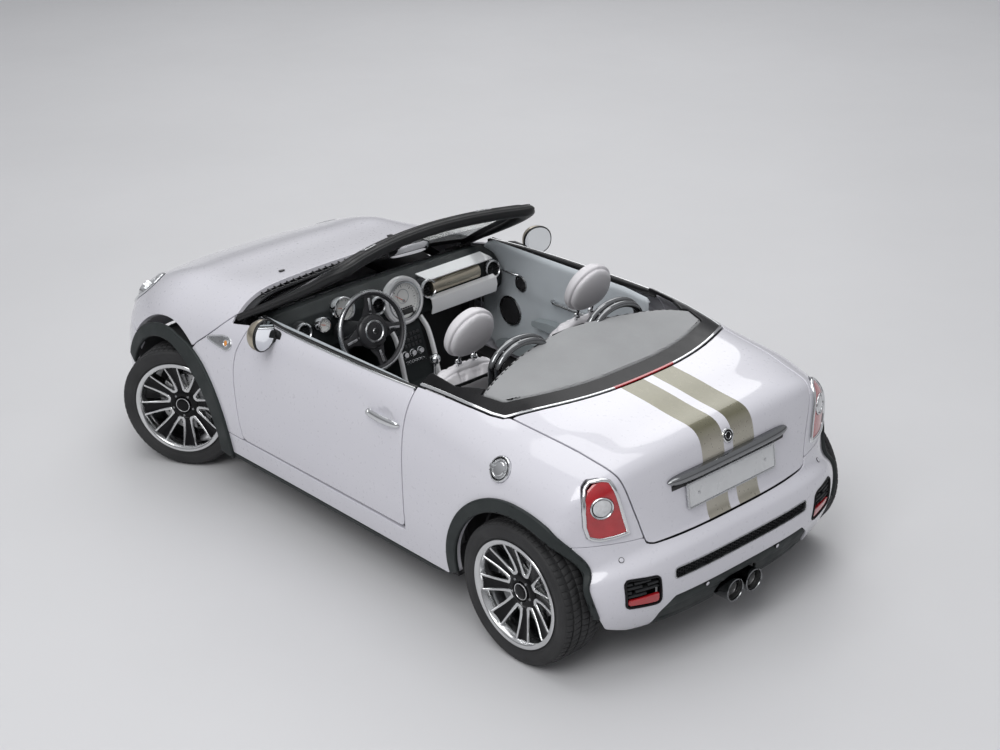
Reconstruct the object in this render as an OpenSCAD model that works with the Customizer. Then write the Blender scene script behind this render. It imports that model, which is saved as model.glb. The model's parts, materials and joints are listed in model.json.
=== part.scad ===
// Two-seat roadster with a folded soft top. Millimetres; +X is the nose, +Y the driver's
// (left) side, +Z up; the origin lies on the ground under the middle of the car.

/* [Chassis] */
// Distance between the axles
wheelbase = 2467; // [2350:1:2600]
// Nose to front axle
front_overhang = 770; // [740:1:800]
// Rear axle to tail
rear_overhang = 477; // [460:1:500]
// Distance between the left and right tyre centres
track = 1456; // [1420:1:1470]
// Height of the axles above the ground
axle_z = 308; // [300:1:316]
// Angle of the front wheels as the car stands, to the left
steer_rest = 30; // [0:1:32]

/* [Wheels] */
// Outer radius of the tyre
tyre_r = 308; // [300:1:312]
// Width of the tyre
tyre_w = 205; // [185:1:215]
// Radius of the rim's outer flange
rim_r = 231; // [225:1:236]
// Number of open loops in the rim
rim_loops = 9; // [7:1:10]
// Radius of the brake disc
disc_r = 147; // [130:1:155]
// Radius of the stub axles
stub_r = 20; // [16:1:24]

/* [Body] */
// Gap between fixed and moving panels
shut_gap = 6; // [5:0.5:8]
// Gap between fixed panels
joint_gap = 0.6; // [0.4:0.1:0.9]
// Radius of the wheel openings
arch_r = 346; // [340:1:352]
// Width of the dark trim round the wheel openings
arch_trim_w = 62; // [50:1:75]
// How far the dark trim stands proud of the paint
trim_proud = 15; // [8:1:20]
// Thickness of the bonnet and boot lid
lid_t = 26; // [20:1:35]
// Thickness of the side walls beside the cabin and boot
wall_t = 58; // [45:1:70]
// Thickness of the front wings
wing_t = 12; // [10:1:14]
// Inner face of the door skins, from the middle of the car
door_in_y = 690; // [680:1:700]
// Where the door ends at the back
door_rear_x = -700; // [-860:1:-540]
// Running clearance round hinge pins
pin_gap = 0.3; // [0.2:0.05:0.5]
// Radius of the hinge pins
pin_r = 6; // [5:1:7]

/* [Cabin] */
// Centre of each seat from the middle of the car
seat_y = 350; // [330:1:370]
// Radius of the steering wheel
steer_r = 186; // [175:1:195]
// Radius of the round speedometer
dial_r = 112; // [100:1:125]

/* [Hidden] */
$fn = 48;
fit = 0.3;                       // seat between pieces of one body
far = 3000;                      // reach of cutting prisms
nose_x = (wheelbase + front_overhang + rear_overhang) / 2;
axle_f = nose_x - front_overhang;
axle_r = axle_f - wheelbase;
wheel_y = track / 2;
fore = axle_f - 1087;            // how far the nose end lies from its drawn place
aft = axle_r + 1380;             // and the tail end

// ---------------------------------------------------------------- body skin
// The skin is swept by section planes. Between the axles they stand upright at x; round each
// axle they fan out, tilted forwards (+) or backwards (-) about the axle line.
// columns: x of the plane's foot, tilt, crown radius from axle height, half width, squareness,
// radius where the side wall starts
SECTIONS = [
    [axle_f, 102, 715, 800, 2.6, 215], [axle_f, 97, 752, 805, 2.7, 215],
    [axle_f, 91, 772, 808, 2.8, 215], [axle_f, 85, 776, 810, 2.8, 215],
    [axle_f, 79, 779, 812, 2.9, 215], [axle_f, 73, 756, 812, 3.0, 215],
    [axle_f, 67, 757, 812, 3.1, 215], [axle_f, 61, 757, 812, 3.1, 215],
    [axle_f, 54, 738, 812, 3.2, 215], [axle_f, 45, 680, 814, 3.4, 215],
    [axle_f, 33, 630, 816, 3.7, 215], [axle_f, 18, 600, 818, 4.0, 215],
    [axle_f, 0, 602, 820, 4.2, 215],
    [axle_f - 180, 0, 626, 820, 4.4, 60], [axle_f - 360, 0, 652, 819, 4.6, -118],
    [axle_f - 540, 0, 672, 818, 4.8, -118], [axle_f - 780, 0, 722, 817, 4.9, -118],
    [axle_f - 1060, 0, 752, 817, 5.0, -118], [axle_f - 1400, 0, 758, 818, 5.0, -118],
    [axle_f - 1760, 0, 748, 820, 5.0, -118], [axle_r + 420, 0, 712, 822, 5.0, -118],
    [axle_r + 220, 0, 672, 824, 5.0, 60],
    [axle_r, 0, 646, 826, 5.0, 215], [axle_r, -12, 641, 826, 4.6, 215],
    [axle_r, -21, 658, 824, 4.2, 215], [axle_r, -28, 692, 822, 3.8, 215],
    [axle_r, -33, 676, 820, 3.5, 215], [axle_r, -40, 590, 820, 3.2, 215],
    [axle_r, -48, 530, 822, 3.0, 215], [axle_r, -55, 492, 824, 3.0, 215],
    [axle_r, -61, 484, 826, 3.0, 215], [axle_r, -66, 514, 827, 3.1, 215],
    [axle_r, -73, 502, 827, 3.2, 215], [axle_r, -82, 484, 827, 3.2, 215],
    [axle_r, -91, 472, 826, 3.1, 215], [axle_r, -99, 456, 824, 3.0, 215],
    [axle_r, -105, 444, 815, 3.0, 215], [axle_r, -111, 425, 800, 3.0, 215]];
FOOT_F = 12;                     // the section that stands on the front axle
FOOT_R = 22;                     // and on the rear axle
LAST = len(SECTIONS) - 1;
SKIRT = LAST - 3;                // where the dark lower skirt takes over at the tail

function blend4(t) = [pow(1 - t, 3), 3 * pow(t, 3) - 6 * t * t + 4,
    -3 * pow(t, 3) + 3 * t * t + 3 * t + 1, pow(t, 3)] / 6;
function section(u) = let(i = min(floor(u), LAST - 1), b = blend4(u - i))
    b[0] * SECTIONS[max(i - 1, 0)] + b[1] * SECTIONS[i] + b[2] * SECTIONS[i + 1]
    + b[3] * SECTIONS[min(i + 2, LAST)];
// The bonnet rises over each front wheel and lamp.
function hump(u, y) = let(a = (u - 9) / 5.5, b = (abs(y) - 590) / 150)
    34 * exp(-a * a) * exp(-b * b);
// A point of the skin: u runs along the car, f from the side's foot (0) to the crown (1).
function skin(u, f, inset = 0) = let(s = section(u), r = s[2] - inset, w = s[3] - inset,
    start = atan2(s[5], r), a = start + (90 - start) * f, c = cos(a), d = sin(a),
    k = pow(pow(c, s[4]) + pow(abs(d), s[4]), -1 / s[4]), y = w * k * c,
    reach = r * k * d + hump(u, y) * max(0, sin(a)))
    [s[0] + reach * sin(s[1]), y - 26 * pow(max(0, 150 - reach) / 268, 2), axle_z + reach * cos(s[1])];
// A stretch of the skin as one closed sheet between two insets.
module sheet(outer, inner, u0, u1) {
    m = 8;
    cols = 2 * m;
    nu = ceil(u1) - floor(u0);
    rows = [for (i = [0:nu]) floor(u0) + i];
    function ring(u, inset) = [for (j = [0:cols])
        let(p = skin(u, 1 - abs(j - m) / m, inset)) [p.x, j < m ? p.y : j > m ? -p.y : 0, p.z]];
    pts = [for (u = rows) each ring(u, outer), for (u = rows) each ring(u, inner)];
    w = cols + 1;
    n = w * (nu + 1);
    function quad(a, b, c, d, turned = false) =
        turned ? [[a, b, d], [b, c, d]] : [[a, b, c], [a, c, d]];
    polyhedron(pts, [
        for (i = [0:nu - 1]) for (j = [0:cols - 1]) let(a = i * w + j)
            each quad(a, a + 1, a + w + 1, a + w, j >= m),
        for (i = [0:nu - 1]) for (j = [0:cols - 1]) let(a = n + i * w + j)
            each quad(a, a + w, a + w + 1, a + 1, j >= m),
        for (j = [0:cols - 1]) each quad(j, n + j, n + j + 1, j + 1),
        for (j = [0:cols - 1]) let(a = nu * w + j) each quad(a, a + 1, n + a + 1, n + a),
        for (i = [0:nu - 1]) let(a = i * w) each quad(a, a + w, n + a + w, n + a),
        for (i = [0:nu - 1]) let(a = i * w + cols) each quad(a, n + a, n + a + w, a + w)]);
}
// A freeform panel is cut as one mesh.
module pressed() resize([0, 0, 0]) children();
// Prisms through a side view (x, z), a plan (x, y) and a rear view (y, z).
module through_side(y0 = -far, y1 = far) translate([0, y1, 0]) rotate([90, 0, 0])
    linear_extrude(y1 - y0) children();
module through_plan(z0 = -far, z1 = far) translate([0, 0, z0]) linear_extrude(z1 - z0) children();
module through_rear(x0, x1) translate([x0, 0, 0]) rotate([90, 0, 90]) linear_extrude(x1 - x0)
    children();
module both() {
    children();
    mirror([0, 1, 0]) children();
}

/* ---- outlines, each drawn once ---- */
belt_f = 928;                    // belt line at the door's front
belt_r = 946;                    // and at its rear

module door_outline() polygon([
    for (p = [[428, belt_f], [468, 860], [508, 760], [518, 680], [512, 560], [500, 440],
        [484, 350], [470, 336], [445, 332]]) p + [fore, 0], [door_rear_x + 30, 338], [door_rear_x + 8, 345], [door_rear_x, 365],
    [door_rear_x, belt_r]]);
module bonnet_outline() translate([fore, 0]) polygon([
    [588, 1100], [588, 905], [640, 862], [700, 810], [760, 762], [830, 712], [900, 640],
    [1300, 560], [1420, 574], [1560, 600], [1700, 622], [1900, 640], [1900, 1100]]);
module rear_bumper_outline() polygon([
    [axle_r - 330, 100], [axle_r - 100, 400], [axle_r - 250, 590], [axle_r - 320, 588],
    [axle_r - 380, 578], [axle_r - 600, 560], [axle_r - 600, 100]]);
module lid_outline() polygon([
    [-470, 556], [-440, 548], [440, 548], [470, 556], [496, 650], [532, 760], [562, 850],
    [590, 905], [640, 960], [660, 1150], [-660, 1150], [-640, 960], [-590, 905], [-562, 850],
    [-532, 760], [-496, 650]]);
band_x = axle_r + 72;
function band_edge(y) = band_x + 143 * pow(abs(y) / 625, 2.6);
module lid_plan() polygon([
    for (i = [-10:10]) [band_edge(i * 66), i * 66],
    [axle_r - 620, 660], [axle_r - 620, -660]]);
module wheel_openings(r) for (x = [axle_f, axle_r])
    translate([x, 0, axle_z]) rotate([90, 0, 0]) cylinder(r = r, h = 2 * far, center = true, $fn = 64);

/* ---- outer panels ---- */
cowl_x = axle_f - 497;
module cowl_plan() polygon([
    for (i = [-8:8]) let(y = i * 95) [cowl_x + 80 - 80 * pow(abs(y) / 760, 2), y],
    [far, 800], [far, -800]]);
module bonnet_skin() color("white") pressed() difference() {
  intersection() {
    sheet(0, lid_t, 5.5, 16);
    through_side() offset(delta = -shut_gap / 2) bonnet_outline();
    through_plan() offset(delta = -shut_gap / 2) cowl_plan();
    difference() {
        translate([0, -far, 0]) cube([far, 2 * far, far]);
        wheel_openings(arch_r + arch_trim_w + 32);
    }
  }
    both() through_rear(axle_f + 213, far) offset(delta = joint_gap) lamp_outline();
}
module fender_side() color("white") pressed() difference() {
    intersection() {
        sheet(0, wing_t, 11, 16.5);
        through_side(560, far) polygon([[axle_f, 340], [axle_f, 1100], [axle_f - 687, 1100],
            [axle_f - 687, 190], [axle_f - 467, 190]]);
    }
    through_side() offset(delta = shut_gap / 2) door_block();
    through_plan() offset(delta = joint_gap) cockpit_plan();
    through_side() offset(delta = shut_gap / 2) bonnet_outline();
    arch_edge(axle_f, FRONT_OPENING, arch_r + 40);
    through_side() polygon([[axle_r, 0], [axle_f, 0], [axle_f, sill_top + joint_gap],
        [axle_r, sill_top + joint_gap]]);
}
sill_top = 328;
sill_front = axle_f - 440;       // the sill ends under the front arch trim
module door_skin() color("white") pressed() difference() {
    intersection() {
        sheet(0, 150, 14.5, 20);
        through_side(door_in_y, far) offset(delta = -shut_gap / 2) door_outline();
    }
    hinge_heights() arm_in_door(fit);
    mirror_arm(fit);
    handle_place() scale([1, 0.72, 0.2]) sphere(r = 62, $fn = 24);
}
// The door's outline carried on up to the sky.
module door_block() {
    door_outline();
    polygon([[428 + fore, belt_f - 1], [425 + fore, 1200], [door_rear_x, 1200],
        [door_rear_x, belt_r - 1]]);
}
lamp_x = axle_r - 160;                  // forward end of the tail lamps
module tail_lamp_outline() offset(18, $fn = 16) offset(delta = -18) polygon([[561, 641], [700, 646],
    [714, 740], [708, 815], [676, 860], [591, 868]]);
module quarter_skin() color("white") pressed() difference() {
    union() {
      intersection() {
        sheet(0, wall_t, 14.6, 33);
        through_side(400, far) polygon([[sill_front, 190], [sill_front, sill_top],
            [door_rear_x, sill_top], [door_rear_x, 1100], [axle_r - 620, 1100],
            [axle_r - 620, 400], [axle_r + 380, 190]]);
      }
      // the sill's joint with the floor
      translate([door_rear_x + 100, sill_y + fit, 225]) cube([240, 785 - sill_y - fit, 60]);
    }
    through_plan() offset(delta = joint_gap) cockpit_plan();
    through_rear(-far, lamp_x) offset(delta = joint_gap) tail_lamp_outline();
    filler_place() translate([0, 0, -40]) cylinder(r = filler_r + 9 + fit, h = 100);
    through_side() offset(delta = shut_gap / 2) door_block();
    through_side() offset(delta = joint_gap / 2) rear_bumper_outline();
    intersection() {
        through_rear(-far, axle_r + 280) offset(delta = shut_gap / 2) lid_outline();
        through_plan() offset(delta = shut_gap / 2) lid_plan();
    }
    wheel_openings(arch_r + 4);
}
module lid_skin() color("white") pressed() intersection() {
    sheet(0, lid_t, 20.5, 32);
    through_rear(-far, axle_r + 280) offset(delta = -shut_gap / 2) lid_outline();
    through_plan() offset(delta = -shut_gap - 1) lid_plan();
}
module rear_bumper() color("white") pressed() difference() {
    intersection() {
        sheet(0, 40, 27, LAST);
        through_side() rear_bumper_outline();
    }
    through_rear(-far, axle_r - 120) bumper_foot();
    through_rear(-far, axle_r - 320) slot_outline();
    through_rear(-far, axle_r - 220) both2() vent_outline();
    through_rear(-far, axle_r + 280) offset(delta = shut_gap / 2) lid_outline();
    wheel_openings(arch_r + 4);
}
// All that lies below the bumper's lower edge: it drops to a foot at each corner.
module bumper_foot() polygon([[-900, 0], [-900, 310], [-700, 310], [-645, 252], [-520, 252],
    [-487, 307], [-440, 350], [440, 350], [487, 307], [520, 252], [645, 252], [700, 310], [900, 310], [900, 0]]);
module slot_outline() offset(12, $fn = 16) offset(delta = -12) polygon([[-396, 398], [396, 398], [396, 446], [-396, 446]]);
module vent_outline() offset(22, $fn = 16) offset(delta = -22) polygon([[462, 346], [640, 362], [632, 486],
    [486, 480]]);
module both2() {
    children();
    mirror([1, 0]) children();
}
module mouth_outline() offset(20, $fn = 16) offset(delta = -20) polygon([[-330, 470], [-395, 560],
    [-360, 600], [360, 600], [395, 560], [330, 470]]);
module intake_outline() offset(20, $fn = 16) offset(delta = -20) polygon([[-430, 262], [-470, 380],
    [470, 380], [430, 262]]);
module front_bumper() color("white") pressed() difference() {
    intersection() {
        sheet(0, 40, 0, 9);
        translate([axle_f + 113, -far, 0]) cube([far, 2 * far, far]);
    }
    both() through_rear(axle_f + 213, far) offset(delta = joint_gap) lamp_outline();
    through_rear(axle_f + 513, far) {
        mouth_outline();
        intake_outline();
    }
    through_side() offset(delta = shut_gap / 2) bonnet_outline();
    wheel_openings(arch_r + 4);
}
// Edges of the arch trims: columns are the angle about the axle, 180 at the rear, and the
// distance past arch_r for the opening, or past the trim's own width for its outer edge.
FRONT_OPENING = [[-60, 0], [133, 0], [163, 28], [185, 60], [240, 100]];
FRONT_TRIM = [[-60, 22], [40, 14], [75, 4], [105, 5], [120, 28], [135, 47], [157, 61], [178, 82], [240, 150]];
REAR_OPENING = [[-60, 0], [240, 0]];
REAR_TRIM = [[-60, 0], [60, 4], [93, 6], [114, 0], [133, -24], [155, -37], [180, -40], [240, -30]];
module arch_edge(axle, table, r) through_side() translate([axle, axle_z])
    polygon([for (a = [-60:6:240]) (r + lookup(a, table)) * [cos(a), sin(a)]]);
module arch_trim(axle, trim, opening, u0, u1) difference() {
    intersection() {
        sheet(-trim_proud, 0, u0, u1);
        arch_edge(axle, trim, arch_r + arch_trim_w);
        translate([-far, 500, 0]) cube([2 * far, far, far]);
    }
    arch_edge(axle, opening, arch_r);
}
module arch_trims() color("dimgray") pressed() both() {
    arch_trim(axle_f, FRONT_TRIM, FRONT_OPENING, 6, 16);
    arch_trim(axle_r, REAR_TRIM, REAR_OPENING, 19, 33);
}

/* ---- cowl, screen and the trim round the cockpit ---- */
cover_front = aft - 832;              // front of the soft top's cover on the centreline
cover_rear = aft - 1205;              // and its rear
module cockpit_plan() polygon([
    for (p = [[604, 734], [560, 732], [264, 718]]) p + [fore, 0],
    for (p = [[-640, 716], [-960, 682], [-1090, 662], [-1150, 644]]) p + [aft, 0],
    for (i = [10:-1:-10]) [band_edge(i * 62), i * 62],
    for (p = [[-1150, -644], [-1090, -662], [-960, -682], [-640, -716]]) p + [aft, 0],
    for (p = [[264, -718], [560, -732], [604, -734]]) p + [fore, 0]]);
module cover_plan() polygon([
    for (i = [-10:10]) [cover_front - 150 * pow(abs(i) / 10, 1.5), i * 61],
    for (i = [10:-1:-10]) [cover_rear + 120 * pow(abs(i) / 10, 2.6), i * 58]]);
module deck_band() {
    color("black") pressed() difference() {
        sheet(0, 20, 18, 25);
        through_plan() difference() {
            square([4 * far, 4 * far], center = true);
            offset(delta = -joint_gap) cockpit_plan();
        }
        through_plan() offset(delta = joint_gap) cover_plan();
        translate([door_rear_x - shut_gap, -far, 0]) cube([far, 2 * far, far]);
        through_plan() translate([aft, 0]) polygon([[-600, 640], [-860, 640], [-1000, 560],
            [-1000, -560], [-860, -640], [-600, -640]]);
        translate([-far, -far, 0]) cube([2 * far, 2 * far, 850]);
        both() translate([lid_hinge[0] - 22, lid_hinge_y - 20, 0]) cube([44, 54, lid_hinge[1] + 16]);
    }
    // the high stop lamp on its rear edge
    color("red") translate([band_x + 8, 0, 0]) translate([0, -stop_lamp_w / 2, 936])
        cube([10, stop_lamp_w, 14]);
}
stop_lamp_w = 350;
module soft_top() color("lightgray") pressed() difference() {
    intersection() {
        sheet(-4, 30, 18, 24.5);
        through_plan() cover_plan();
    }
    both() translate([hoop_x - hoop_gap - hoop_r - 4, hoop_y - 172, 800]) cube([200, 344, 400]);
}
module cowl() color("black") pressed() difference() {
    intersection() {
        sheet(30, 48, 13, 17.5);
        through_plan() difference() {
            polygon([for (i = [-8:8]) [cowl_x - 6 + 80 - 80 * pow(abs(i) / 8, 2), i * 95],
                [450 + fore, 700], [450 + fore, -700]]);
            polygon([for (i = [-8:8]) let(p = screen_foot(i * 90)) [p.x + 0.6, i * 90],
                [0, 720], [0, -720]]);
        }
    }
    both() translate([bonnet_hinge_x - 30, bonnet_hinge_y - 22, 0]) cube([200, 56, far]);
    both() translate([0, pillar_in - fit, 0]) cube(far);
}
bonnet_hinge_x = 560 + fore;
bonnet_hinge_y = 615;
bonnet_hinge_z = 880;
screen_x = 620 + fore;                  // foot of the windscreen on the centreline

// A bar of oval section swept along a path; wide and thick are its half widths, one or a list.
function unit(v) = v / norm(v);
module bar(path, wide, thick, n = 8, up = [0, 0, 1]) {
    k = len(path);
    half = is_list(wide) ? wide : [for (p = path) wide];
    deep = is_list(thick) ? thick : [for (p = path) thick];
    pts = [for (i = [0:k - 1]) let(
        t = unit(path[min(i + 1, k - 1)] - path[max(i - 1, 0)]),
        s = unit(cross(up, t)), v = cross(t, s))
        for (a = [0:n - 1]) path[i] + half[i] * cos(360 * (a + 0.5) / n) * s
            + deep[i] * sin(360 * (a + 0.5) / n) * v];
    polyhedron(pts, [
        [for (a = [0:n - 1]) a],
        for (i = [0:k - 2]) for (a = [0:n - 1]) let(b = (a + 1) % n)
            each [[i * n + b, i * n + a, (i + 1) * n + a], [i * n + b, (i + 1) * n + a, (i + 1) * n + b]],
        [for (a = [n - 1:-1:0]) (k - 1) * n + a]]);
}
header_x = 85 + fore;
header_z = 1238;
header_y = 545;
function header(y) = [header_x - 80 * pow(y / header_y, 2), y, header_z - 24 * pow(y / header_y, 2)];
// Half width and half thickness of the frame: a slim pillar grows into the deep header.
function pillar(s) = [for (p = [[575, 704, 884], [500, 692, 925], [300, 654, 1030],
    [120, 612, 1132], [40, 584, 1186]]) [p[0] + fore, s * p[1], p[2]]];
function frame_path() = [each pillar(1), each [for (i = [6:-1:-6]) header(i * header_y / 6)],
    each [for (i = [4:-1:0]) pillar(-1)[i]]];
function frame_wide() = [24, 24, 27, 31, 38, for (i = [0:12]) 46, 38, 31, 27, 24, 24];
function frame_deep() = [18, 18, 20, 24, 28, for (i = [0:12]) 30, 28, 24, 20, 18, 18];
function screen_foot(y) = [screen_x - 75 * pow(y / 660, 2), y, 935 - 42 * pow(y / 660, 2)];
module screen_frame() color("black") pressed() {
    bar(frame_path(), frame_wide(), frame_deep(), up = [0.3, 0, 1]);
    both() translate([bonnet_hinge_x, pillar_in, pillar_top + fit])
        cube([28, 40, 885 - pillar_top]);
}
pillar_in = 650;                 // inner side of the frame's foot
pillar_top = 790;                // top of the hinge pillars
module screen_glass() color("lightblue") pressed() difference() {
    let(m = 10, n = m + 1,
        pts = [for (lift = [0, -5]) for (s = [0:4]) for (i = [0:m])
            let(v = (2 * i / m - 1), a = screen_foot(v * 668), b = header(v * (header_y + 30)))
            a + (b - a) * s / 4 + [0, 0, lift + 10 * sin(180 * s / 4)]],
        k = 5 * n)
    polyhedron(pts, [
        for (s = [0:3]) for (i = [0:m - 1]) let(a = s * n + i) each [[a, a + n, a + n + 1], [a, a + n + 1, a + 1]],
        for (s = [0:3]) for (i = [0:m - 1]) let(a = k + s * n + i) each [[a, a + 1, a + n + 1], [a, a + n + 1, a + n]],
        for (i = [0:m - 1]) [i, i + 1, k + i + 1, k + i],
        for (i = [0:m - 1]) let(a = 4 * n + i) [a, k + a, k + a + 1, a + 1],
        for (s = [0:3]) let(a = s * n) [a, k + a, k + a + n, a + n],
        for (s = [0:3]) let(a = s * n + m) [a, a + n, k + a + n, k + a]]);
    bar(frame_path(), [for (w = frame_wide()) w + fit], [for (t = frame_deep()) t + fit], up = [0.3, 0, 1]);
}

/* ---- cabin ---- */
hoop_x = aft - 838;
hoop_y = 278;
hoop_r = 14.5;
hoop_gap = 30;                   // between the twin tubes
shelf_z = 820;
module roll_hoops() color("dimgray") both() {
    for (s = [0, 1]) let(w = 152 - 12 * s, x = hoop_x - hoop_gap * s) bar([
        [x, hoop_y - w, shelf_z + fit],
        for (a = [0:15:180]) [x, hoop_y - w * cos(a), 975 + (98 - 8 * s) * sin(a)],
        [x, hoop_y + w, shelf_z + fit]], hoop_r, hoop_r, n = 8, up = [1, 0, 0]);
}
module in_column(z) translate(wheel_at) rotate([0, -wheel_lean, 0]) translate([0, 0, z]) children();
module dashboard() translate([fore, 0, 0]) {
    color("dimgray") difference() {
        union() {
            rotate([90, 0, 0]) translate([0, 0, -650]) linear_extrude(1300) polygon([
                [600 - fit, 700], [300, 700], [262, 760], [262, 800], [300, 880], [330, 905],
                [420, 925], [500, 900], [590, 870], [600 - fit, 866]]);
            in_column(-265) cylinder(r = 32, h = 85);
            // the tachometer's pod on the column
            translate([222, 355, 830]) cube([36, 30, 60]);
            translate([250, 370, 925]) rotate([0, -75, 0]) difference() {
                cylinder(r = 58, h = 70);
                translate([0, 0, 52]) cylinder(r = 50, h = 40);
            }
        }
        both() translate([520, 570, 0]) cube([200, 200, far]);
        in_column(-column_l - 10) cylinder(r = column_r + fit, h = 200);
    }
    // the long cylinder on the passenger's side and the white panel below it
    color("burlywood") translate([285, -470, 862]) rotate([-90, 0, 0]) cylinder(r = 38, h = 300);
    color("white") rotate([90, 0, 0]) translate([0, 0, 150]) linear_extrude(410) polygon([
        [262.3, 815], [225, 800], [232, 745], [262.3, 745]]);
    // round air vents: y, z and radius
    color("black") for (v = [[-585, 832, 46], [-150, 865, 46], [150, 865, 44], [560, 850, 44]])
        translate([300, v[0], v[1]]) rotate([0, -100, 0]) difference() {
            cylinder(r = v[2], h = 70);
            translate([0, 0, 50]) cylinder(r = v[2] - 9, h = 40);
        }
    // the big round dial in the middle
    color("white") translate([290, 0, 885]) rotate([0, -78, 0]) {
        cylinder(r = dial_r + 16, h = 45);
        difference() {
            cylinder(r = dial_r + 22, h = 62);
            translate([0, 0, 45]) cylinder(r = dial_r, h = 40);
        }
    }
}
module console() color("dimgray") pressed() translate([0, 0, fit]) {
    difference() {
        rotate([90, 0, 0]) translate([0, 0, -88]) linear_extrude(176) polygon([
            [560, 392], [560, 690], [290, 690], [262, 740], [240, 700], [196, 560], [170, 470],
            [130, 420], [-120, 410], [-420, 420], [-560, 470], [-620, 470], [-620, 380], [552, 380]]);
        for (x = [-330, -230]) translate([x, 0, 400]) cylinder(r = 36, h = 100, $fn = 20);
    }
    // the two pillars that flank the centre stack
    both() translate([0, 97, 0]) rotate([90, 0, 0]) linear_extrude(9) polygon([
        [250, 735], [208, 700], [164, 560], [140, 480], [100, 425], [134, 425], [170, 480],
        [196, 560], [238, 700], [268, 735]]);
    translate([70, 0, 405]) rotate([0, -6, 0]) {
        cylinder(r = 9, h = 200, $fn = 12);
        translate([0, 0, 212]) sphere(r = 26, $fn = 14);
        cylinder(r1 = 40, r2 = 20, h = 50, $fn = 20);
    }
    translate([-470, -40, 440]) rotate([0, 62, 0]) cylinder(r = 13, h = 190, $fn = 12);
}
// A cushion with rounded corners between two opposite corners.
module pad(a, b, r) hull() for (x = [a[0] + r, b[0] - r]) for (y = [a[1] + r, b[1] - r])
    for (z = [a[2] + r, b[2] - r]) translate([x, y, z]) sphere(r = r, $fn = 10);
back_tilt = 18;
back_foot = [-392, 0, 360];
module seat() color("white") pressed() translate([0, seat_y, 0]) {
    pad([-430, -240, 300], [90, 240, 440], 55);
    translate(back_foot) rotate([0, -back_tilt, 0]) hull() {
        for (y = [-180, 180]) translate([-20, y, 90]) sphere(r = 62, $fn = 10);
        for (y = [-150, 150]) translate([-20, y, 560]) sphere(r = 48, $fn = 10);
        for (y = [-200, 200]) translate([-10, y, 400]) sphere(r = 50, $fn = 10);
    }
    translate(back_foot) rotate([0, -back_tilt, 0]) {
        translate([0, 0, 745]) scale([0.42, 1, 0.9]) sphere(r = 132, $fn = 14);
        for (y = [-40, 40]) translate([-12, y, 590]) cylinder(r = 7, h = 60, $fn = 8);
    }
    for (y = [-170, 170]) translate([-380, y - 22, platform_z + 30 + fit])
        cube([420, 44, 300 - platform_z - 30]);
}

/* ---- doors ---- */
door_hinge = [590 + fore, 790];
knuckle_h = 36;                  // height of a hinge's knuckle
arm_t = 14;                      // thickness of a hinge's arm
pillar_y = 678;                  // outer face of the hinge pillar
arm_y = 696;                     // where the arm enters the door
module hinge_heights() for (z = [450, 580]) translate([0, 0, z]) children();
module arm_in_door(grow = 0) translate([door_hinge[0] - 150 - grow, arm_y - grow, -14 - grow])
    cube([158, arm_t + 2 * grow, 28 + 2 * grow]);
module door_arms() color("silver") hinge_heights() difference() {
    union() {
        translate([door_hinge[0], door_hinge[1], -knuckle_h / 2]) cylinder(r = pin_r + 5, h = knuckle_h);
        arm_in_door();
        translate([door_hinge[0] - 8, arm_y, -14]) cube([16, door_hinge[1] - arm_y, 28]);
    }
    translate([door_hinge[0], door_hinge[1], -knuckle_h]) cylinder(r = pin_r + pin_gap, h = 2 * knuckle_h);
}
// Pins and their brackets on the hinge pillar.
module door_pins() hinge_heights() {
    translate([door_hinge[0], door_hinge[1], -knuckle_h / 2 - 8]) cylinder(r = pin_r, h = knuckle_h + 16);
    for (z = [-knuckle_h / 2 - 8.5, knuckle_h / 2 + 0.5]) translate([door_hinge[0] - 14, pillar_y - 1, z])
        cube([28, door_hinge[1] - pillar_y + pin_r + 4, 8]);
}
handle_x = door_rear_x + 125;
handle_z = 800;
module handle_place() translate([handle_x, 799, handle_z]) rotate([-76, 0, 0]) children();
module door_handle() color("silver") handle_place() {
    hull() for (x = [-100, 100]) translate([x, 0, 14]) scale([1.6, 1, 0.6]) sphere(r = 12, $fn = 16);
    for (x = [-88, 88]) translate([x, 0, -8]) cylinder(r = 8, h = 20);
}
module door_card() {
    color("gainsboro") difference() {
        translate([0, door_in_y - 1 + 0.7, 0]) rotate([90, 0, 0]) linear_extrude(28) polygon([
            [440 + fore, 905], [400 + fore, 935], [door_rear_x + 180, 938], [door_rear_x + 26, 925],
            [door_rear_x + 24, 400], [door_rear_x + 60, 364], [380 + fore, 364],
            [430 + fore, 400], [470 + fore, 560], [476 + fore, 700]]);
        translate([250, 0, 600]) rotate([-90, 0, 0]) translate([0, 0, door_in_y - 30]) cylinder(r = 62, h = 14);
        translate([170, 0, 768]) rotate([-90, 0, 0]) translate([0, 0, door_in_y - 30]) cylinder(r = 30, h = 14);
    }
    color("silver") difference() {
        translate([250, 0, 600]) rotate([-90, 0, 0]) translate([0, 0, door_in_y - 36]) cylinder(r = 74, h = 7.5);
        translate([250, 0, 600]) rotate([-90, 0, 0]) translate([0, 0, door_in_y - 40]) cylinder(r = 62, h = 20);
    }
    color("gray") translate([-430, door_in_y - 78, 590]) cube([480, 50, 46]);
}
mirror_x = 215 + fore;
module mirror_arm(grow = 0) bar([[mirror_x + 40, 730, 902], [mirror_x + 40, 770, 885],
    [mirror_x + 36, 815, 880]], 16 + grow, 26 + grow, up = [1, 0, 0]);
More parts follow.
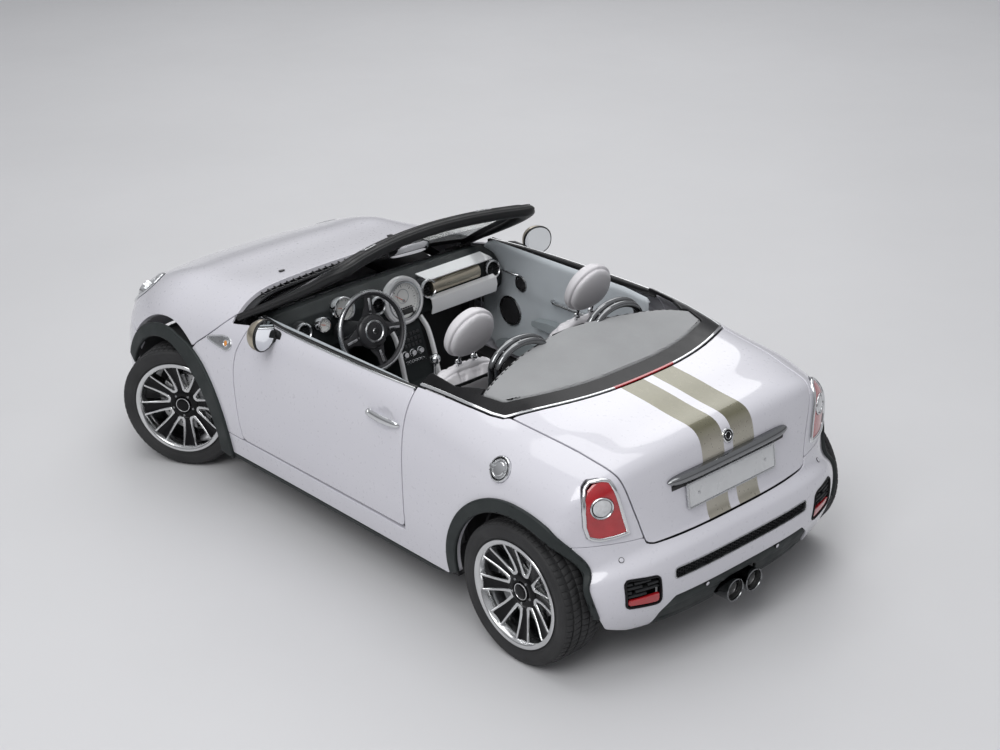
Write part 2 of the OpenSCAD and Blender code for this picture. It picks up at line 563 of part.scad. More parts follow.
module door_mirror() {
    color("silver") translate([mirror_x, 826, 936]) rotate([0, 90, 10]) difference() {
        scale([0.86, 1.06, 1]) rotate_extrude() polygon([[0, 0], [78, 0], [78, 14],
            for (a = [0:15:90]) [78 * cos(a), 14 + 66 * sin(a)]]);
        translate([0, 0, -1]) scale([0.86, 1.06, 1]) cylinder(r = 70, h = 7);
    }
    color("black") mirror_arm();
}

/* ---- lids' hinges ---- */
lid_hinge = [aft - 1118, 918];
lid_hinge_y = 560;
// Gooseneck arms that dip under the deck band.
module lid_hinges() both() difference() {
    union() {
        translate([lid_hinge[0], lid_hinge_y - 15, lid_hinge[1]]) rotate([-90, 0, 0])
            cylinder(r = pin_r + 5, h = 30);
        translate([0, lid_hinge_y - 8, 0]) rotate([90, 0, 0]) mirror([0, 0, 1]) linear_extrude(16)
            translate([lid_hinge[0], 0]) polygon([[-9, 913], [9, 913], [-24, 790], [-132, 790],
                [-144, 945], [-120, 945], [-114, 812], [-38, 812]]);
    }
    translate([lid_hinge[0], 0, lid_hinge[1]]) rotate([-90, 0, 0])
        cylinder(r = pin_r + pin_gap, h = far);
}
module bonnet_hinges() both() difference() {
    union() {
        translate([bonnet_hinge_x, bonnet_hinge_y - 15, bonnet_hinge_z]) rotate([-90, 0, 0])
            cylinder(r = pin_r + 5, h = 30);
        translate([bonnet_hinge_x, bonnet_hinge_y - 10, bonnet_hinge_z - 12]) cube([130, 20, 14]);
        translate([bonnet_hinge_x + 90, bonnet_hinge_y - 10, bonnet_hinge_z - 12]) cube([60, 20, 48]);
    }
    translate([bonnet_hinge_x, 0, bonnet_hinge_z]) rotate([-90, 0, 0])
        cylinder(r = pin_r + pin_gap, h = far);
}

/* ---- platform: floor, tunnel, sills, bulkheads, boot tub, wheelhouses ---- */
platform_z = 170;
jack_xs = [aft - 880, fore + 380];
bulkhead_r = -935 + aft;
sill_y = 726;
tub_z = 345;
tub_r = axle_r - 350;            // rear panel of the boot
module platform() color("dimgray") {
    union() {
        translate([bulkhead_r, -700, platform_z]) cube([585 - bulkhead_r + fore, 1400, 30]);
        // tunnel and inner sills
        translate([bulkhead_r, -84, platform_z + 30]) cube([1575 + fore - aft, 168, 180]);
        both() translate([bulkhead_r, 640, platform_z + 30]) cube([1485 + fore - aft, sill_y - 640, 110]);
        // front bulkhead and hinge pillars
        translate([bonnet_hinge_x + 40, -650, platform_z]) cube([30, 1300, 620]);
        both() translate([bonnet_hinge_x - 20, 640, platform_z + 30])
            cube([90, pillar_y - 640, pillar_top - platform_z - 30]);
        both() door_pins();
        both() bonnet_pins();
        // jacking pads
        both() for (x = jack_xs) translate([x - 40, 640, platform_z - 14]) cube([80, 80, 50]);
        // rear bulkhead and shelf
        translate([bulkhead_r, -670, platform_z]) cube([25, 1340, shelf_z - platform_z]);
        translate([bulkhead_r - 75, -655, shelf_z - 40]) cube([200, 1310, 40]);
        // front legs, radiator member and inner wings
        both() translate([bonnet_hinge_x + 60, 345, 330]) cube([980, 75, 100]);
        translate([axle_f + 483, -420, 300]) cube([30, 840, 60]);
        translate([axle_f + 483, -420, 600]) cube([30, 840, 40]);
        both() translate([axle_f + 483, 380, 330]) cube([30, 40, 300]);
        both() translate([bonnet_hinge_x + 60, 404, 420]) cube([980, 16, 300]);
    }
}
module boot_tub() color("dimgray") {
    translate([tub_r, -500, tub_z]) cube([bulkhead_r - fit - tub_r, 1000, 22]);
    both() translate([tub_r + 90, 500 + fit, tub_z]) cube([bulkhead_r - 75 - fit - tub_r - 90, 20 - fit, 300]);
    translate([tub_r, -500, tub_z + 22 + fit]) cube([20, 1000, 133 - fit]);
    both() translate([axle_r - 30, 519, 358]) cube([60, 60, 22]);
    both() lid_pins();
    both() translate([axle_r, 578, axle_z]) rotate([-90, 0, 0]) difference() {
        cylinder(r = arch_r + 18, h = 90);
        translate([0, 0, 12]) cylinder(r = arch_r + 6, h = 200);
        translate([0, 0, -1]) cylinder(r = 90, h = 20);
        translate([-far, 0, -1]) cube([2 * far, far, 400]);
        translate([-far - 255, -far, -1]) cube([far, 2 * far, 400]);
    }
}

module bonnet_pins() translate([bonnet_hinge_x, bonnet_hinge_y + 16, bonnet_hinge_z]) {
    rotate([90, 0, 0]) cylinder(r = pin_r, h = 32);
    translate([-14, 0, -40]) cube([28, 12, 47]);
    translate([-14, 0, -40]) cube([72, 12, 14]);
    translate([40, -60, -94]) cube([30, 72, 68]);
}
module lid_pins() translate([lid_hinge[0], lid_hinge_y + 16, lid_hinge[1]]) {
    rotate([90, 0, 0]) cylinder(r = pin_r, h = 32);
    translate([-14, 0, -150]) cube([28, 12, 155]);
    translate([-14, 0, -250]) cube([28, 12, 105]);
    translate([-14, -60, -300]) cube([28, 72, 60]);
}

/* ---- fuel filler ---- */
filler_r = 42;
filler_pos = [axle_r + 110, 778, 810];
filler_lean = -60;               // the skin leans in over the wheel
module filler_place() translate(filler_pos) rotate([filler_lean, 0, 0]) children();
module fuel_ring() color("silver") filler_place() {
    difference() {
        translate([0, 0, -30]) cylinder(r = filler_r + 9, h = 34);
        translate([0, 0, -8]) cylinder(r = filler_r + 3, h = 40);
    }
    for (y = [-1, 1]) translate([filler_r + 6, 16 * y - 3, 0]) cube([12, 6, 18]);
    translate([filler_r + 12, 17, 12]) rotate([90, 0, 0]) cylinder(r = 3, h = 34);
}
module fuel_flap() color("silver") filler_place() difference() {
    union() {
        translate([0, 0, -6]) cylinder(r = filler_r, h = 12);
        translate([0, 0, 6]) cylinder(r1 = filler_r, r2 = filler_r - 10, h = 5);
        translate([filler_r - 12, -12, 7]) cube([24, 24, 5]);
        translate([filler_r + 12, 12, 12]) rotate([90, 0, 0]) cylinder(r = 6, h = 24);
    }
    translate([filler_r + 12, 20, 12]) rotate([90, 0, 0]) cylinder(r = 3 + pin_gap, h = 40);
}

/* ---- lamps, grilles, bumper inserts ---- */
module lamp_outline() translate([560, 700]) scale([0.92, 1.08]) circle(r = 98, $fn = 28);
module headlamps() color("lightgray") pressed() both() intersection() {
    sheet(2, 60, 3, 10);
    through_rear(axle_f + 213, far) lamp_outline();
    translate([axle_f + 113, 0, 0]) cube(far);
}
module tail_lamps() color("firebrick") pressed() both() intersection() {
    sheet(-5, 20, 22, 33);
    through_rear(-far, lamp_x) tail_lamp_outline();
}
module grille() color("dimgray") pressed() difference() {
    intersection() {
        sheet(14, 24, 0, 5);
        through_rear(axle_f + 513, far) offset(delta = -fit) {
            mouth_outline();
            intake_outline();
        }
    }
    through_rear(axle_f + 513, far) for (z = [282:24:360]) translate([-380, z]) square([760, 14]);
    through_rear(axle_f + 513, far) for (z = [490:24:570]) translate([-300, z]) square([600, 14]);
}
module rear_vents() color("black") pressed() {
    difference() {
        intersection() {
            sheet(14, 24, 28, SKIRT);
            through_rear(-far, axle_r - 320) offset(delta = -fit) slot_outline();
        }
        through_rear(-far, axle_r) for (y = [-380:154:300]) translate([y, 408]) square([140, 28]);
    }
    both() difference() {
        intersection() {
            sheet(14, 30, 28, SKIRT);
            through_rear(-far, axle_r - 120) offset(delta = -fit) vent_outline();
        }
        through_rear(-far, axle_r) for (z = [380:32:440]) translate([440, z]) square([230, 14]);
    }
}
module valance() color("dimgray") pressed() difference() {
    intersection() {
        sheet(8, 26, SKIRT - 2, LAST);
        through_rear(-far, axle_r - 220) intersection() {
            offset(delta = -joint_gap) bumper_foot();
            polygon([[-500, 160], [500, 160], [520, 252], [520, 400], [-520, 400], [-520, 252]]);
        }
    }
    through_rear(-far, axle_r - 120) hull() for (y = [-exhaust_y, exhaust_y])
        translate([y, 211]) circle(r = 62, $fn = 24);
}

/* ---- running gear ---- */
exhaust_y = 57;
pipe_r = 26;
pipe_z = platform_z - fit - pipe_r;
module exhaust() color("silver") {
    for (y = [-exhaust_y, exhaust_y]) translate([axle_r - 475, y, 211]) rotate([0, 90, 0]) difference() {
        cylinder(r = 46, h = 190);
        translate([0, 0, -1]) cylinder(r = 42, h = 150);
    }
    translate([axle_r - 285, -320, 140]) cube([190, 640, 120]);
    translate([axle_r - 110, 0, 160]) rotate([0, 90, 0]) cylinder(r = pipe_r, h = 100);
    translate([axle_r - 40, 0, pipe_z]) rotate([0, 90, 0]) cylinder(r = pipe_r, h = wheelbase - 167);
}
module engine() color("gray") translate([axle_f - 217, -320, 260]) cube([470, 640, 480]);
kingpin_y = 700;
arm_z = 196;
module front_subframe() color("dimgray") translate([axle_f, 0, 0]) {
    translate([-137, -340, 190]) cube([300, 680, 70 - fit]);
    // towers up to the front legs
    both() for (x = [-127, 103]) translate([x, 325, 240]) cube([60, 85, 90 - fit]);
    both() {
        hull() {
            translate([-127, 330, arm_z]) cylinder(r = 20, h = 28, $fn = 24);
            translate([0, kingpin_y - 26, arm_z]) cylinder(r = 16, h = 28, $fn = 24);
            translate([143, 330, arm_z]) cylinder(r = 20, h = 28, $fn = 24);
        }
        translate([0, kingpin_y, arm_z]) cylinder(r = 18, h = 28);
        translate([0, kingpin_y, arm_z + 27]) cylinder(r = 10, h = 20);
    }
    // steering rack and its brackets
    translate([-251, -340, 280]) rotate([-90, 0, 0]) cylinder(r = 24, h = 680);
    both() translate([-261, 200, 225]) cube([20, 40, 50]);
    both() translate([-251, 200, 225]) cube([130, 40, 25]);
}
hub_off = wheel_y - kingpin_y;
module at_front(side) translate([axle_f, side * kingpin_y, 0]) rotate([0, 0, steer_rest])
    translate([0, side * hub_off, axle_z]) rotate([side > 0 ? -90 : 90, 0, 0]) children();
module at_rear(side) translate([axle_r, side * wheel_y, axle_z])
    rotate([side > 0 ? -90 : 90, 0, 0]) children();
// A wheel's own frame has +Z out of the car, with the tyre's middle at its origin.
module knuckle(side) color("dimgray") {
    translate([axle_f, side * kingpin_y, 0]) difference() {
        translate([0, 0, arm_z + 30]) cylinder(r = 16, h = 150);
        translate([0, 0, arm_z + 20]) cylinder(r = 10 + pin_gap, h = 30);
    }
    at_front(side) {
        translate([0, 0, -60]) cylinder(r = 46, h = 34);
        translate([0, 0, -30]) cylinder(r = stub_r, h = 70);
    }
}
module beam_end() translate([60, 530, 230]) rotate([-90, 0, 0]) cylinder(r = 40, h = 30, $fn = 24);
module rear_axle() color("dimgray") translate([axle_r, 0, 0]) {
    translate([60, -545, 230]) rotate([-90, 0, 0]) cylinder(r = 36, h = 1090);
    both() {
        hull() {
            translate([0, 560, axle_z]) rotate([-90, 0, 0]) cylinder(r = 46, h = 60, $fn = 24);
            beam_end();
        }
        hull() {
            beam_end();
            translate([bulkhead_r - fit - 20 - axle_r, 470, 175]) cube([20, 90, 60]);
        }
        translate([0, 600, axle_z]) rotate([-90, 0, 0]) cylinder(r = 46, h = wheel_y - 626);
        translate([0, 600, axle_z]) rotate([-90, 0, 0]) cylinder(r = stub_r, h = wheel_y - 560);
    }
}
seat_r = rim_r - 17;             // bead seat of the rim
disc_z = -8;                     // inner face of the brake disc
hub_z = 50;                      // outer face of the rim's hub
module tyre() color("black") rotate_extrude($fn = 96) let(w = tyre_w / 2, s = seat_r + fit) polygon([
    [s, -w + 22 + fit], [rim_r + 2, -w + 22 + fit], [rim_r + 12, -w + 6], [s + 50, -w],
    [tyre_r - 30, -w + 1], [tyre_r - 12, -w + 9],
    [tyre_r - 3, -w + 22], [tyre_r, -w + 45], [tyre_r, w - 45], [tyre_r - 3, w - 22],
    [tyre_r - 12, w - 9], [tyre_r - 30, w - 1], [s + 50, w], [rim_r + 10, w - 5],
    [rim_r + 2, w - 11], [s, w - 21]]);
// One open loop between the rim's spokes: round at the hub, wide at the flange.
module loop_shape() let(half = 140 / rim_loops, end = seat_r - 24) polygon([
    for (a = [90:30:270]) [86 + 13 * cos(a), 13 * sin(a)],
    for (t = [-1:0.25:1]) let(r = end - 16 * pow(t, 4)) [r * cos(half * t), r * sin(half * t)]]);
module rim() color("silver") difference() {
    rotate_extrude($fn = 96) let(w = tyre_w / 2) polygon([
        [stub_r + 0.1, disc_z], [disc_r, disc_z], [disc_r, disc_z + 20], [62, disc_z + 20],
        [62, hub_z - 16], [seat_r - 20, hub_z - 20], [seat_r - 24, 0], [seat_r - 14, -w + 12],
        [rim_r, -w + 8], [rim_r, -w + 22], [seat_r, -w + 18 + fit], [seat_r, w - 20],
        [seat_r + 3, w - 16], [rim_r, w - 10], [rim_r, w - 2], [seat_r - 6, w - 8],
        [seat_r - 15, hub_z + 24], [60, hub_z], [stub_r + 0.1, hub_z]]);
    for (i = [0:rim_loops - 1]) rotate(360 * i / rim_loops) translate([0, 0, disc_z + 24])
        linear_extrude(120) loop_shape();
}
wheel_at = [33, 370, 876];
wheel_lean = 73;
column_l = 245;                  // length of the column below the wheel
column_r = 18;
module steering_wheel() color("dimgray") translate([fore, 0, 0]) in_column(0) {
    rotate_extrude($fn = 64) translate([steer_r - 14, 0]) circle(r = 14, $fn = 24);
    cylinder(r = 50, h = 26, center = true);
    for (a = [-8, 98, 188, 262]) rotate(a) translate([30, -13, -7]) cube([steer_r - 46, 26, 12]);
    translate([0, 0, -column_l]) cylinder(r = column_r, h = column_l - 5);
}

/* ---- boot lid furniture ---- */
plate_w = 520;
plate_h = 112;
plate_x = axle_r - 396;
plate_z = 681;
module boot_trim() {
    color("dimgray") translate([plate_x, 0, plate_z]) rotate([0, 7.2, 0]) translate([-10, -plate_w / 2, -plate_h / 2])
        cube([10, plate_w, plate_h]);
    color("silver") bar([for (i = [-6:6]) [plate_x + 8 * pow(abs(i) / 6, 2), i * 56.5, 768]], 12, 9, n = 10);
    color("silver") translate([plate_x + 25.7, 0, 849]) rotate([0, -70, 0]) cylinder(r = 28, h = 8);
}
module door_left() {
    door_skin();
    door_arms();
    door_handle();
}
module bonnet() {
    bonnet_skin();
    color("silver") bonnet_hinges();
}
module boot_lid() {
    lid_skin();
    color("silver") lid_hinges();
}

platform();
boot_tub();
front_bumper();
rear_bumper();
rear_vents();
valance();
grille();
fender_side();  // fender_left
mirror([0, 1, 0]) fender_side();  // fender_right
quarter_skin();  // quarter_left
mirror([0, 1, 0]) quarter_skin();  // quarter_right
arch_trims();
cowl();
screen_frame();
screen_glass();
deck_band();
soft_top();
roll_hoops();
dashboard();
console();
seat();  // seat_left
mirror([0, 1, 0]) seat();  // seat_right
headlamps();
tail_lamps();
front_subframe();
rear_axle();
engine();
exhaust();
fuel_ring();
fuel_flap();
bonnet();
door_left();
mirror([0, 1, 0]) door_left();  // door_right
door_card();  // door_card_left
mirror([0, 1, 0]) door_card();  // door_card_right
door_mirror();  // mirror_left
mirror([0, 1, 0]) door_mirror();  // mirror_right
boot_lid();
boot_trim();
knuckle(1);  // knuckle_left
knuckle(-1);  // knuckle_right
steering_wheel();
at_front(1) tyre();  // tyre_front_left
at_front(-1) tyre();  // tyre_front_right
at_rear(1) tyre();  // tyre_rear_left
at_rear(-1) tyre();  // tyre_rear_right
at_front(1) rim();  // rim_front_left
at_front(-1) rim();  // rim_front_right
at_rear(1) rim();  // rim_rear_left
at_rear(-1) rim();  // rim_rear_right
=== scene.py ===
"""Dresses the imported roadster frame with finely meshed, procedurally finished pieces."""
import sys
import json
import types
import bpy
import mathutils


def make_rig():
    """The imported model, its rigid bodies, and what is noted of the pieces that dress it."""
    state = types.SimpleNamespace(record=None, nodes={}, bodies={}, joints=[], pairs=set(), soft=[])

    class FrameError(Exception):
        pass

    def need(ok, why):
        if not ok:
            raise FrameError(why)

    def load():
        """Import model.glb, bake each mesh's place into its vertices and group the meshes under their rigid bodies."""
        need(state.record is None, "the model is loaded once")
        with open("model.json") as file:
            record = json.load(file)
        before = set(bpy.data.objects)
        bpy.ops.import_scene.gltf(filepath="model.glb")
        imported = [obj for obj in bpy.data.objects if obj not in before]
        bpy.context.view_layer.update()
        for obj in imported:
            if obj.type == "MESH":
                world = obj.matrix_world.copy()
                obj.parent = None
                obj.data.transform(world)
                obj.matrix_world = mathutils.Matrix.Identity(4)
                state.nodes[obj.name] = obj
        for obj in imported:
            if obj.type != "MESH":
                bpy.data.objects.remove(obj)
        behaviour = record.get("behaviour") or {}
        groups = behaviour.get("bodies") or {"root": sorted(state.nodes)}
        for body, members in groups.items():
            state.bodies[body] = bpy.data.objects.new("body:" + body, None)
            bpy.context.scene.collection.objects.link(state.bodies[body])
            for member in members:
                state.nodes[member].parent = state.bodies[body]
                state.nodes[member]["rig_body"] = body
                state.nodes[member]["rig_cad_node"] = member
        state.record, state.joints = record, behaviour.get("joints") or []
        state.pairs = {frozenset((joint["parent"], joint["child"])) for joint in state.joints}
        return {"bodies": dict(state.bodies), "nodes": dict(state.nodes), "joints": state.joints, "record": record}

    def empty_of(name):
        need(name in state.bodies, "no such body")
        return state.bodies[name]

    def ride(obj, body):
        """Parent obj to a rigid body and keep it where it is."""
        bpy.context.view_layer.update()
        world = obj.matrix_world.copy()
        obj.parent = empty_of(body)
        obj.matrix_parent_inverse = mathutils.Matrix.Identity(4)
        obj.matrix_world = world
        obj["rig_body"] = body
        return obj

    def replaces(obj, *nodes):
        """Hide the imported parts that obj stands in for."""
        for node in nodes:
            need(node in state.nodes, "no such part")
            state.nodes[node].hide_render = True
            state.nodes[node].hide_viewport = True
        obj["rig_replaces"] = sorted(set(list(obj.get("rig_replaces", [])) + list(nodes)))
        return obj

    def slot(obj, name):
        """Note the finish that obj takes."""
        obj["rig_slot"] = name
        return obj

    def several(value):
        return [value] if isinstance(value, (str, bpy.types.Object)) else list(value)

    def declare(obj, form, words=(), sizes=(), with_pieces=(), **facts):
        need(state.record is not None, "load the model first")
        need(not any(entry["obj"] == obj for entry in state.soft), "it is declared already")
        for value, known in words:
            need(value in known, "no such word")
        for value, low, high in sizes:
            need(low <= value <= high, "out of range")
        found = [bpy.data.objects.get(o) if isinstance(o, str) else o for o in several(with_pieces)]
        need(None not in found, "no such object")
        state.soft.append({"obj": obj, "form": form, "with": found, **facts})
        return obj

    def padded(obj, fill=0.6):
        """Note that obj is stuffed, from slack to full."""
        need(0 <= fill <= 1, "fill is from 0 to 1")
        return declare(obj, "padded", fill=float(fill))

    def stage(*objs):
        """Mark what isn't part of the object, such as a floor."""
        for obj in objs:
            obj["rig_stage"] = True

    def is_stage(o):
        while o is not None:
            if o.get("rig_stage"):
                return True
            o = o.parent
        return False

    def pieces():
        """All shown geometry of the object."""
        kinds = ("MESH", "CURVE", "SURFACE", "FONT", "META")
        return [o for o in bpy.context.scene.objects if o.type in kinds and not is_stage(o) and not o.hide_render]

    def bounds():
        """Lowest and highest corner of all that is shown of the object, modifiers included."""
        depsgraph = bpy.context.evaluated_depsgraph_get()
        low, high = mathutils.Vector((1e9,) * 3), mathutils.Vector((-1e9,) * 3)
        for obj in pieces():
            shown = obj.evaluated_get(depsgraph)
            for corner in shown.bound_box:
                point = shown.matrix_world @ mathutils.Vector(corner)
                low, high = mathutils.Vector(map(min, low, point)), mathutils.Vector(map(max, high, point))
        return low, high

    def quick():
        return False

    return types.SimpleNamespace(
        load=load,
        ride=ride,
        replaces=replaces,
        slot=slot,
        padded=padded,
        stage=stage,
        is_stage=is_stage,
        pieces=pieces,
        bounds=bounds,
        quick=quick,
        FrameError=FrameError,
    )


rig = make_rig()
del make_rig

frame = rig.load()
import json
import math

import bmesh
import bpy
import numpy as np
from bpy.props import FloatProperty, FloatVectorProperty, IntProperty, PointerProperty
from mathutils import Matrix, Vector

bl_info = {
    "name": "Roadster convertible",
    "version": (1, 0, 0),
    "blender": (4, 5, 0),
    "location": "View3D > Sidebar > Roadster",
    "description": "Builds the painted panels, trim, cabin and wheels of a small roadster on its packed frame",
    "category": "Object",
}

# ------------------------------------------------------------------ sizes in millimetres
AXLE_F, AXLE_R, AXLE_Z = 1087.0, -1380.0, 308.0
ARCH_R = 346.0
SHUT, JOINT = 6.0, 3.0
CAD_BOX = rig.bounds()

# One row per section of the skin: x of the foot, tilt, crown radius, half width, squareness,
# radius where the side starts. The tilt fans round each axle.
SECTIONS = np.array([
    [AXLE_F, 102, 715, 800, 2.6, 215], [AXLE_F, 97, 752, 805, 2.7, 215],
    [AXLE_F, 91, 772, 808, 2.8, 215], [AXLE_F, 85, 776, 810, 2.8, 215],
    [AXLE_F, 79, 779, 812, 2.9, 215], [AXLE_F, 73, 756, 812, 3.0, 215],
    [AXLE_F, 67, 757, 812, 3.1, 215], [AXLE_F, 61, 757, 812, 3.1, 215],
    [AXLE_F, 54, 738, 812, 3.2, 215], [AXLE_F, 45, 680, 814, 3.4, 215],
    [AXLE_F, 33, 630, 816, 3.7, 215], [AXLE_F, 18, 600, 818, 4.0, 215],
    [AXLE_F, 0, 602, 820, 4.2, 215],
    [AXLE_F - 180, 0, 626, 820, 4.4, 60], [AXLE_F - 360, 0, 652, 819, 4.6, -118],
    [AXLE_F - 540, 0, 672, 818, 4.8, -118], [AXLE_F - 780, 0, 722, 817, 4.9, -118],
    [AXLE_F - 1060, 0, 752, 817, 5.0, -118], [AXLE_F - 1400, 0, 758, 818, 5.0, -118],
    [AXLE_F - 1760, 0, 748, 820, 5.0, -118], [AXLE_R + 420, 0, 712, 822, 5.0, -118],
    [AXLE_R + 220, 0, 672, 824, 5.0, 60],
    [AXLE_R, 0, 646, 826, 5.0, 215], [AXLE_R, -12, 641, 826, 4.6, 215],
    [AXLE_R, -21, 658, 824, 4.2, 215], [AXLE_R, -28, 692, 822, 3.8, 215],
    [AXLE_R, -33, 676, 820, 3.5, 215], [AXLE_R, -40, 590, 820, 3.2, 215],
    [AXLE_R, -48, 530, 822, 3.0, 215], [AXLE_R, -55, 492, 824, 3.0, 215],
    [AXLE_R, -61, 484, 826, 3.0, 215], [AXLE_R, -66, 514, 827, 3.1, 215],
    [AXLE_R, -73, 502, 827, 3.2, 215], [AXLE_R, -82, 484, 827, 3.2, 215],
    [AXLE_R, -91, 472, 826, 3.1, 215], [AXLE_R, -99, 456, 824, 3.0, 215],
    [AXLE_R, -105, 444, 815, 3.0, 215], [AXLE_R, -111, 425, 800, 3.0, 215]], float)
LAST = len(SECTIONS) - 1
# stretches of u that hold the doors, the deck behind the seats, the tail lamps and the rear vents
DOOR_SPAN, DECK_SPAN, LAMP_SPAN, VENT_SPAN = (14.4, 20.6), (18, 25.4), (24.3, 29.5), (29, LAST)
REVERSING = (644, 748)  # y and z of the round lens in each tail lamp


# ------------------------------------------------------------------ the body skin
def section(u):
    """Cubic blend of the section table at u."""
    i = np.minimum(np.floor(u).astype(int), LAST - 1)
    t = (u - i)[..., None]
    w = ((1 - t) ** 3, 3 * t ** 3 - 6 * t * t + 4, -3 * t ** 3 + 3 * t * t + 3 * t + 1, t ** 3)
    at = lambda k: SECTIONS[np.clip(i + k, 0, LAST)]
    return (w[0] * at(-1) + w[1] * at(0) + w[2] * at(1) + w[3] * at(2)) / 6


def skin(u, v, inset=0.0):
    """Points of the skin. u runs along the car, v across it: 0 is the crown, 1 and -1 the sills."""
    u, v = np.broadcast_arrays(np.asarray(u, float), np.asarray(v, float))
    s = section(np.clip(u, 0, LAST))
    f = 1 - np.abs(v)
    r, w = s[..., 2] - inset, s[..., 3] - inset
    start = np.arctan2(s[..., 5], r)
    a = start + (np.pi / 2 - start) * f
    c, d = np.cos(a), np.sin(a)
    k = (np.abs(c) ** s[..., 4] + np.abs(d) ** s[..., 4]) ** (-1 / s[..., 4])
    y = w * k * c
    hump = 34 * np.exp(-((u - 9) / 5.5) ** 2) * np.exp(-((np.abs(y) - 590) / 150) ** 2)
    reach = r * k * d + hump * np.maximum(0, d)
    y = y - 26 * (np.maximum(0, 150 - reach) / 268) ** 2
    tilt = np.radians(s[..., 1])
    return np.stack([s[..., 0] + reach * np.sin(tilt), y * np.sign(v + 1e-12), AXLE_Z + reach * np.cos(tilt)], -1)


def skin_normal(u, v, inset=0.0):
    """Outward unit normals of the skin."""
    e = 0.01
    du = skin(np.minimum(u + e, LAST), v, inset) - skin(np.maximum(u - e, 0), v, inset)
    dv = skin(u, v + e * 0.3, inset) - skin(u, v - e * 0.3, inset)
    n = np.cross(dv, du)
    n /= np.linalg.norm(n, axis=-1, keepdims=True) + 1e-12
    p = skin(u, v, inset)
    out = p - np.array([0, 0, 300.0]) - np.stack([np.clip(p[..., 0], AXLE_R, AXLE_F), 0 * p[..., 0], 0 * p[..., 0]], -1)
    return n * np.sign(np.sum(n * out, -1, keepdims=True) + 1e-12)


COARSE = {}


def on_skin(x=None, y=None, z=None, u=(0.0, LAST), side=1):
    """(u, v) of the skin point nearest to the given coordinates."""
    if (u, side) not in COARSE:
        uu, vv = np.meshgrid(np.linspace(*u, 100), np.linspace(0, side, 80), indexing="ij")
        COARSE[u, side] = uu, vv, skin(uu, vv)
    uu, vv, p = COARSE[u, side]
    for _ in range(6):
        d = sum(((p[..., k] - g) ** 2 for k, g in enumerate((x, y, z)) if g is not None))
        i = np.unravel_index(np.argmin(d), d.shape)
        su, sv = (uu[1, 0] - uu[0, 0]) * 1.5, (vv[0, 1] - vv[0, 0]) * 1.5
        uu, vv = np.meshgrid(np.linspace(uu[i] - su, uu[i] + su, 9), np.linspace(vv[i] - sv, vv[i] + sv, 9),
            indexing="ij")
        p = skin(uu, vv)
    return float(uu[4, 4]), float(vv[4, 4])


# ------------------------------------------------------------------ flat outlines
def away(poly, a, b):
    """Signed distance of (a, b) from a closed outline, negative inside."""
    p = np.asarray(poly, float)
    q = np.roll(p, -1, 0)
    best = np.full(np.shape(a), 1e18)
    inside = np.zeros(np.shape(a), bool)
    for (x0, y0), (x1, y1) in zip(p, q):
        dx, dy = x1 - x0, y1 - y0
        t = np.clip(((a - x0) * dx + (b - y0) * dy) / (dx * dx + dy * dy + 1e-12), 0, 1)
        best = np.minimum(best, (a - x0 - t * dx) ** 2 + (b - y0 - t * dy) ** 2)
        cross = ((y0 > b) != (y1 > b)) & (a < (x1 - x0) * (b - y0) / (y1 - y0 + 1e-12) + x0)
        inside ^= cross
    return np.where(inside, -np.sqrt(best), np.sqrt(best))


def rounded(poly, r, n=5):
    """The outline with its corners rounded."""
    p = [np.asarray(c, float) for c in poly]
    out = []
    for i, c in enumerate(p):
        a, b = p[i - 1] - c, p[(i + 1) % len(p)] - c
        la, lb = np.linalg.norm(a), np.linalg.norm(b)
        a, b = a / la, b / lb
        ang = math.acos(float(np.clip(a @ b, -1, 1)))
        if ang > 2.9:
            out.append(tuple(c))
            continue
        d = min(r / math.tan(ang / 2), la * 0.45, lb * 0.45)
        for k in range(n + 1):
            t = k / n
            out.append(tuple((1 - t) ** 2 * (c + a * d) + 2 * t * (1 - t) * c + t * t * (c + b * d)))
    return out


DOOR = rounded([(428, 1010), (428, 928), (468, 860), (508, 760), (518, 680), (512, 560), (500, 440), (484, 350),
    (470, 336), (445, 332), (-670, 338), (-692, 345), (-700, 365), (-700, 1010)], 9)
BELT = lambda x: 928 + 18 * (428 - x) / 1128
BONNET = rounded([(588, 1100), (588, 905), (640, 862), (700, 810), (760, 762), (830, 712), (900, 640),
    (1300, 560), (1420, 574), (1560, 600), (1700, 622), (1950, 642), (1950, 1100)], 14)
REAR_BUMPER = [(AXLE_R - 330, 100), (AXLE_R - 100, 400), (AXLE_R - 250, 590), (AXLE_R - 320, 588),
    (AXLE_R - 380, 578), (AXLE_R - 600, 560), (AXLE_R - 600, 100)]
LID = rounded([(-470, 556), (-440, 548), (440, 548), (470, 556), (496, 650), (532, 760), (562, 850), (590, 905),
    (640, 960), (660, 1150), (-660, 1150), (-640, 960), (-590, 905), (-562, 850), (-532, 760), (-496, 650)], 12)
BAND_X = -1308.0
band_edge = lambda y: BAND_X + 143 * (np.abs(y) / 625) ** 2.6
LID_PLAN = [(band_edge(i * 66), i * 66) for i in range(-10, 11)] + [(-2000, 660), (-2000, -660)]
COWL_PLAN = [(670 - 80 * (i * 95 / 760) ** 2, i * 95) for i in range(-8, 9)] + [
    (590, 900), (2500, 900), (2500, -900), (590, -900)]
COCKPIT = ([(604, 734), (560, 732), (264, 718), (-640, 716), (-960, 682), (-1090, 662), (-1150, 644)]
    + [(band_edge(i * 62), i * 62) for i in range(10, -11, -1)]
    + [(-1150, -644), (-1090, -662), (-960, -682), (-640, -716), (264, -718), (560, -732), (604, -734)])
COVER = ([(-832 - 150 * (abs(i) / 10) ** 1.5, i * 61) for i in range(-10, 11)]
    + [(-1205 + 120 * (abs(i) / 10) ** 2.6, i * 58) for i in range(10, -11, -1)])
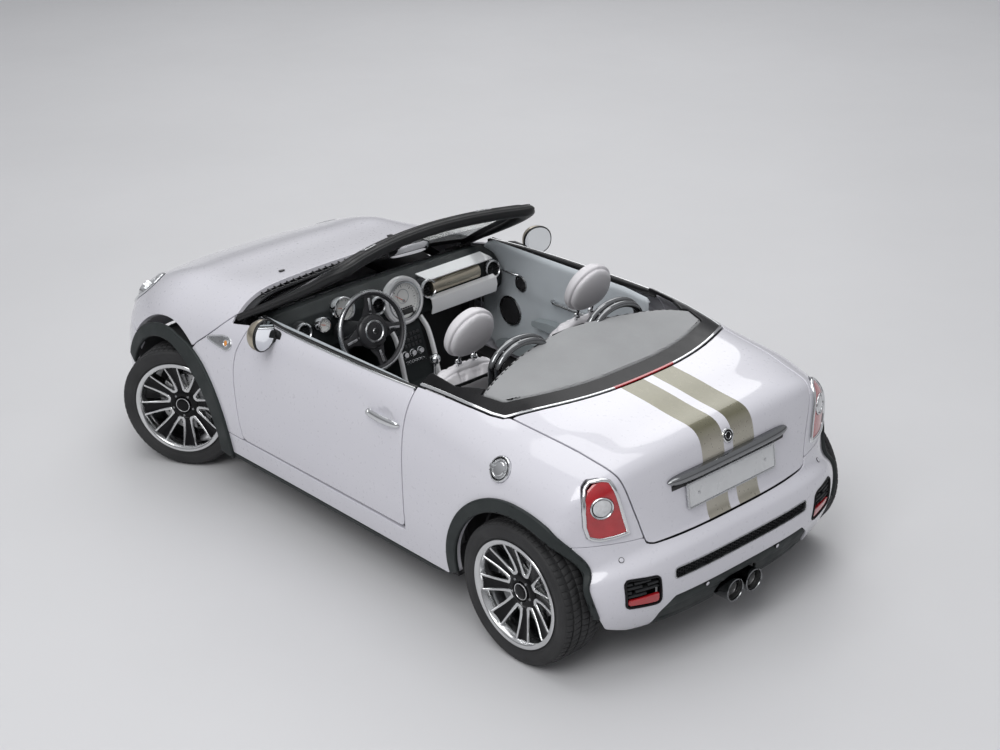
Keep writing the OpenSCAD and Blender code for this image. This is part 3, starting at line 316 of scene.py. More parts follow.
TAIL_LAMP = [(541, 620), (600, 612), (660, 612), (698, 628), (712, 680), (712, 740), (703, 792), (684, 826),
    (658, 846), (626, 853), (596, 850), (584, 810), (570, 750), (556, 690)]
SLOT = rounded([(-396, 398), (396, 398), (396, 446), (-396, 446)], 16)
VENT = rounded([(451, 307), (612, 327), (622, 460), (466, 443)], 26)
FOOT = rounded([(-900, 0), (-900, 262), (-700, 262), (-653, 225), (-560, 190), (-463, 190), (-445, 257), (-385, 314),
    (385, 314), (445, 257), (463, 190), (560, 190), (653, 225), (700, 262), (900, 262), (900, 0)], 12)
# Edges of the arch trims: angle about the axle, 180 at the rear, and the distance past ARCH_R
FRONT_OPENING = [(-60, 0), (133, 0), (163, 28), (185, 60), (240, 100)]
FRONT_TRIM = [(-60, 84), (40, 76), (75, 66), (105, 67), (120, 90), (135, 109), (157, 123), (178, 144), (240, 212)]
REAR_TRIM = [(-60, 60), (60, 59), (93, 58), (117, 60), (137, 32), (160, 20), (189, 19), (240, 24)]
MOUTH = rounded([(-330, 470), (-395, 560), (-360, 600), (360, 600), (395, 560), (330, 470)], 24)
INTAKE = rounded([(-430, 262), (-470, 380), (470, 380), (430, 262)], 24)
LAMP = [(560 + 0.92 * 98 * math.cos(a), 700 + 1.08 * 98 * math.sin(a)) for a in np.linspace(0, 2 * math.pi, 49)[:-1]]
FILLER = np.array([-1270, 778, 810.0])
FILLER_LEAN = math.radians(-60)
HANDLE = np.array([-575, 799, 800.0])


# ------------------------------------------------------------------ mesh tools
def panel_mesh(inside, u, v, thick=12.0, hem=2.6, cell=13.0, inset=0.0, shape=None):
    """A pressed panel cut from the skin where inside(points) < 0.

    Its rim turns in with a rounded edge. Returns points, faces and a normal for each corner.
    """
    place = (lambda a, b: skin(a, b, inset)) if shape is None else (lambda a, b: shape(a, b, skin(a, b, inset)))
    # rows and columns about one cell apart
    uu = np.linspace(u[0], u[1], 700)
    run = np.zeros(700)
    for q in (0.0, 0.35, 0.75):
        if v[0] <= q <= v[1] or v[0] <= -q <= v[1] or q == 0.35:
            p = place(uu, np.full(700, q))
            run = np.maximum(run, np.concatenate([[0], np.cumsum(np.linalg.norm(np.diff(p, axis=0), axis=1))]))
    nu = max(4, int(run[-1] / cell))
    us = np.interp(np.linspace(0, run[-1], nu + 1), run, uu)
    vv = np.linspace(v[0], v[1], 500)
    p = place(us[:, None], vv[None, :])
    arc = np.concatenate([np.zeros((nu + 1, 1)), np.cumsum(np.linalg.norm(np.diff(p, axis=1), axis=2), axis=1)], 1)
    nv = max(4, int(arc[:, -1].max() / cell))
    vs = np.stack([np.interp(np.linspace(0, a[-1], nv + 1), a, vv) for a in arc])
    U = np.repeat(us[:, None], nv + 1, 1)
    V = vs.copy()
    S = inside(place(U, V))
    # move grid points that lie near the cut on to it
    idx = lambda i, j: i * (nv + 1) + j
    Uf, Vf, Sf = U.ravel().copy(), V.ravel().copy(), S.ravel().copy()

    def cut(a, b):
        """Parameters where the cut crosses from points a to points b."""
        lo, hi = np.zeros(len(a)), np.ones(len(a))
        sa = Sf[a]
        t = sa / (sa - Sf[b])
        for _ in range(5):
            m = inside(place(Uf[a] + (Uf[b] - Uf[a]) * t, Vf[a] + (Vf[b] - Vf[a]) * t))
            same = np.sign(m) == np.sign(sa)
            lo, hi = np.where(same, t, lo), np.where(same, hi, t)
            t = (lo + hi) / 2
        return t
    I, J = np.meshgrid(np.arange(nu + 1), np.arange(nv + 1), indexing="ij")
    ea = np.concatenate([idx(I[:-1], J[:-1]).ravel(), idx(I[:, :-1], J[:, :-1]).ravel()])
    eb = np.concatenate([idx(I[1:], J[1:]).ravel(), idx(I[:, 1:], J[:, 1:]).ravel()])
    cross = np.where((Sf[ea] < 0) != (Sf[eb] < 0))[0]
    if len(cross):
        t = cut(ea[cross], eb[cross])
        best = {}
        for k, tt in zip(cross, t):
            for n, share in ((ea[k], tt), (eb[k], 1 - tt)):
                if share < 0.4 and (n not in best or share < best[n][0]):
                    best[n] = (share, k, tt)
        newU, newV = Uf.copy(), Vf.copy()
        for n, (share, k, tt) in best.items():
            a, b = ea[k], eb[k]
            newU[n] = Uf[a] + (Uf[b] - Uf[a]) * tt
            newV[n] = Vf[a] + (Vf[b] - Vf[a]) * tt
        Uf, Vf = newU, newV
        Sf = Sf.copy()
        Sf[list(best)] = 0.0
    pts_u, pts_v = list(Uf), list(Vf)
    keep = Sf <= 0
    c0 = idx(I[:-1, :-1], J[:-1, :-1]).ravel()
    quads = np.stack([c0, c0 + 1, c0 + nv + 2, c0 + nv + 1], 1)
    full = keep[quads].all(1)
    strict = (Sf[quads] < 0).any(1)
    faces = [tuple(q) for q in quads[full & strict]]
    part = quads[~full & strict]
    made = {}

    def crossing(a, b):
        key = (min(a, b), max(a, b))
        if key not in made:
            t = float(cut(np.array([a]), np.array([b]))[0])
            made[key] = len(pts_u)
            pts_u.append(Uf[a] + (Uf[b] - Uf[a]) * t)
            pts_v.append(Vf[a] + (Vf[b] - Vf[a]) * t)
        return made[key]
    for q in part:
        poly = []
        for a, b in zip(q, np.roll(q, -1)):
            if Sf[a] <= 0:
                poly.append(int(a))
            if (Sf[a] < 0 < Sf[b]) or (Sf[b] < 0 < Sf[a]):
                poly.append(crossing(int(a), int(b)))
        poly = [k for i, k in enumerate(poly) if k != poly[i - 1]]
        if len(poly) > 2:
            faces.append(tuple(poly))
    used = np.unique(np.concatenate([np.array(f) for f in faces]))
    remap = {int(o): i for i, o in enumerate(used)}
    faces = [tuple(remap[int(k)] for k in f) for f in faces]
    pu, pv = np.array(pts_u)[used], np.array(pts_v)[used]
    P = place(pu, pv)
    if shape is None:
        N = skin_normal(pu, pv, inset)
    else:
        e = 0.01
        n = np.cross(place(pu, pv + e * 0.3) - place(pu, pv - e * 0.3), place(pu + e, pv) - place(pu - e, pv))
        N = n / (np.linalg.norm(n, axis=1, keepdims=True) + 1e-12)
        N *= np.sign(np.sum(N * skin_normal(pu, pv, inset), 1, keepdims=True))
    # all faces look outwards
    out = []
    for f in faces:
        n = np.cross(P[f[1]] - P[f[0]], P[f[2]] - P[f[0]])
        if len(f) > 3:
            n = n + np.cross(P[f[2]] - P[f[0]], P[f[3]] - P[f[0]])
        out.append(f if n @ N[f[0]] > 0 else f[::-1])
    faces = out
    edges = {}
    for f in faces:
        for a, b in zip(f, f[1:] + f[:1]):
            edges[(a, b)] = 1
    rim = [(a, b) for a, b in edges if (b, a) not in edges]
    T = np.zeros_like(P)
    for a, b in rim:
        d = P[b] - P[a]
        d /= np.linalg.norm(d) + 1e-9
        for k in (a, b):
            t = np.cross(d, N[k])
            T[k] += t / (np.linalg.norm(t) + 1e-9)
    on_rim = np.array(sorted({k for e in rim for k in e}), int)
    T[on_rim] /= np.linalg.norm(T[on_rim], axis=1, keepdims=True) + 1e-9
    pts, normals, poly = [P.copy()], [], []
    pts[0][on_rim] -= hem * T[on_rim]
    ring = {k: i for i, k in enumerate(on_rim)}
    n0 = len(P)
    steps = [35, 65, 90]
    for a in steps:
        s, c = math.sin(math.radians(a)), math.cos(math.radians(a))
        pts.append(P[on_rim] - hem * (1 - s) * T[on_rim] - hem * (1 - c) * N[on_rim])
    pts.append(P - thick * N)
    inner = n0 + len(on_rim) * len(steps)
    for f in faces:
        poly.append(f)
        normals.extend(N[list(f)])
    ringn = [N[on_rim]] + [math.sin(math.radians(a)) * T[on_rim] + math.cos(math.radians(a)) * N[on_rim] for a in steps]
    level = lambda k, q: k if q == 0 else n0 + (q - 1) * len(on_rim) + ring[k]
    for a, b in rim:
        for q in range(len(steps)):
            poly.append((level(a, q), level(a, q + 1), level(b, q + 1), level(b, q)))
            normals.extend([ringn[q][ring[a]], ringn[q + 1][ring[a]], ringn[q + 1][ring[b]], ringn[q][ring[b]]])
        poly.append((level(a, 3), inner + a, inner + b, level(b, 3)))
        normals.extend([T[a], T[a], T[b], T[b]])
    for f in faces:
        g = f[::-1]
        poly.append(tuple(inner + k for k in g))
        normals.extend(-N[list(g)])
    return np.concatenate(pts), poly, np.array(normals)


def mirrored(geo):
    """The same mesh on the other side of the car."""
    p, f, n = geo
    q = p * np.array([1, -1, 1])
    out, normals, k = [], [], 0
    for face in f:
        m = len(face)
        out.append(face[::-1])
        if n is not None:
            normals.extend((n[k:k + m] * np.array([1, -1, 1]))[::-1])
        k += m
    return q, out, (np.array(normals) if n is not None else None)


class Kit:
    """Collects meshes in millimetres that become one piece."""

    def __init__(self):
        self.points, self.faces, self.mats, self.normals = [], [], [], []
        self.count = 0

    def add(self, geo, mat=0, place=None, flip=False):
        p, f = np.asarray(geo[0], float), geo[1]
        n = geo[2] if len(geo) > 2 else None
        if place is not None:
            m = np.array(place)
            p = p @ m[:3, :3].T + m[:3, 3]
            if n is not None:
                n = n @ m[:3, :3].T
        if flip:
            p, f, n = mirrored((p, f, n))
        self.points.append(p)
        self.faces.extend([tuple(int(k) + self.count for k in face) for face in f])
        self.mats.extend([mat] * len(f))
        corners = sum(len(face) for face in f)
        self.normals.append(n if n is not None else np.zeros((corners, 3)))
        self.count += len(p)
        return self

    def piece(self, name, mats, body, slot, nodes=(), angle=38):
        p = np.concatenate(self.points) / 1000
        mesh = bpy.data.meshes.new(name)
        mesh.from_pydata(p.tolist(), [], self.faces)
        for m in mats:
            mesh.materials.append(finish(m))
        mesh.polygons.foreach_set("material_index", self.mats)
        mesh.polygons.foreach_set("use_smooth", [True] * len(self.faces))
        mesh.set_sharp_from_angle(angle=math.radians(angle))
        n = np.concatenate(self.normals)
        if np.abs(n).max() > 0:
            mesh.normals_split_custom_set(n.tolist())
        obj = bpy.data.objects.new(name, mesh)
        bpy.context.scene.collection.objects.link(obj)
        return settle(obj, body, slot, nodes)


def settle(obj, body, slot, nodes=()):
    """The piece rides on its body, and stands for the named nodes."""
    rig.ride(obj, body)
    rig.slot(obj, slot)
    if nodes:
        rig.replaces(obj, *nodes)
    return obj


def placed(x=0, y=0, z=0, rx=0, ry=0, rz=0):
    """Turned about x, then y, then z in degrees, and moved."""
    r = math.radians
    return Matrix.Translation((x, y, z)) @ Matrix.Rotation(r(rz), 4, "Z") @ Matrix.Rotation(r(ry), 4,
        "Y") @ Matrix.Rotation(r(rx), 4, "X")


def lathe(profile, n=64, start=0.0, sweep=360.0):
    """A profile of (radius, height) turned about Z. The profile runs with the solid on its left."""
    prof = np.asarray(profile, float)
    whole = sweep >= 360
    m = n if whole else n + 1
    a = np.radians(start + sweep * np.arange(m) / n)
    p = np.stack([prof[None, :, 0] * np.cos(a)[:, None], prof[None, :, 0] * np.sin(a)[:, None],
        np.repeat(prof[None, :, 1], m, 0)], -1).reshape(-1, 3)
    k = len(prof)
    f = []
    for i in range(n):
        j = (i + 1) % m
        for q in range(k - 1):
            ring = (i * k + q, j * k + q, j * k + q + 1, i * k + q + 1)
            if prof[q, 0] < 1e-6:
                ring = (ring[0], ring[2], ring[3])
            elif prof[q + 1, 0] < 1e-6:
                ring = (ring[0], ring[1], ring[2])
            f.append(ring)
    return tidy(p, f)


def tidy(p, f, closed=True):
    """Merges doubles and turns the faces outwards."""
    bm = bmesh.new()
    vs = [bm.verts.new(q) for q in p]
    for face in f:
        try:
            bm.faces.new([vs[k] for k in face])
        except ValueError:
            pass
    bmesh.ops.remove_doubles(bm, verts=bm.verts, dist=0.02)
    if closed:
        bmesh.ops.recalc_face_normals(bm, faces=bm.faces)
    return from_bm(bm)


def from_bm(bm):
    bm.verts.index_update()
    p = np.array([v.co[:] for v in bm.verts]).reshape(-1, 3)
    f = [tuple(v.index for v in face.verts) for face in bm.faces]
    bm.free()
    return p, f


def rbox(a, b, r=3.0, seg=3):
    """A box between two corners with rounded edges."""
    a, b = np.minimum(a, b), np.maximum(a, b)
    bm = bmesh.new()
    bmesh.ops.create_cube(bm, size=1.0)
    for v in bm.verts:
        v.co = Vector([(a[k] + b[k]) / 2 + v.co[k] * (b[k] - a[k]) for k in range(3)])
    r = min(r, *(0.49 * (b - a)))
    bmesh.ops.bevel(bm, geom=bm.edges[:], offset=r, segments=seg, profile=0.5, affect="EDGES")
    return from_bm(bm)


def plate(poly, z0, z1, r=1.0, seg=2):
    """An outline raised from z0 to z1 with softened edges."""
    bm = bmesh.new()
    vs = [bm.verts.new((x, y, z0)) for x, y in poly]
    face = bm.faces.new(vs)
    ext = bmesh.ops.extrude_face_region(bm, geom=[face])
    for v in [g for g in ext["geom"] if isinstance(g, bmesh.types.BMVert)]:
        v.co.z = z1
    bmesh.ops.recalc_face_normals(bm, faces=bm.faces)
    if r > 0:
        caps = [e for e in bm.edges if abs(e.verts[0].co.z - e.verts[1].co.z) < 1e-6]
        bmesh.ops.bevel(bm, geom=caps, offset=r, segments=seg, profile=0.5, affect="EDGES")
    return from_bm(bm)


def smooth_path(points, n):
    """A smooth curve through the points."""
    p = np.asarray(points, float)
    t = np.concatenate([[0], np.cumsum(np.sqrt(np.linalg.norm(np.diff(p, axis=0), axis=1)))])
    q = np.linspace(0, t[-1], n)
    m = np.zeros_like(p)
    m[1:-1] = (p[2:] - p[:-2]) / (t[2:] - t[:-2])[:, None]
    m[0], m[-1] = (p[1] - p[0]) / (t[1] - t[0]), (p[-1] - p[-2]) / (t[-1] - t[-2])
    i = np.clip(np.searchsorted(t, q, side="right") - 1, 0, len(t) - 2)
    h = (t[i + 1] - t[i])[:, None]
    s = ((q - t[i]) / (t[i + 1] - t[i]))[:, None]
    return ((2 * s ** 3 - 3 * s ** 2 + 1) * p[i] + (s ** 3 - 2 * s ** 2 + s) * h * m[i]
        + (-2 * s ** 3 + 3 * s ** 2) * p[i + 1] + (s ** 3 - s ** 2) * h * m[i + 1])


def tube(path, wide, thick=None, n=12, up=None, closed=False, power=2.0):
    """A tube of oval section along a path; wide and thick are half sizes, numbers or lists."""
    path = np.asarray(path, float)
    k = len(path)
    wide = np.broadcast_to(np.asarray(wide, float), (k,))
    thick = wide if thick is None else np.broadcast_to(np.asarray(thick, float), (k,))
    nxt = np.roll(path, -1, 0) if closed else np.concatenate([path[1:], path[-1:]])
    prv = np.roll(path, 1, 0) if closed else np.concatenate([path[:1], path[:-1]])
    t = nxt - prv
    t /= np.linalg.norm(t, axis=1, keepdims=True) + 1e-12
    frames = []
    if up is None:
        s = np.cross(t[0], [0, 0, 1.0] if abs(t[0][2]) < 0.9 else [1.0, 0, 0])
        for i in range(k):
            s = s - t[i] * (s @ t[i])
            s /= np.linalg.norm(s)
            frames.append((s.copy(), np.cross(t[i], s)))
    else:
        up = np.broadcast_to(np.asarray(up, float), (k, 3))
        for i in range(k):
            s = np.cross(up[i], t[i])
            s /= np.linalg.norm(s) + 1e-12
            frames.append((s, np.cross(t[i], s)))
    a = 2 * np.pi * (np.arange(n) + 0.5) / n
    ca, sa = np.sign(np.cos(a)) * np.abs(np.cos(a)) ** (2 / power), np.sign(np.sin(a)) * np.abs(np.sin(a)) ** (2
        / power)
    p = np.concatenate([path[i] + wide[i] * ca[:, None] * frames[i][0] + thick[i] * sa[:, None] * frames[i][1]
        for i in range(k)])
    f = []
    for i in range(k if closed else k - 1):
        j = (i + 1) % k
        for q in range(n):
            b = (q + 1) % n
            f.append((i * n + q, i * n + b, j * n + b, j * n + q))
    if not closed:
        f.append(tuple(range(n))[::-1])
        f.append(tuple((k - 1) * n + q for q in range(n)))
    return p, f


def grid(points):
    """A sheet from rows of points."""
    g = np.asarray(points, float)
    m, n = g.shape[:2]
    return g.reshape(-1, 3), [(i * n + j, i * n + j + 1, (i + 1) * n + j + 1, (i + 1) * n + j)
        for i in range(m - 1) for j in range(n - 1)]


def shell(points, thick):
    """A closed sheet of even thickness from rows of points; it grows against its normals."""
    g = np.asarray(points, float)
    du, dv = np.gradient(g, axis=0), np.gradient(g, axis=1)
    n = np.cross(du, dv)
    n /= np.linalg.norm(n, axis=2, keepdims=True) + 1e-12
    p0, f = grid(g)
    p1 = (g - n * thick).reshape(-1, 3)
    m, k = g.shape[:2]
    c = m * k
    faces = list(f) + [tuple(c + q for q in face[::-1]) for face in f]
    edge = ([(j, j + 1) for j in range(k - 1)] + [((i * k + k - 1), (i + 1) * k + k - 1) for i in range(m - 1)]
        + [((m - 1) * k + j + 1, (m - 1) * k + j) for j in range(k - 2, -1, -1)] + [((i + 1) * k, i * k)
        for i in range(m - 2, -1, -1)])
    faces += [(b, a, c + a, c + b) for a, b in edge]
    return tidy(np.concatenate([p0, p1]), faces)


# ------------------------------------------------------------------ finishes
class Nodes:
    """A short way to wire a material's nodes."""

    def __init__(self, name, base, rough=0.5, metallic=0.0, **sockets):
        self.mat = bpy.data.materials.new(name)
        self.mat.use_nodes = True
        self.tree = self.mat.node_tree
        self.bsdf = self.tree.nodes["Principled BSDF"]
        self.base, self.rough = base, rough
        self.set(self.bsdf, {"Base Color": (*base, 1), "Roughness": rough, "Metallic": metallic, **sockets})
        self.coords = self.node("ShaderNodeTexCoord").outputs["Object"]
        self.bump = None

    def set(self, node, values):
        for k, v in values.items():
            node.inputs[k].default_value = v

    def node(self, kind, props=None, **links):
        n = self.tree.nodes.new(kind)
        for k, v in (props or {}).items():
            if k in n.inputs and not hasattr(n, k):
                n.inputs[k].default_value = v
            else:
                setattr(n, k, v)
        for k, v in links.items():
            self.tree.links.new(v, n.inputs[k.replace("_", " ") if k.replace("_", " ") in n.inputs else k])
        return n

    def link(self, a, b):
        self.tree.links.new(a, b)

    def noise(self, scale, detail=3.0, stretch=None):
        vec = self.coords
        if stretch:
            m = self.node("ShaderNodeMapping", Vector=vec)
            m.inputs["Scale"].default_value = stretch
            vec = m.outputs[0]
        n = self.node("ShaderNodeTexNoise", Vector=vec)
        n.inputs["Scale"].default_value = scale
        n.inputs["Detail"].default_value = detail
        return n.outputs["Fac"]

    def spread(self, fac, lo, hi, a=0.3, b=0.7):
        r = self.node("ShaderNodeMapRange", Value=fac)
        for i, v in enumerate((a, b, lo, hi)):
            r.inputs[i + 1].default_value = v
        return r.outputs[0]

    def colour(self, fac, a, b):
        m = self.node("ShaderNodeMix", {"data_type": "RGBA"})
        self.link(fac, m.inputs[0])
        for socket, c in ((m.inputs[6], a), (m.inputs[7], b)):
            if isinstance(c, tuple):
                socket.default_value = (*c, 1)
            else:
                self.link(c, socket)
        return m.outputs[2]

    def vary(self, scale=6.0, share=0.06, stretch=None):
        """The base colour wanders a little over the surface."""
        lo, hi = (tuple(c * (1 - share) for c in self.base), tuple(min(1, c * (1 + share)) for c in self.base))
        self.link(self.colour(self.spread(self.noise(scale, 4, stretch), 0, 1), lo, hi), self.bsdf.inputs["Base Color"])
        return self

    def scuff(self, scale=14.0, share=0.2, stretch=None):
        """Roughness with soft patches, as handling leaves it."""
        lo, hi = max(0.02, self.rough * (1 - share)), min(1, self.rough * (1 + share))
        self.link(self.spread(self.noise(scale, 5, stretch), lo, hi), self.bsdf.inputs["Roughness"])
        return self

    def relief(self, height, strength, distance):
        b = self.node("ShaderNodeBump", Height=height)
        b.inputs["Strength"].default_value = strength
        b.inputs["Distance"].default_value = distance
        if self.bump is not None:
            self.link(self.bump, b.inputs["Normal"])
        self.bump = b.outputs[0]
        self.link(self.bump, self.bsdf.inputs["Normal"])
        return self

    def grain(self, scale, strength=0.2, distance=0.0004):
        v = self.node("ShaderNodeTexVoronoi", {"feature": "DISTANCE_TO_EDGE"}, Vector=self.coords)
        v.inputs["Scale"].default_value = scale
        return self.relief(self.spread(v.outputs["Distance"], 0, 1, 0.0, 0.18), strength, distance)

    def mottle(self, scale, strength=0.15, distance=0.0003, stretch=None):
        return self.relief(self.noise(scale, 4, stretch), strength, distance)

    def weave(self, pitch, strength=0.4, distance=0.0003):
        sep = self.node("ShaderNodeSeparateXYZ", Vector=self.coords)
        waves = []
        for k in (0, 1):
            m = self.node("ShaderNodeMath", {"operation": "MULTIPLY"})
            self.link(sep.outputs[k], m.inputs[0])
            m.inputs[1].default_value = 2 * math.pi / pitch
            s = self.node("ShaderNodeMath", {"operation": "SINE"})
            self.link(m.outputs[0], s.inputs[0])
            waves.append(s.outputs[0])
        p = self.node("ShaderNodeMath", {"operation": "MULTIPLY"})
        self.link(waves[0], p.inputs[0])
        self.link(waves[1], p.inputs[1])
        return self.relief(p.outputs[0], strength, distance)


MATS = {}


def finish(name):
    """The named finish, made once."""
    if name not in MATS:
        MATS[name] = FINISHES[name]().mat
    return MATS[name]


def sizes():
    return bpy.context.scene.roadster


def paint(stripes=False):
    s = sizes()
    n = Nodes("Pearl lacquer striped" if stripes else "Pearl lacquer", tuple(s.paint), 0.3,
        **{"Coat Weight": 1.0, "Coat Roughness": 0.04, "Specular IOR Level": 0.45})
    flake = n.node("ShaderNodeTexVoronoi", Vector=n.coords)
    flake.inputs["Scale"].default_value = 420
    pearl = n.colour(n.spread(flake.outputs["Distance"], 0, 1, 0.1, 0.9), tuple(s.paint),
        tuple(c * 0.99 for c in s.paint))
    soft = n.colour(n.spread(n.noise(1.6, 2), 0, 0.5), pearl,
        tuple(c * d for c, d in zip(s.paint, (0.965, 0.96, 0.985))))
    n.link(soft, n.bsdf.inputs["Base Color"])
    n.scuff(60, 0.12)
    if stripes:
        sep = n.node("ShaderNodeSeparateXYZ", Vector=n.coords)
        a = n.node("ShaderNodeMath", {"operation": "ABSOLUTE"})
        n.link(sep.outputs[1], a.inputs[0])
        band = []
        for edge, op in ((s.stripe_in, "GREATER_THAN"), (s.stripe_out, "LESS_THAN")):
            m = n.node("ShaderNodeMath", {"operation": op})
            n.link(a.outputs[0], m.inputs[0])
            m.inputs[1].default_value = edge
            band.append(m.outputs[0])
        both = n.node("ShaderNodeMath", {"operation": "MULTIPLY"})
        n.link(band[0], both.inputs[0])
        n.link(band[1], both.inputs[1])
        olive = n.colour(n.spread(n.noise(90, 2), 0, 1), tuple(s.stripe), tuple(c * 0.95 for c in s.stripe))
        # painted light: below the lid's crown, on its rear face, the stripes take a lighter tan (face); above it they
        # keep their own olive
        up = n.spread(sep.outputs[2], 0, 1, 0.86, 0.905)
        face = n.colour(n.spread(n.noise(5, 2), 0, 1), (0.47, 0.44, 0.37), (0.40, 0.38, 0.31))
        gold = n.colour(up, face, olive)
        n.link(n.colour(both.outputs[0], soft, gold), n.bsdf.inputs["Base Color"])
        m = n.node("ShaderNodeMath", {"operation": "MULTIPLY"})
        n.link(both.outputs[0], m.inputs[0])
        m.inputs[1].default_value = 0.55
        n.link(m.outputs[0], n.bsdf.inputs["Metallic"])
    return n


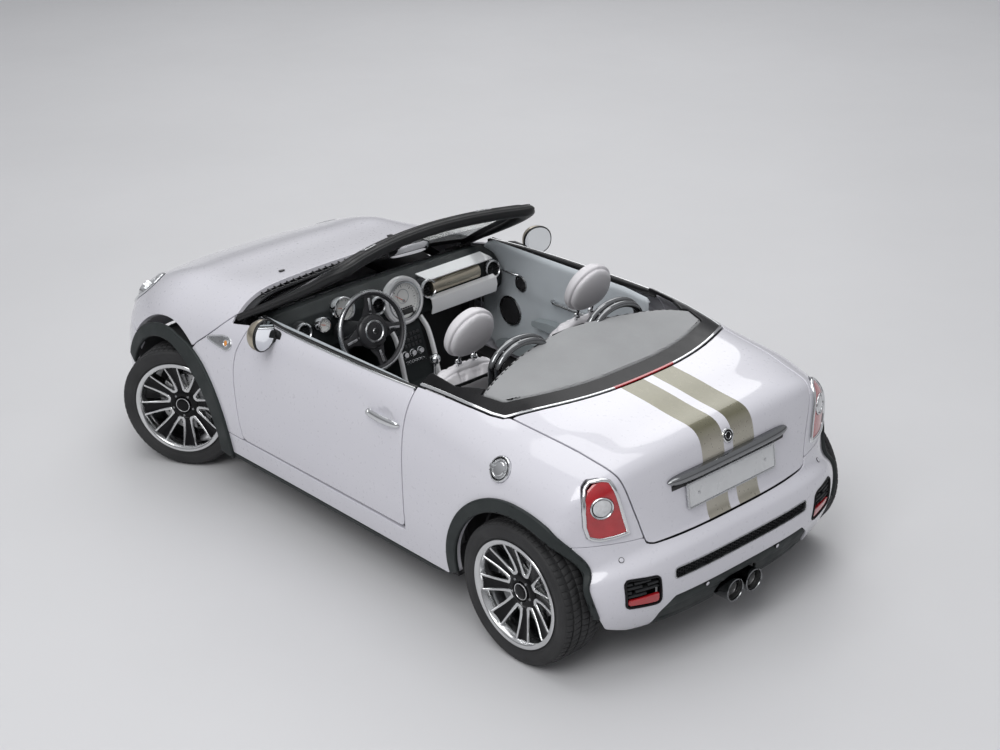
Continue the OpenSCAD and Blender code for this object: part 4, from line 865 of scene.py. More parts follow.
FINISHES = {
    "paint": paint,
    "striped": lambda: paint(True),
    "shadow": lambda: Nodes("Shut line shadow", (0.015, 0.015, 0.017), 0.8).vary(9, 0.2).mottle(40),
    "cladding": lambda: Nodes("Moulded cladding", (0.022, 0.027, 0.027), 0.55, **{"Specular IOR Level": 0.3}).vary(5,
    0.12).scuff(12, 0.2).mottle(900, 0.12, 0.0002),
    "black": lambda: Nodes("Satin black", (0.018, 0.018, 0.02), 0.32).vary(8, 0.2).scuff(20, 0.25).mottle(600, 0.05),
    "gloss black": lambda: Nodes("Gloss black", (0.007, 0.007, 0.008), 0.2, **{"Specular IOR Level": 0.16}).vary(8,
    0.2).scuff(20, 0.3),
    "matt black": lambda: Nodes("Matt black plastic", (0.018, 0.019, 0.021), 0.6,
    **{"Specular IOR Level": 0.35}).vary(7, 0.2).scuff(15, 0.15).mottle(500, 0.2, 0.0003),
    "screen black": lambda: Nodes("Screen frame black", (0.012, 0.0125, 0.013), 0.42,
    **{"Specular IOR Level": 0.3}).vary(7, 0.2).scuff(15, 0.2).mottle(500, 0.1, 0.0002),
    "lamp cover": lambda: Nodes("Clear lamp cover", (0.93, 0.95, 0.97), 0.03, **{"Transmission Weight": 1.0,
    "IOR": 1.1, "Alpha": 0.35}).vary(4, 0.01).scuff(20, 0.2),
    "chrome": lambda: Nodes("Polished chrome", (0.72, 0.73, 0.74), 0.07, 1.0).vary(6, 0.03).scuff(25, 0.35),
    "satin": lambda: Nodes("Satin metal", (0.56, 0.57, 0.58), 0.28, 1.0).vary(8, 0.05).scuff(30, 0.25).mottle(900,
    0.04, 0.0001),
    "dark chrome": lambda: Nodes("Dark chrome", (0.23, 0.235, 0.24), 0.12, 1.0).vary(6, 0.08).scuff(20, 0.3),
    "bronze": lambda: Nodes("Champagne metal", (0.5, 0.45, 0.36), 0.3, 1.0).vary(6, 0.05).scuff(60, 0.12,
    (1, 0.1, 1)).mottle(900, 0.04, 0.0001, (1, 0.05, 1)),
    "steel": lambda: Nodes("Brushed steel", (0.42, 0.42, 0.42), 0.34, 1.0).vary(7, 0.12).scuff(120, 0.3).mottle(400,
    0.08),
    "alloy": lambda: Nodes("Polished alloy", (0.66, 0.665, 0.67), 0.16, 1.0).vary(12, 0.05).scuff(40,
    0.35).mottle(700, 0.03, 0.0001),
    "cast": lambda: Nodes("Cast alloy", (0.3, 0.305, 0.31), 0.5, 0.8).vary(9, 0.2).scuff(20, 0.2).mottle(120, 0.3,
    0.0008),
    "disc": lambda: Nodes("Ground disc", (0.4, 0.4, 0.4), 0.32, 1.0).vary(30, 0.12).scuff(60, 0.3).mottle(500, 0.1,
    0.0002),
    "rubber": lambda: Nodes("Tyre rubber", (0.022, 0.022, 0.023), 0.68).vary(5, 0.25).scuff(9, 0.15).mottle(260, 0.2,
    0.0005),
    "seal": lambda: Nodes("Rubber seal", (0.016, 0.016, 0.017), 0.6).vary(8, 0.2).mottle(300, 0.1),
    "leather": lambda: Nodes("White leather", tuple(sizes().leather), 0.42, **{"Coat Weight": 0.1}).vary(4,
    0.035).scuff(18, 0.18).grain(330, 0.22, 0.0004).mottle(14, 0.12, 0.002),
    "teal leather": lambda: Nodes("Pale door leather", (0.53, 0.57, 0.6), 0.44).vary(4, 0.05).scuff(18,
    0.18).grain(330, 0.2, 0.0004),
    # the door card's teal, darkened for the armrest and pocket: painted shade
    "teal dark": lambda: Nodes("Door card plastic", (0.30, 0.335, 0.35), 0.5).vary(4, 0.05).scuff(18, 0.18).grain(420,
    0.2, 0.0003),
    "amber": lambda: Nodes("Amber lens", (0.75, 0.28, 0.04), 0.12,
    **{"Coat Weight": 1.0, "Coat Roughness": 0.03}).vary(20, 0.1).scuff(30, 0.2),
    "dark leather": lambda: Nodes("Dark leather", (0.025, 0.025, 0.028), 0.45).vary(6, 0.2).scuff(18, 0.2).grain(380,
    0.3, 0.0004),
    "dash": lambda: Nodes("Soft dash skin", (0.014, 0.017, 0.018), 0.6, **{"Specular IOR Level": 0.25}).vary(5,
    0.15).scuff(14, 0.12).grain(420, 0.25, 0.0003),
    "canvas": lambda: Nodes("Woven hood cloth", tuple(sizes().cloth), 0.9, **{"Sheen Weight": 0.25,
    "Sheen Roughness": 0.5}).vary(5, 0.07).weave(0.0022, 0.5, 0.0004).mottle(30, 0.25, 0.001),
    "white plastic": lambda: Nodes("White gloss panel", (0.78, 0.78, 0.79), 0.2,
    **{"Coat Weight": 0.5, "Coat Roughness": 0.05}).vary(5, 0.03).scuff(20, 0.2),
    "dial": lambda: Nodes("Dial face", (0.8, 0.8, 0.78), 0.5).vary(20, 0.03).mottle(500, 0.05),
    "marking": lambda: Nodes("Dial marking", (0.03, 0.03, 0.03), 0.5).vary(20, 0.1),
    "needle": lambda: Nodes("Dial needle", (0.7, 0.12, 0.02), 0.4).vary(20, 0.05),
    "red": lambda: Nodes("Red lens", (0.42, 0.012, 0.018), 0.12, **{"Coat Weight": 1.0, "Coat Roughness": 0.03,
    "Subsurface Weight": 0.1}).vary(20, 0.12).scuff(30, 0.2),
    "lens": lambda: Nodes("Clear lens", (0.93, 0.95, 0.96), 0.03, **{"Transmission Weight": 1.0, "IOR": 1.45}).vary(4,
    0.01).scuff(20, 0.2),
    "frosted": lambda: Nodes("Ribbed clear lens", (0.62, 0.63, 0.64), 0.22,
    **{"Coat Weight": 1.0, "Coat Roughness": 0.03}).vary(60, 0.12).scuff(30, 0.2).mottle(260, 0.3, 0.0006),
    "glass": lambda: Nodes("Laminated glass", (0.9, 0.95, 0.94), 0.02, **{"Transmission Weight": 1.0, "IOR": 1.45,
    "Alpha": 0.6}).vary(3, 0.01).scuff(9, 0.2),
    "mirror": lambda: Nodes("Mirror glass", (0.8, 0.82, 0.83), 0.03, 1.0).vary(4, 0.02).scuff(12, 0.2),
    "plate": lambda: Nodes("Blank plate", (0.62, 0.63, 0.64), 0.3, **{"Coat Weight": 0.4}).vary(12, 0.04).scuff(20,
    0.2).mottle(300, 0.08),
    "under": lambda: Nodes("Underbody coating", (0.035, 0.035, 0.037), 0.75).vary(6, 0.25).scuff(12, 0.12).mottle(90,
    0.5, 0.001),
    "stage": lambda: Nodes("Studio floor", (0.6, 0.6, 0.61), 0.55).vary(0.6, 0.02).scuff(4, 0.08),
}


def ring_of(name, piece, count, turn=360.0, start=0.0, place=None, mats=(), **ride):
    """Copies of a piece set round an axis by Geometry Nodes."""
    tree = bpy.data.node_groups.new("Ring of copies", "GeometryNodeTree")
    face = tree.interface
    face.new_socket("Geometry", in_out="INPUT", socket_type="NodeSocketGeometry")
    ids = {}
    for label, kind in (("Count", "NodeSocketInt"), ("Step", "NodeSocketFloat"), ("Start", "NodeSocketFloat"),
            ("Finish", "NodeSocketMaterial")):
        ids[label] = face.new_socket(label, in_out="INPUT", socket_type=kind).identifier
    face.new_socket("Geometry", in_out="OUTPUT", socket_type="NodeSocketGeometry")
    new, link = tree.nodes.new, tree.links.new
    gi, go = new("NodeGroupInput"), new("NodeGroupOutput")
    line, index = new("GeometryNodeMeshLine"), new("GeometryNodeInputIndex")
    line.inputs["Offset"].default_value = (0, 0, 0)
    link(gi.outputs["Count"], line.inputs["Count"])
    mul = new("ShaderNodeMath")
    mul.operation = "MULTIPLY_ADD"
    link(index.outputs[0], mul.inputs[0])
    link(gi.outputs["Step"], mul.inputs[1])
    link(gi.outputs["Start"], mul.inputs[2])
    rot = new("ShaderNodeCombineXYZ")
    link(mul.outputs[0], rot.inputs["Z"])
    inst = new("GeometryNodeInstanceOnPoints")
    link(line.outputs[0], inst.inputs["Points"])
    link(gi.outputs["Geometry"], inst.inputs["Instance"])
    link(rot.outputs[0], inst.inputs["Rotation"])
    real, paintn = new("GeometryNodeRealizeInstances"), new("GeometryNodeSetMaterial")
    link(inst.outputs[0], real.inputs[0])
    link(real.outputs[0], paintn.inputs[0])
    link(gi.outputs["Finish"], paintn.inputs["Material"])
    link(paintn.outputs[0], go.inputs[0])
    return from_tree(name, piece, tree, {ids["Count"]: count, ids["Step"]: math.radians(turn / count),
        ids["Start"]: math.radians(start), ids["Finish"]: finish(mats[0])}, place, mats, **ride)


def from_tree(name, piece, tree, values, place, mats, body, slot, nodes=(), angle=35):
    """Evaluates a node tree on a piece and keeps the result as a plain mesh in its place."""
    mesh = bpy.data.meshes.new(name)
    mesh.from_pydata((np.asarray(piece[0], float) / 1000).tolist(), [], [tuple(f) for f in piece[1]])
    unit = bpy.data.objects.new(name, mesh)
    bpy.context.scene.collection.objects.link(unit)
    mod = unit.modifiers.new("Copies", "NODES")
    mod.node_group = tree
    for k, v in values.items():
        mod[k] = v
    dg = bpy.context.evaluated_depsgraph_get()
    dg.update()
    out = bpy.data.meshes.new_from_object(unit.evaluated_get(dg), preserve_all_data_layers=False, depsgraph=dg)
    unit.modifiers.clear()
    bpy.data.objects.remove(unit)
    if place is not None:
        m = place.copy()
        m.translation /= 1000
        out.transform(m)
    out.polygons.foreach_set("use_smooth", [True] * len(out.polygons))
    out.set_sharp_from_angle(angle=math.radians(angle))
    out.materials.clear()
    out.materials.append(finish(mats[0]))
    obj = bpy.data.objects.new(name, out)
    bpy.context.scene.collection.objects.link(obj)
    return settle(obj, body, slot, nodes)


# ------------------------------------------------------------------ where each panel ends
def xyz(p):
    return p[..., 0], p[..., 1], p[..., 2]


def wheel_gap(x, z, r):
    """Positive inside a wheel opening of radius r."""
    return np.maximum(r - np.hypot(x - AXLE_F, z - AXLE_Z), r - np.hypot(x - AXLE_R, z - AXLE_Z))


def arch_gap(p, axle, table, grow=0.0):
    """Positive inside an arch edge drawn by a table of angles and distances."""
    x, z = p[..., 0] - axle, p[..., 2] - AXLE_Z
    a = (np.degrees(np.arctan2(z, x)) + 90) % 360 - 90
    t = np.array(table)
    return ARCH_R + grow + np.interp(a, t[:, 0], t[:, 1]) - np.hypot(x, z)


def only(cond, value):
    return np.where(cond, value, -1e3)


def bonnet_at(p):
    x, y, z = xyz(p)
    return np.max([away(BONNET, x, z) + SHUT / 2, away(COWL_PLAN, x, y) + SHUT / 2, wheel_gap(x, z, 440),
        only(x > 1300, JOINT - away(LAMP, np.abs(y), z))], 0)


def fender_at(p):
    x, y, z = xyz(p)
    return np.max([away([(AXLE_F, 331), (AXLE_F, 1100), (400, 1100), (400, 331)], x, z), SHUT / 2 - away(DOOR, x, z),
        JOINT - away(COCKPIT, x, y), SHUT / 2 - away(BONNET, x, z), arch_gap(p, AXLE_F, FRONT_OPENING, 40)], 0)


def filler_gap(p):
    """Distance from the fuel cap's axis."""
    d = p - FILLER
    axis = np.array([0, math.sin(-FILLER_LEAN), math.cos(FILLER_LEAN)])
    along = d @ axis
    return np.sqrt(np.maximum(0, np.sum(d * d, -1) - along ** 2))


def quarter_at(p):
    x, y, z = xyz(p)
    outline = [(647, 222), (647, 326), (-698, 326), (-698, 1100), (-2000, 1100), (-2000, 400), (-1000, 222)]
    lid = np.maximum(away(LID, y, z), away(LID_PLAN, x, y))
    return np.max([away(outline, x, z), JOINT - away(COCKPIT, x, y), only(x < -1540, JOINT - away(TAIL_LAMP, y, z)),
        53.5 - filler_gap(p), SHUT / 2 - away(DOOR, x, z), 1.5 - away(REAR_BUMPER, x, z), SHUT / 2 - lid,
        wheel_gap(x, z, 350)], 0)


def lid_at(p):
    x, y, z = xyz(p)
    return np.maximum(away(LID, y, z) + SHUT / 2, away(LID_PLAN, x, y) + SHUT)


def rear_bumper_at(p):
    x, y, z = xyz(p)
    return np.max([away(REAR_BUMPER, x, z), only(x < -1700, -away(SLOT, y, z)),
        only(x < -1600, -away(VENT, np.abs(y), z)),
        only(x < -1500, -away(FOOT, y, z)), SHUT / 2 - away(LID, y, z), wheel_gap(x, z, 350)], 0)


def front_bumper_at(p):
    x, y, z = xyz(p)
    return np.max([1200 - x, only(x > 1600, -away(MOUTH, y, z)), only(x > 1600, -away(INTAKE, y, z)),
        only(x > 1300, JOINT - away(LAMP, np.abs(y), z)), SHUT / 2 - away(BONNET, x, z), wheel_gap(x, z, 350)], 0)


def door_at(p):
    x, y, z = xyz(p)
    return np.max([away(DOOR, x, z) + SHUT / 2, z - BELT(x)], 0)


def handle_cup(u, v, p):
    """The door's skin dips behind the handle."""
    d = np.hypot((p[..., 0] - HANDLE[0]) / 66, (p[..., 2] - HANDLE[2]) / 47)
    deep = 15 * np.clip(1 - d, 0, 1) ** 0.8 * np.clip((1 - d) * 6, 0, 1)
    return p - deep[..., None] * np.array([0, 0.97, 0.24])


# ------------------------------------------------------------------ operators
class Sizes(bpy.types.PropertyGroup):
    """Sizes and colours that a user would change."""
    paint: FloatVectorProperty(name="Paint", description="Pearl paint of the body", subtype="COLOR", size=3,
        default=(0.66, 0.655, 0.70), min=0, max=1)
    stripe: FloatVectorProperty(name="Stripe", description="Colour of the boot lid's stripes", subtype="COLOR", size=3,
        default=(0.155, 0.145, 0.085), min=0, max=1)
    stripe_in: FloatProperty(name="Stripe gap", description="Half the gap between the stripes", unit="LENGTH",
        default=0.026, min=0.005, max=0.1)
    stripe_out: FloatProperty(name="Stripe edge", description="Outer edge of each stripe", unit="LENGTH",
        default=0.152, min=0.05, max=0.3)
    leather: FloatVectorProperty(name="Seat leather", description="Colour of the seats", subtype="COLOR", size=3,
        default=(0.66, 0.645, 0.665), min=0, max=1)
    cloth: FloatVectorProperty(name="Hood cloth", description="Colour of the folded hood's cover", subtype="COLOR",
        size=3,
        default=(0.30, 0.305, 0.31), min=0, max=1)
    cell: FloatProperty(name="Panel cell", description="Mesh size of the painted panels", unit="LENGTH",
        default=0.014, min=0.008, max=0.04)
    loops: IntProperty(name="Rim loops", description="Open loops in each rim", default=8, min=5, max=12)
    tread: IntProperty(name="Tread blocks", description="Blocks round each tyre", default=66, min=30, max=90)
    steer: FloatProperty(name="Steer angle", description="How far the front wheels are turned as the car stands",
        subtype="ANGLE", default=math.radians(30))


class PieceOperator:
    """Shared by the operators: a mistake stops the script."""
    bl_options = {"REGISTER", "UNDO"}

    def execute(self, context):
        self.make(context.scene.roadster)
        return {"FINISHED"}


class ROADSTER_OT_stage(PieceOperator, bpy.types.Operator):
    """Floor, soft lights and the camera"""
    bl_idname = "roadster.stage"
    bl_label = "Stage"

    def make(self, s):
        n = 24
        edge = 40.0
        pts = [(edge * (2 * i / n - 1), edge * (2 * j / n - 1), 0.0) for i in range(n + 1) for j in range(n + 1)]
        mesh = bpy.data.meshes.new("floor")
        mesh.from_pydata(pts, [], [(i * (n + 1) + j, (i + 1) * (n + 1) + j, (i + 1) * (n + 1) + j + 1, i * (n + 1) + j
            + 1)
            for i in range(n) for j in range(n)])
        mesh.materials.append(finish("stage"))
        floor = bpy.data.objects.new("floor", mesh)
        bpy.context.scene.collection.objects.link(floor)
        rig.stage(floor)
        world = bpy.data.worlds.new("Soft studio")
        bpy.context.scene.world = world
        world.use_nodes = True
        tree = world.node_tree
        bg = tree.nodes["Background"]
        # pale from above, greyer near the horizon, so that metal has something to show
        geo = tree.nodes.new("ShaderNodeTexCoord")
        sep = tree.nodes.new("ShaderNodeSeparateXYZ")
        tree.links.new(geo.outputs["Generated"], sep.inputs[0])
        ramp = tree.nodes.new("ShaderNodeValToRGB")
        tree.links.new(sep.outputs[2], ramp.inputs[0])
        ramp.color_ramp.elements[0].position, ramp.color_ramp.elements[0].color = 0.0, (0.30, 0.30, 0.31, 1)
        ramp.color_ramp.elements[1].position, ramp.color_ramp.elements[1].color = 0.5, (0.78, 0.79, 0.82, 1)
        tree.links.new(ramp.outputs[0], bg.inputs[0])
        bg.inputs[1].default_value = 0.62
        for name, at, aim, size, power in (("key", (-4, 7, 8.5), (-0.3, 0, 0.5), 6.0, 520),
            ("fill", (6, -6, 7), (0, 0, 0.5), 7.0, 260),
                ("top", (0, 0, 9), (0, 0, 0), 7.0, 260)):
            lamp = bpy.data.lights.new(name, "AREA")
            lamp.size, lamp.energy = size, power
            obj = bpy.data.objects.new(name, lamp)
            obj.location = at
            obj.rotation_euler = (Vector(aim) - Vector(at)).to_track_quat("-Z", "Y").to_euler()
            bpy.context.scene.collection.objects.link(obj)
        cam = bpy.data.cameras.new("camera")
        cam.sensor_width, cam.lens = 36, 1858.5 * 36 / 1000
        cam.clip_end = 200
        eye = bpy.data.objects.new("camera", cam)
        yaw, pitch, roll = (math.radians(a) for a in (-41.426, -24.607, -1.761))
        ahead = Vector((math.cos(pitch) * math.cos(yaw), math.cos(pitch) * math.sin(yaw), math.sin(pitch)))
        right = ahead.cross(Vector((0, 0, 1))).normalized()
        up = right.cross(ahead)
        r2 = math.cos(roll) * right + math.sin(roll) * up
        u2 = -math.sin(roll) * right + math.cos(roll) * up
        m = Matrix((r2, u2, -ahead)).transposed().to_4x4()
        m.translation = (-6.0828, 5.0106, 4.1468)
        eye.matrix_world = m
        bpy.context.scene.collection.objects.link(eye)
        bpy.context.scene.camera = eye
        bpy.context.scene.view_settings.view_transform = "Standard"


class ROADSTER_OT_panels(PieceOperator, bpy.types.Operator):
    """Painted panels, pressed from the body's skin with turned-in edges"""
    bl_idname = "roadster.panels"
    bl_label = "Painted panels"

    def make(self, s):
        cell = s.cell * 1000
        coat, striped = "paint", "striped"

        def build(name, geo, body, mat=coat, flip=False, nodes=None):
            Kit().add(geo, flip=flip).piece(name, [mat], body, "paint", nodes or [name.replace("_panel", "")])
        build("bonnet_panel", panel_mesh(bonnet_at, (3.0, 16.5), (-1, 1), 20, 3, cell), "bonnet")
        build("boot_lid_panel", panel_mesh(lid_at, (20.5, 33), (-0.9, 0.9), 20, 3, cell), "boot_lid", striped)
        build("front_bumper_panel", panel_mesh(front_bumper_at, (0, 9), (-1, 1), 14, 4, cell), "car_body")
        build("rear_bumper_panel", panel_mesh(rear_bumper_at, (27, LAST), (-1, 1), 14, 4, cell), "car_body")
        sides = {"fender": panel_mesh(fender_at, (11, 16.6), (0.12, 1), 10, 3, cell),
            "quarter": panel_mesh(quarter_at, (14.4, 33), (0.12, 1), 20, 3, cell),
            "door": panel_mesh(door_at, (14.4, 20.2), (0.12, 1), 20, 3, cell, shape=handle_cup)}
        for side, flip in (("left", False), ("right", True)):
            build(f"fender_{side}_panel", sides["fender"], "car_body", flip=flip)
            build(f"quarter_{side}_panel", sides["quarter"], "car_body", flip=flip)
            build(f"door_{side}_panel", sides["door"], f"door_{side}", flip=flip)


class ROADSTER_OT_cladding(PieceOperator, bpy.types.Operator):
    """Dark trim round the wheel openings and along the sills"""
    bl_idname = "roadster.cladding"
    bl_label = "Cladding"

    def make(self, s):
        def ring(axle, out, opening):
            return lambda p: np.max([-arch_gap(p, axle, out), arch_gap(p, axle, opening, 1), 500 - np.abs(p[..., 1])],
                0)
        kit = Kit()
        lower = lambda p: np.max([p[..., 2] - 219, arch_gap(p, AXLE_F, FRONT_TRIM, -20),
            arch_gap(p, AXLE_R, REAR_TRIM, -20),
            196 - p[..., 2]], 0)
        for flip in (False, True):
            kit.add(panel_mesh(ring(AXLE_F, FRONT_TRIM, FRONT_OPENING), (5.5, 16.5), (0.15, 1), 15, 7, 15,
                inset=-14.6), flip=flip)
            kit.add(panel_mesh(ring(AXLE_R, REAR_TRIM, [(0, 0)]), (18.6, 34), (0.15, 1), 15, 7, 15, inset=-14.6),
                flip=flip)
            kit.add(panel_mesh(lower, (12.5, 24), (0.6, 1), 14, 4, 15), flip=flip)
        kit.piece("wheel_arch_trims", ["cladding"], "car_body", "dark_plastic", ["arch_trims"])


class ROADSTER_OT_hood(PieceOperator, bpy.types.Operator):
    """The folded hood's cover, the black band round it and its chrome edge"""
    bl_idname = "roadster.hood"
    bl_label = "Folded hood"

    def make(self, s):
        hole = [(-600, 640), (-860, 640), (-1000, 560), (-1000, -560), (-860, -640), (-600, -640)]

        def band(p):
            x, y, z = xyz(p)
            return np.max([away(COCKPIT, x, y) + JOINT, JOINT - away(COVER, x, y), x + 706, -away(hole, x, y),
                850 - z], 0)

        def edge(p):
            x, y, z = xyz(p)
            return np.max([np.abs(away(COCKPIT, x, y) + 8) - 5.5, 850 - z, x + 706, only(np.abs(y) < 178, x + 1285)], 0)

        def lamp(p):
            x, y, z = xyz(p)
            return np.max([np.abs(away(COCKPIT, x, y) + 8) - 6.5, 850 - z, x + 1250, np.abs(y) - 174], 0)
        sag = lambda u, v, p: p + np.array([0, 0, 1.0]) * (0.8 * np.sin(p[..., 1:2] / 41)
            + 5 * np.clip(1 - np.abs(p[..., 1:2]) / 560, 0, 1))
        Kit().add(panel_mesh(band, DECK_SPAN, (-0.8, 0.8), 14, 5, 12)).piece("hood_band", ["gloss black"],
            "car_body", "dark_plastic", ["deck_band"])
        Kit().add(panel_mesh(edge, DECK_SPAN, (-0.8, 0.8), 5, 2.4, 7, inset=-2.2)).piece("hood_band_edge",
            ["chrome"], "car_body", "chrome")
        Kit().add(panel_mesh(lamp, (20, 25.4), (-0.4, 0.4), 6, 2.2, 7, inset=-2.8)).piece("high_stop_lamp",
            ["red"], "car_body", "lamp_red")
        cover = Kit().add(panel_mesh(lambda p: away(COVER, p[..., 0], p[..., 1]), (18, 25), (-0.8, 0.8), 24, 13, 12,
            inset=2.0, shape=sag)).piece("hood_cover", ["canvas"], "car_body", "soft_top_cloth", ["soft_top"])
        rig.padded(cover, 0.5)


class ROADSTER_OT_wheels(PieceOperator, bpy.types.Operator):
    """Tyres with cut tread, rims with open loops, discs and calipers"""
    bl_idname = "roadster.wheels"
    bl_label = "Wheels"

    def make(self, s):
        hub_off = 28.0
        turned = math.degrees(s.steer)
        for side, sign in (("left", 1), ("right", -1)):
            front = placed(AXLE_F, sign * 700, 0, rz=turned) @ placed(0, sign * hub_off, AXLE_Z) @ placed(rx=-90 * sign)
            rear = placed(AXLE_R, sign * 728, AXLE_Z) @ placed(rx=-90 * sign)
            for end, m, holder in (("front", front, f"knuckle_{side}"), ("rear", rear, "car_body")):
                self.wheel(s, f"{end}_{side}", m, f"wheel_{end}_{side}", holder, 200 if end == "front" else 20, sign)

    def wheel(self, s, tag, m, body, holder, caliper_at, sign):
        r = 308.0
        # carcass and side walls
        wall = [(233, 91), (241, 97.5), (247, 96.5), (252, 99.5), (262, 101.8), (272, 102.3), (278, 101.4),
            (280, 102.2),
            (288, 99.5), (293, 98.6), (296, 95)]
        prof = [(214.5, 80), (225, 86)] + wall + [(299.5, 88), (301, 76)]
        prof = prof + [(301.3, z) for z in (60, 30, 0, -30, -60)]
        inner = [(q, -z) for q, z in reversed(prof[:-5])]
        prof = prof + inner
        inner_wall = [(214.5, -80), (222, -70), (270, -88), (288, -70), (292, 0), (288, 70), (270, 88), (222, 70),
            (214.5, 80)]
        tyre = Kit().add(lathe(prof[:-1] + inner_wall, 96), place=m)
        tyre.piece(f"tyre_{tag}_carcass", ["rubber"], body, "tyre", [f"tyre_{tag}"], 42)
        # tread: five ribs of blocks, the shoulders wider
        unit = Kit()
        pitch = 2 * math.pi * r / s.tread
        for z0, z1, top, gap, skew in ((-93, -66, 304.6, 4.2, 3), (-60, -24, 307.6, 2.4, -7), (-18, 18, 307.9, 1.6, 5),
                (24, 60, 307.6, 2.4, -7), (66, 93, 304.6, 4.2, 3)):
            p, f = rbox((297, -pitch / 2 + gap / 2, z0), (top, pitch / 2 - gap / 2, z1), 1.4, 1)
            mid = (z0 + z1) / 2
            p[:, 1] += (p[:, 2] - mid) / (z1 - z0) * skew
            if abs(mid) > 60:
                out = np.sign(mid) * (p[:, 2]) > 80
                p[out, 0] -= 3.5
            unit.add((p, f))
        block = (np.concatenate(unit.points), unit.faces)
        ring_of(f"tyre_{tag}_tread", block, s.tread, place=m, mats=["rubber"], body=body, slot="tyre", angle=50)
        # barrel with its polished flange
        barrel = [(199, -91), (230, -95), (231.5, -92), (231.5, -82), (226, -80.5), (217, -84), (213.5, -80),
            (206, -40),
            (206, 50), (213.5, 80), (217, 86), (226, 89.5), (231.5, 91), (232.6, 94), (232.4, 97.6), (230, 100),
            (222, 99.4),
            (214, 97), (210.5, 93), (208.5, 84), (203, 74), (199, 40), (198, 0), (199, -91)]
        rim = Kit().add(lathe(barrel, 96), 0, m)
        # hub: a black bowl with a raised cap
        hub = [(20.5, 6), (62, 6), (66, 12), (68, 36), (74, 42), (74, 50), (66, 55), (47, 57.5), (43, 55), (41, 50),
            (36, 49),
            (34.5, 58), (31, 61.5), (16, 63), (0, 63.2)]
        rim.add(lathe(hub, 72), 1, m)
        rim.add(lathe([(34.8, 57), (36.4, 59), (35.6, 61), (33, 61.6), (31.6, 60)], 48), 0, m)
        rim.piece(f"rim_{tag}_barrel", ["alloy", "gloss black"], body, "rim_alloy", [f"rim_{tag}"], 40)
        # one loop: a deep U of polished alloy, open to the flange
        half = math.radians(13.6)
        out_r, in_r, bend = 206.0, 90.0, 15.0
        path = []
        for k in np.linspace(0, 1, 12):
            rr = out_r + (in_r - out_r) * k
            off = (out_r * math.sin(half)) * (1 - k) ** 0.82 + bend * (1 - (1 - k) ** 0.82)
            path.append((rr, off))
        arc = [(in_r - bend * math.sin(a), bend * math.cos(a)) for a in np.linspace(0, math.pi, 11)[1:-1]]
        path = path + arc + [(a, -b) for a, b in reversed(path)]
        rise = lambda q: 53 + 34 * np.clip((q - 76) / 130, 0, 1) ** 1.35
        pts3 = np.array([(a, b, rise(math.hypot(a, b)) - 21) for a, b in path])
        wide = np.interp(np.hypot(pts3[:, 0], pts3[:, 1]), [78, 110, 206], [9.5, 7.0, 5.0])
        loop = tube(pts3, wide, 21, n=16, up=(0, 0, 1), power=5)
        ring_of(f"rim_{tag}_loops", loop, s.loops, start=31, place=m, mats=["alloy"], body=body, slot="rim_alloy",
            angle=40)
        # black blades between the loops, a little below them
        step = 2 * math.pi / s.loops
        rows = []
        for q in np.linspace(58, 207, 12):
            edge = np.interp(q, [58, 80, 92, 207], [step / 2 - 0.02, 0.25, 0.225, half + 0.026])
            a0, a1 = edge, step - edge
            rows.append([(q * math.cos(a), q * math.sin(a), rise(q) - 5 - 3.5 * math.sin(math.pi * t) * (q > 75))
                for t, a in ((t, a0 + (a1 - a0) * t) for t in np.linspace(0, 1, 7))])
        blade = shell(np.array(rows), 13)
        ring_of(f"rim_{tag}_blades", blade, s.loops, start=31, place=m, mats=["gloss black"], body=body,
            slot="rim_alloy", angle=40)
        # wheel bolts round the hub, a valve on the barrel
        bolt = Kit().add(lathe([(11, 40), (11, 51), (9, 52.5), (0, 52.5)], 20)).add(lathe([(7.2, 50), (7.2, 58.5),
            (6, 60), (0, 60)], 6))
        p = np.concatenate(bolt.points) + np.array([54, 0, 0])
        ring_of(f"rim_{tag}_bolts", (p, bolt.faces), 5, start=20, place=m, mats=["dark chrome"], body=body,
            slot="rim_alloy")
        valve = tube([(201, 6, 58), (190, 6, 72), (184, 6, 80)], [5, 4, 3.4], n=12)
        Kit().add(valve, 0, m).piece(f"rim_{tag}_valve", ["seal"], body, "rim_alloy")
        # ground disc with drilled cooling holes drawn as dimples, and its bell
        disc = [(22, -6), (60, -6), (72, -4), (74, -7.8), (146, -7.8), (147, -7), (147, 11), (146, 11.8), (78, 11.8),
            (76, 9),
            (74, 2), (62, 4.5), (22, 4.5), (22, -6)]
        Kit().add(lathe(disc, 96), 0, m).piece(f"disc_{tag}", ["disc"], body, "rim_alloy")
        dimple = lathe([(0, 12.3), (3.6, 12.3), (4.6, 11.9), (4.6, 11.0), (0, 11.0)], 12)
        dots = Kit()
        for q, a in ((92, 0), (108, 6), (124, 12), (137, 3)):
            dots.add((dimple[0] + np.array([q * math.cos(math.radians(a)), q * math.sin(math.radians(a)), 0]),
                dimple[1]))
        ring_of(f"disc_{tag}_holes", (np.concatenate(dots.points), dots.faces), 18, place=m, mats=["shadow"],
            body=body, slot="rim_alloy")
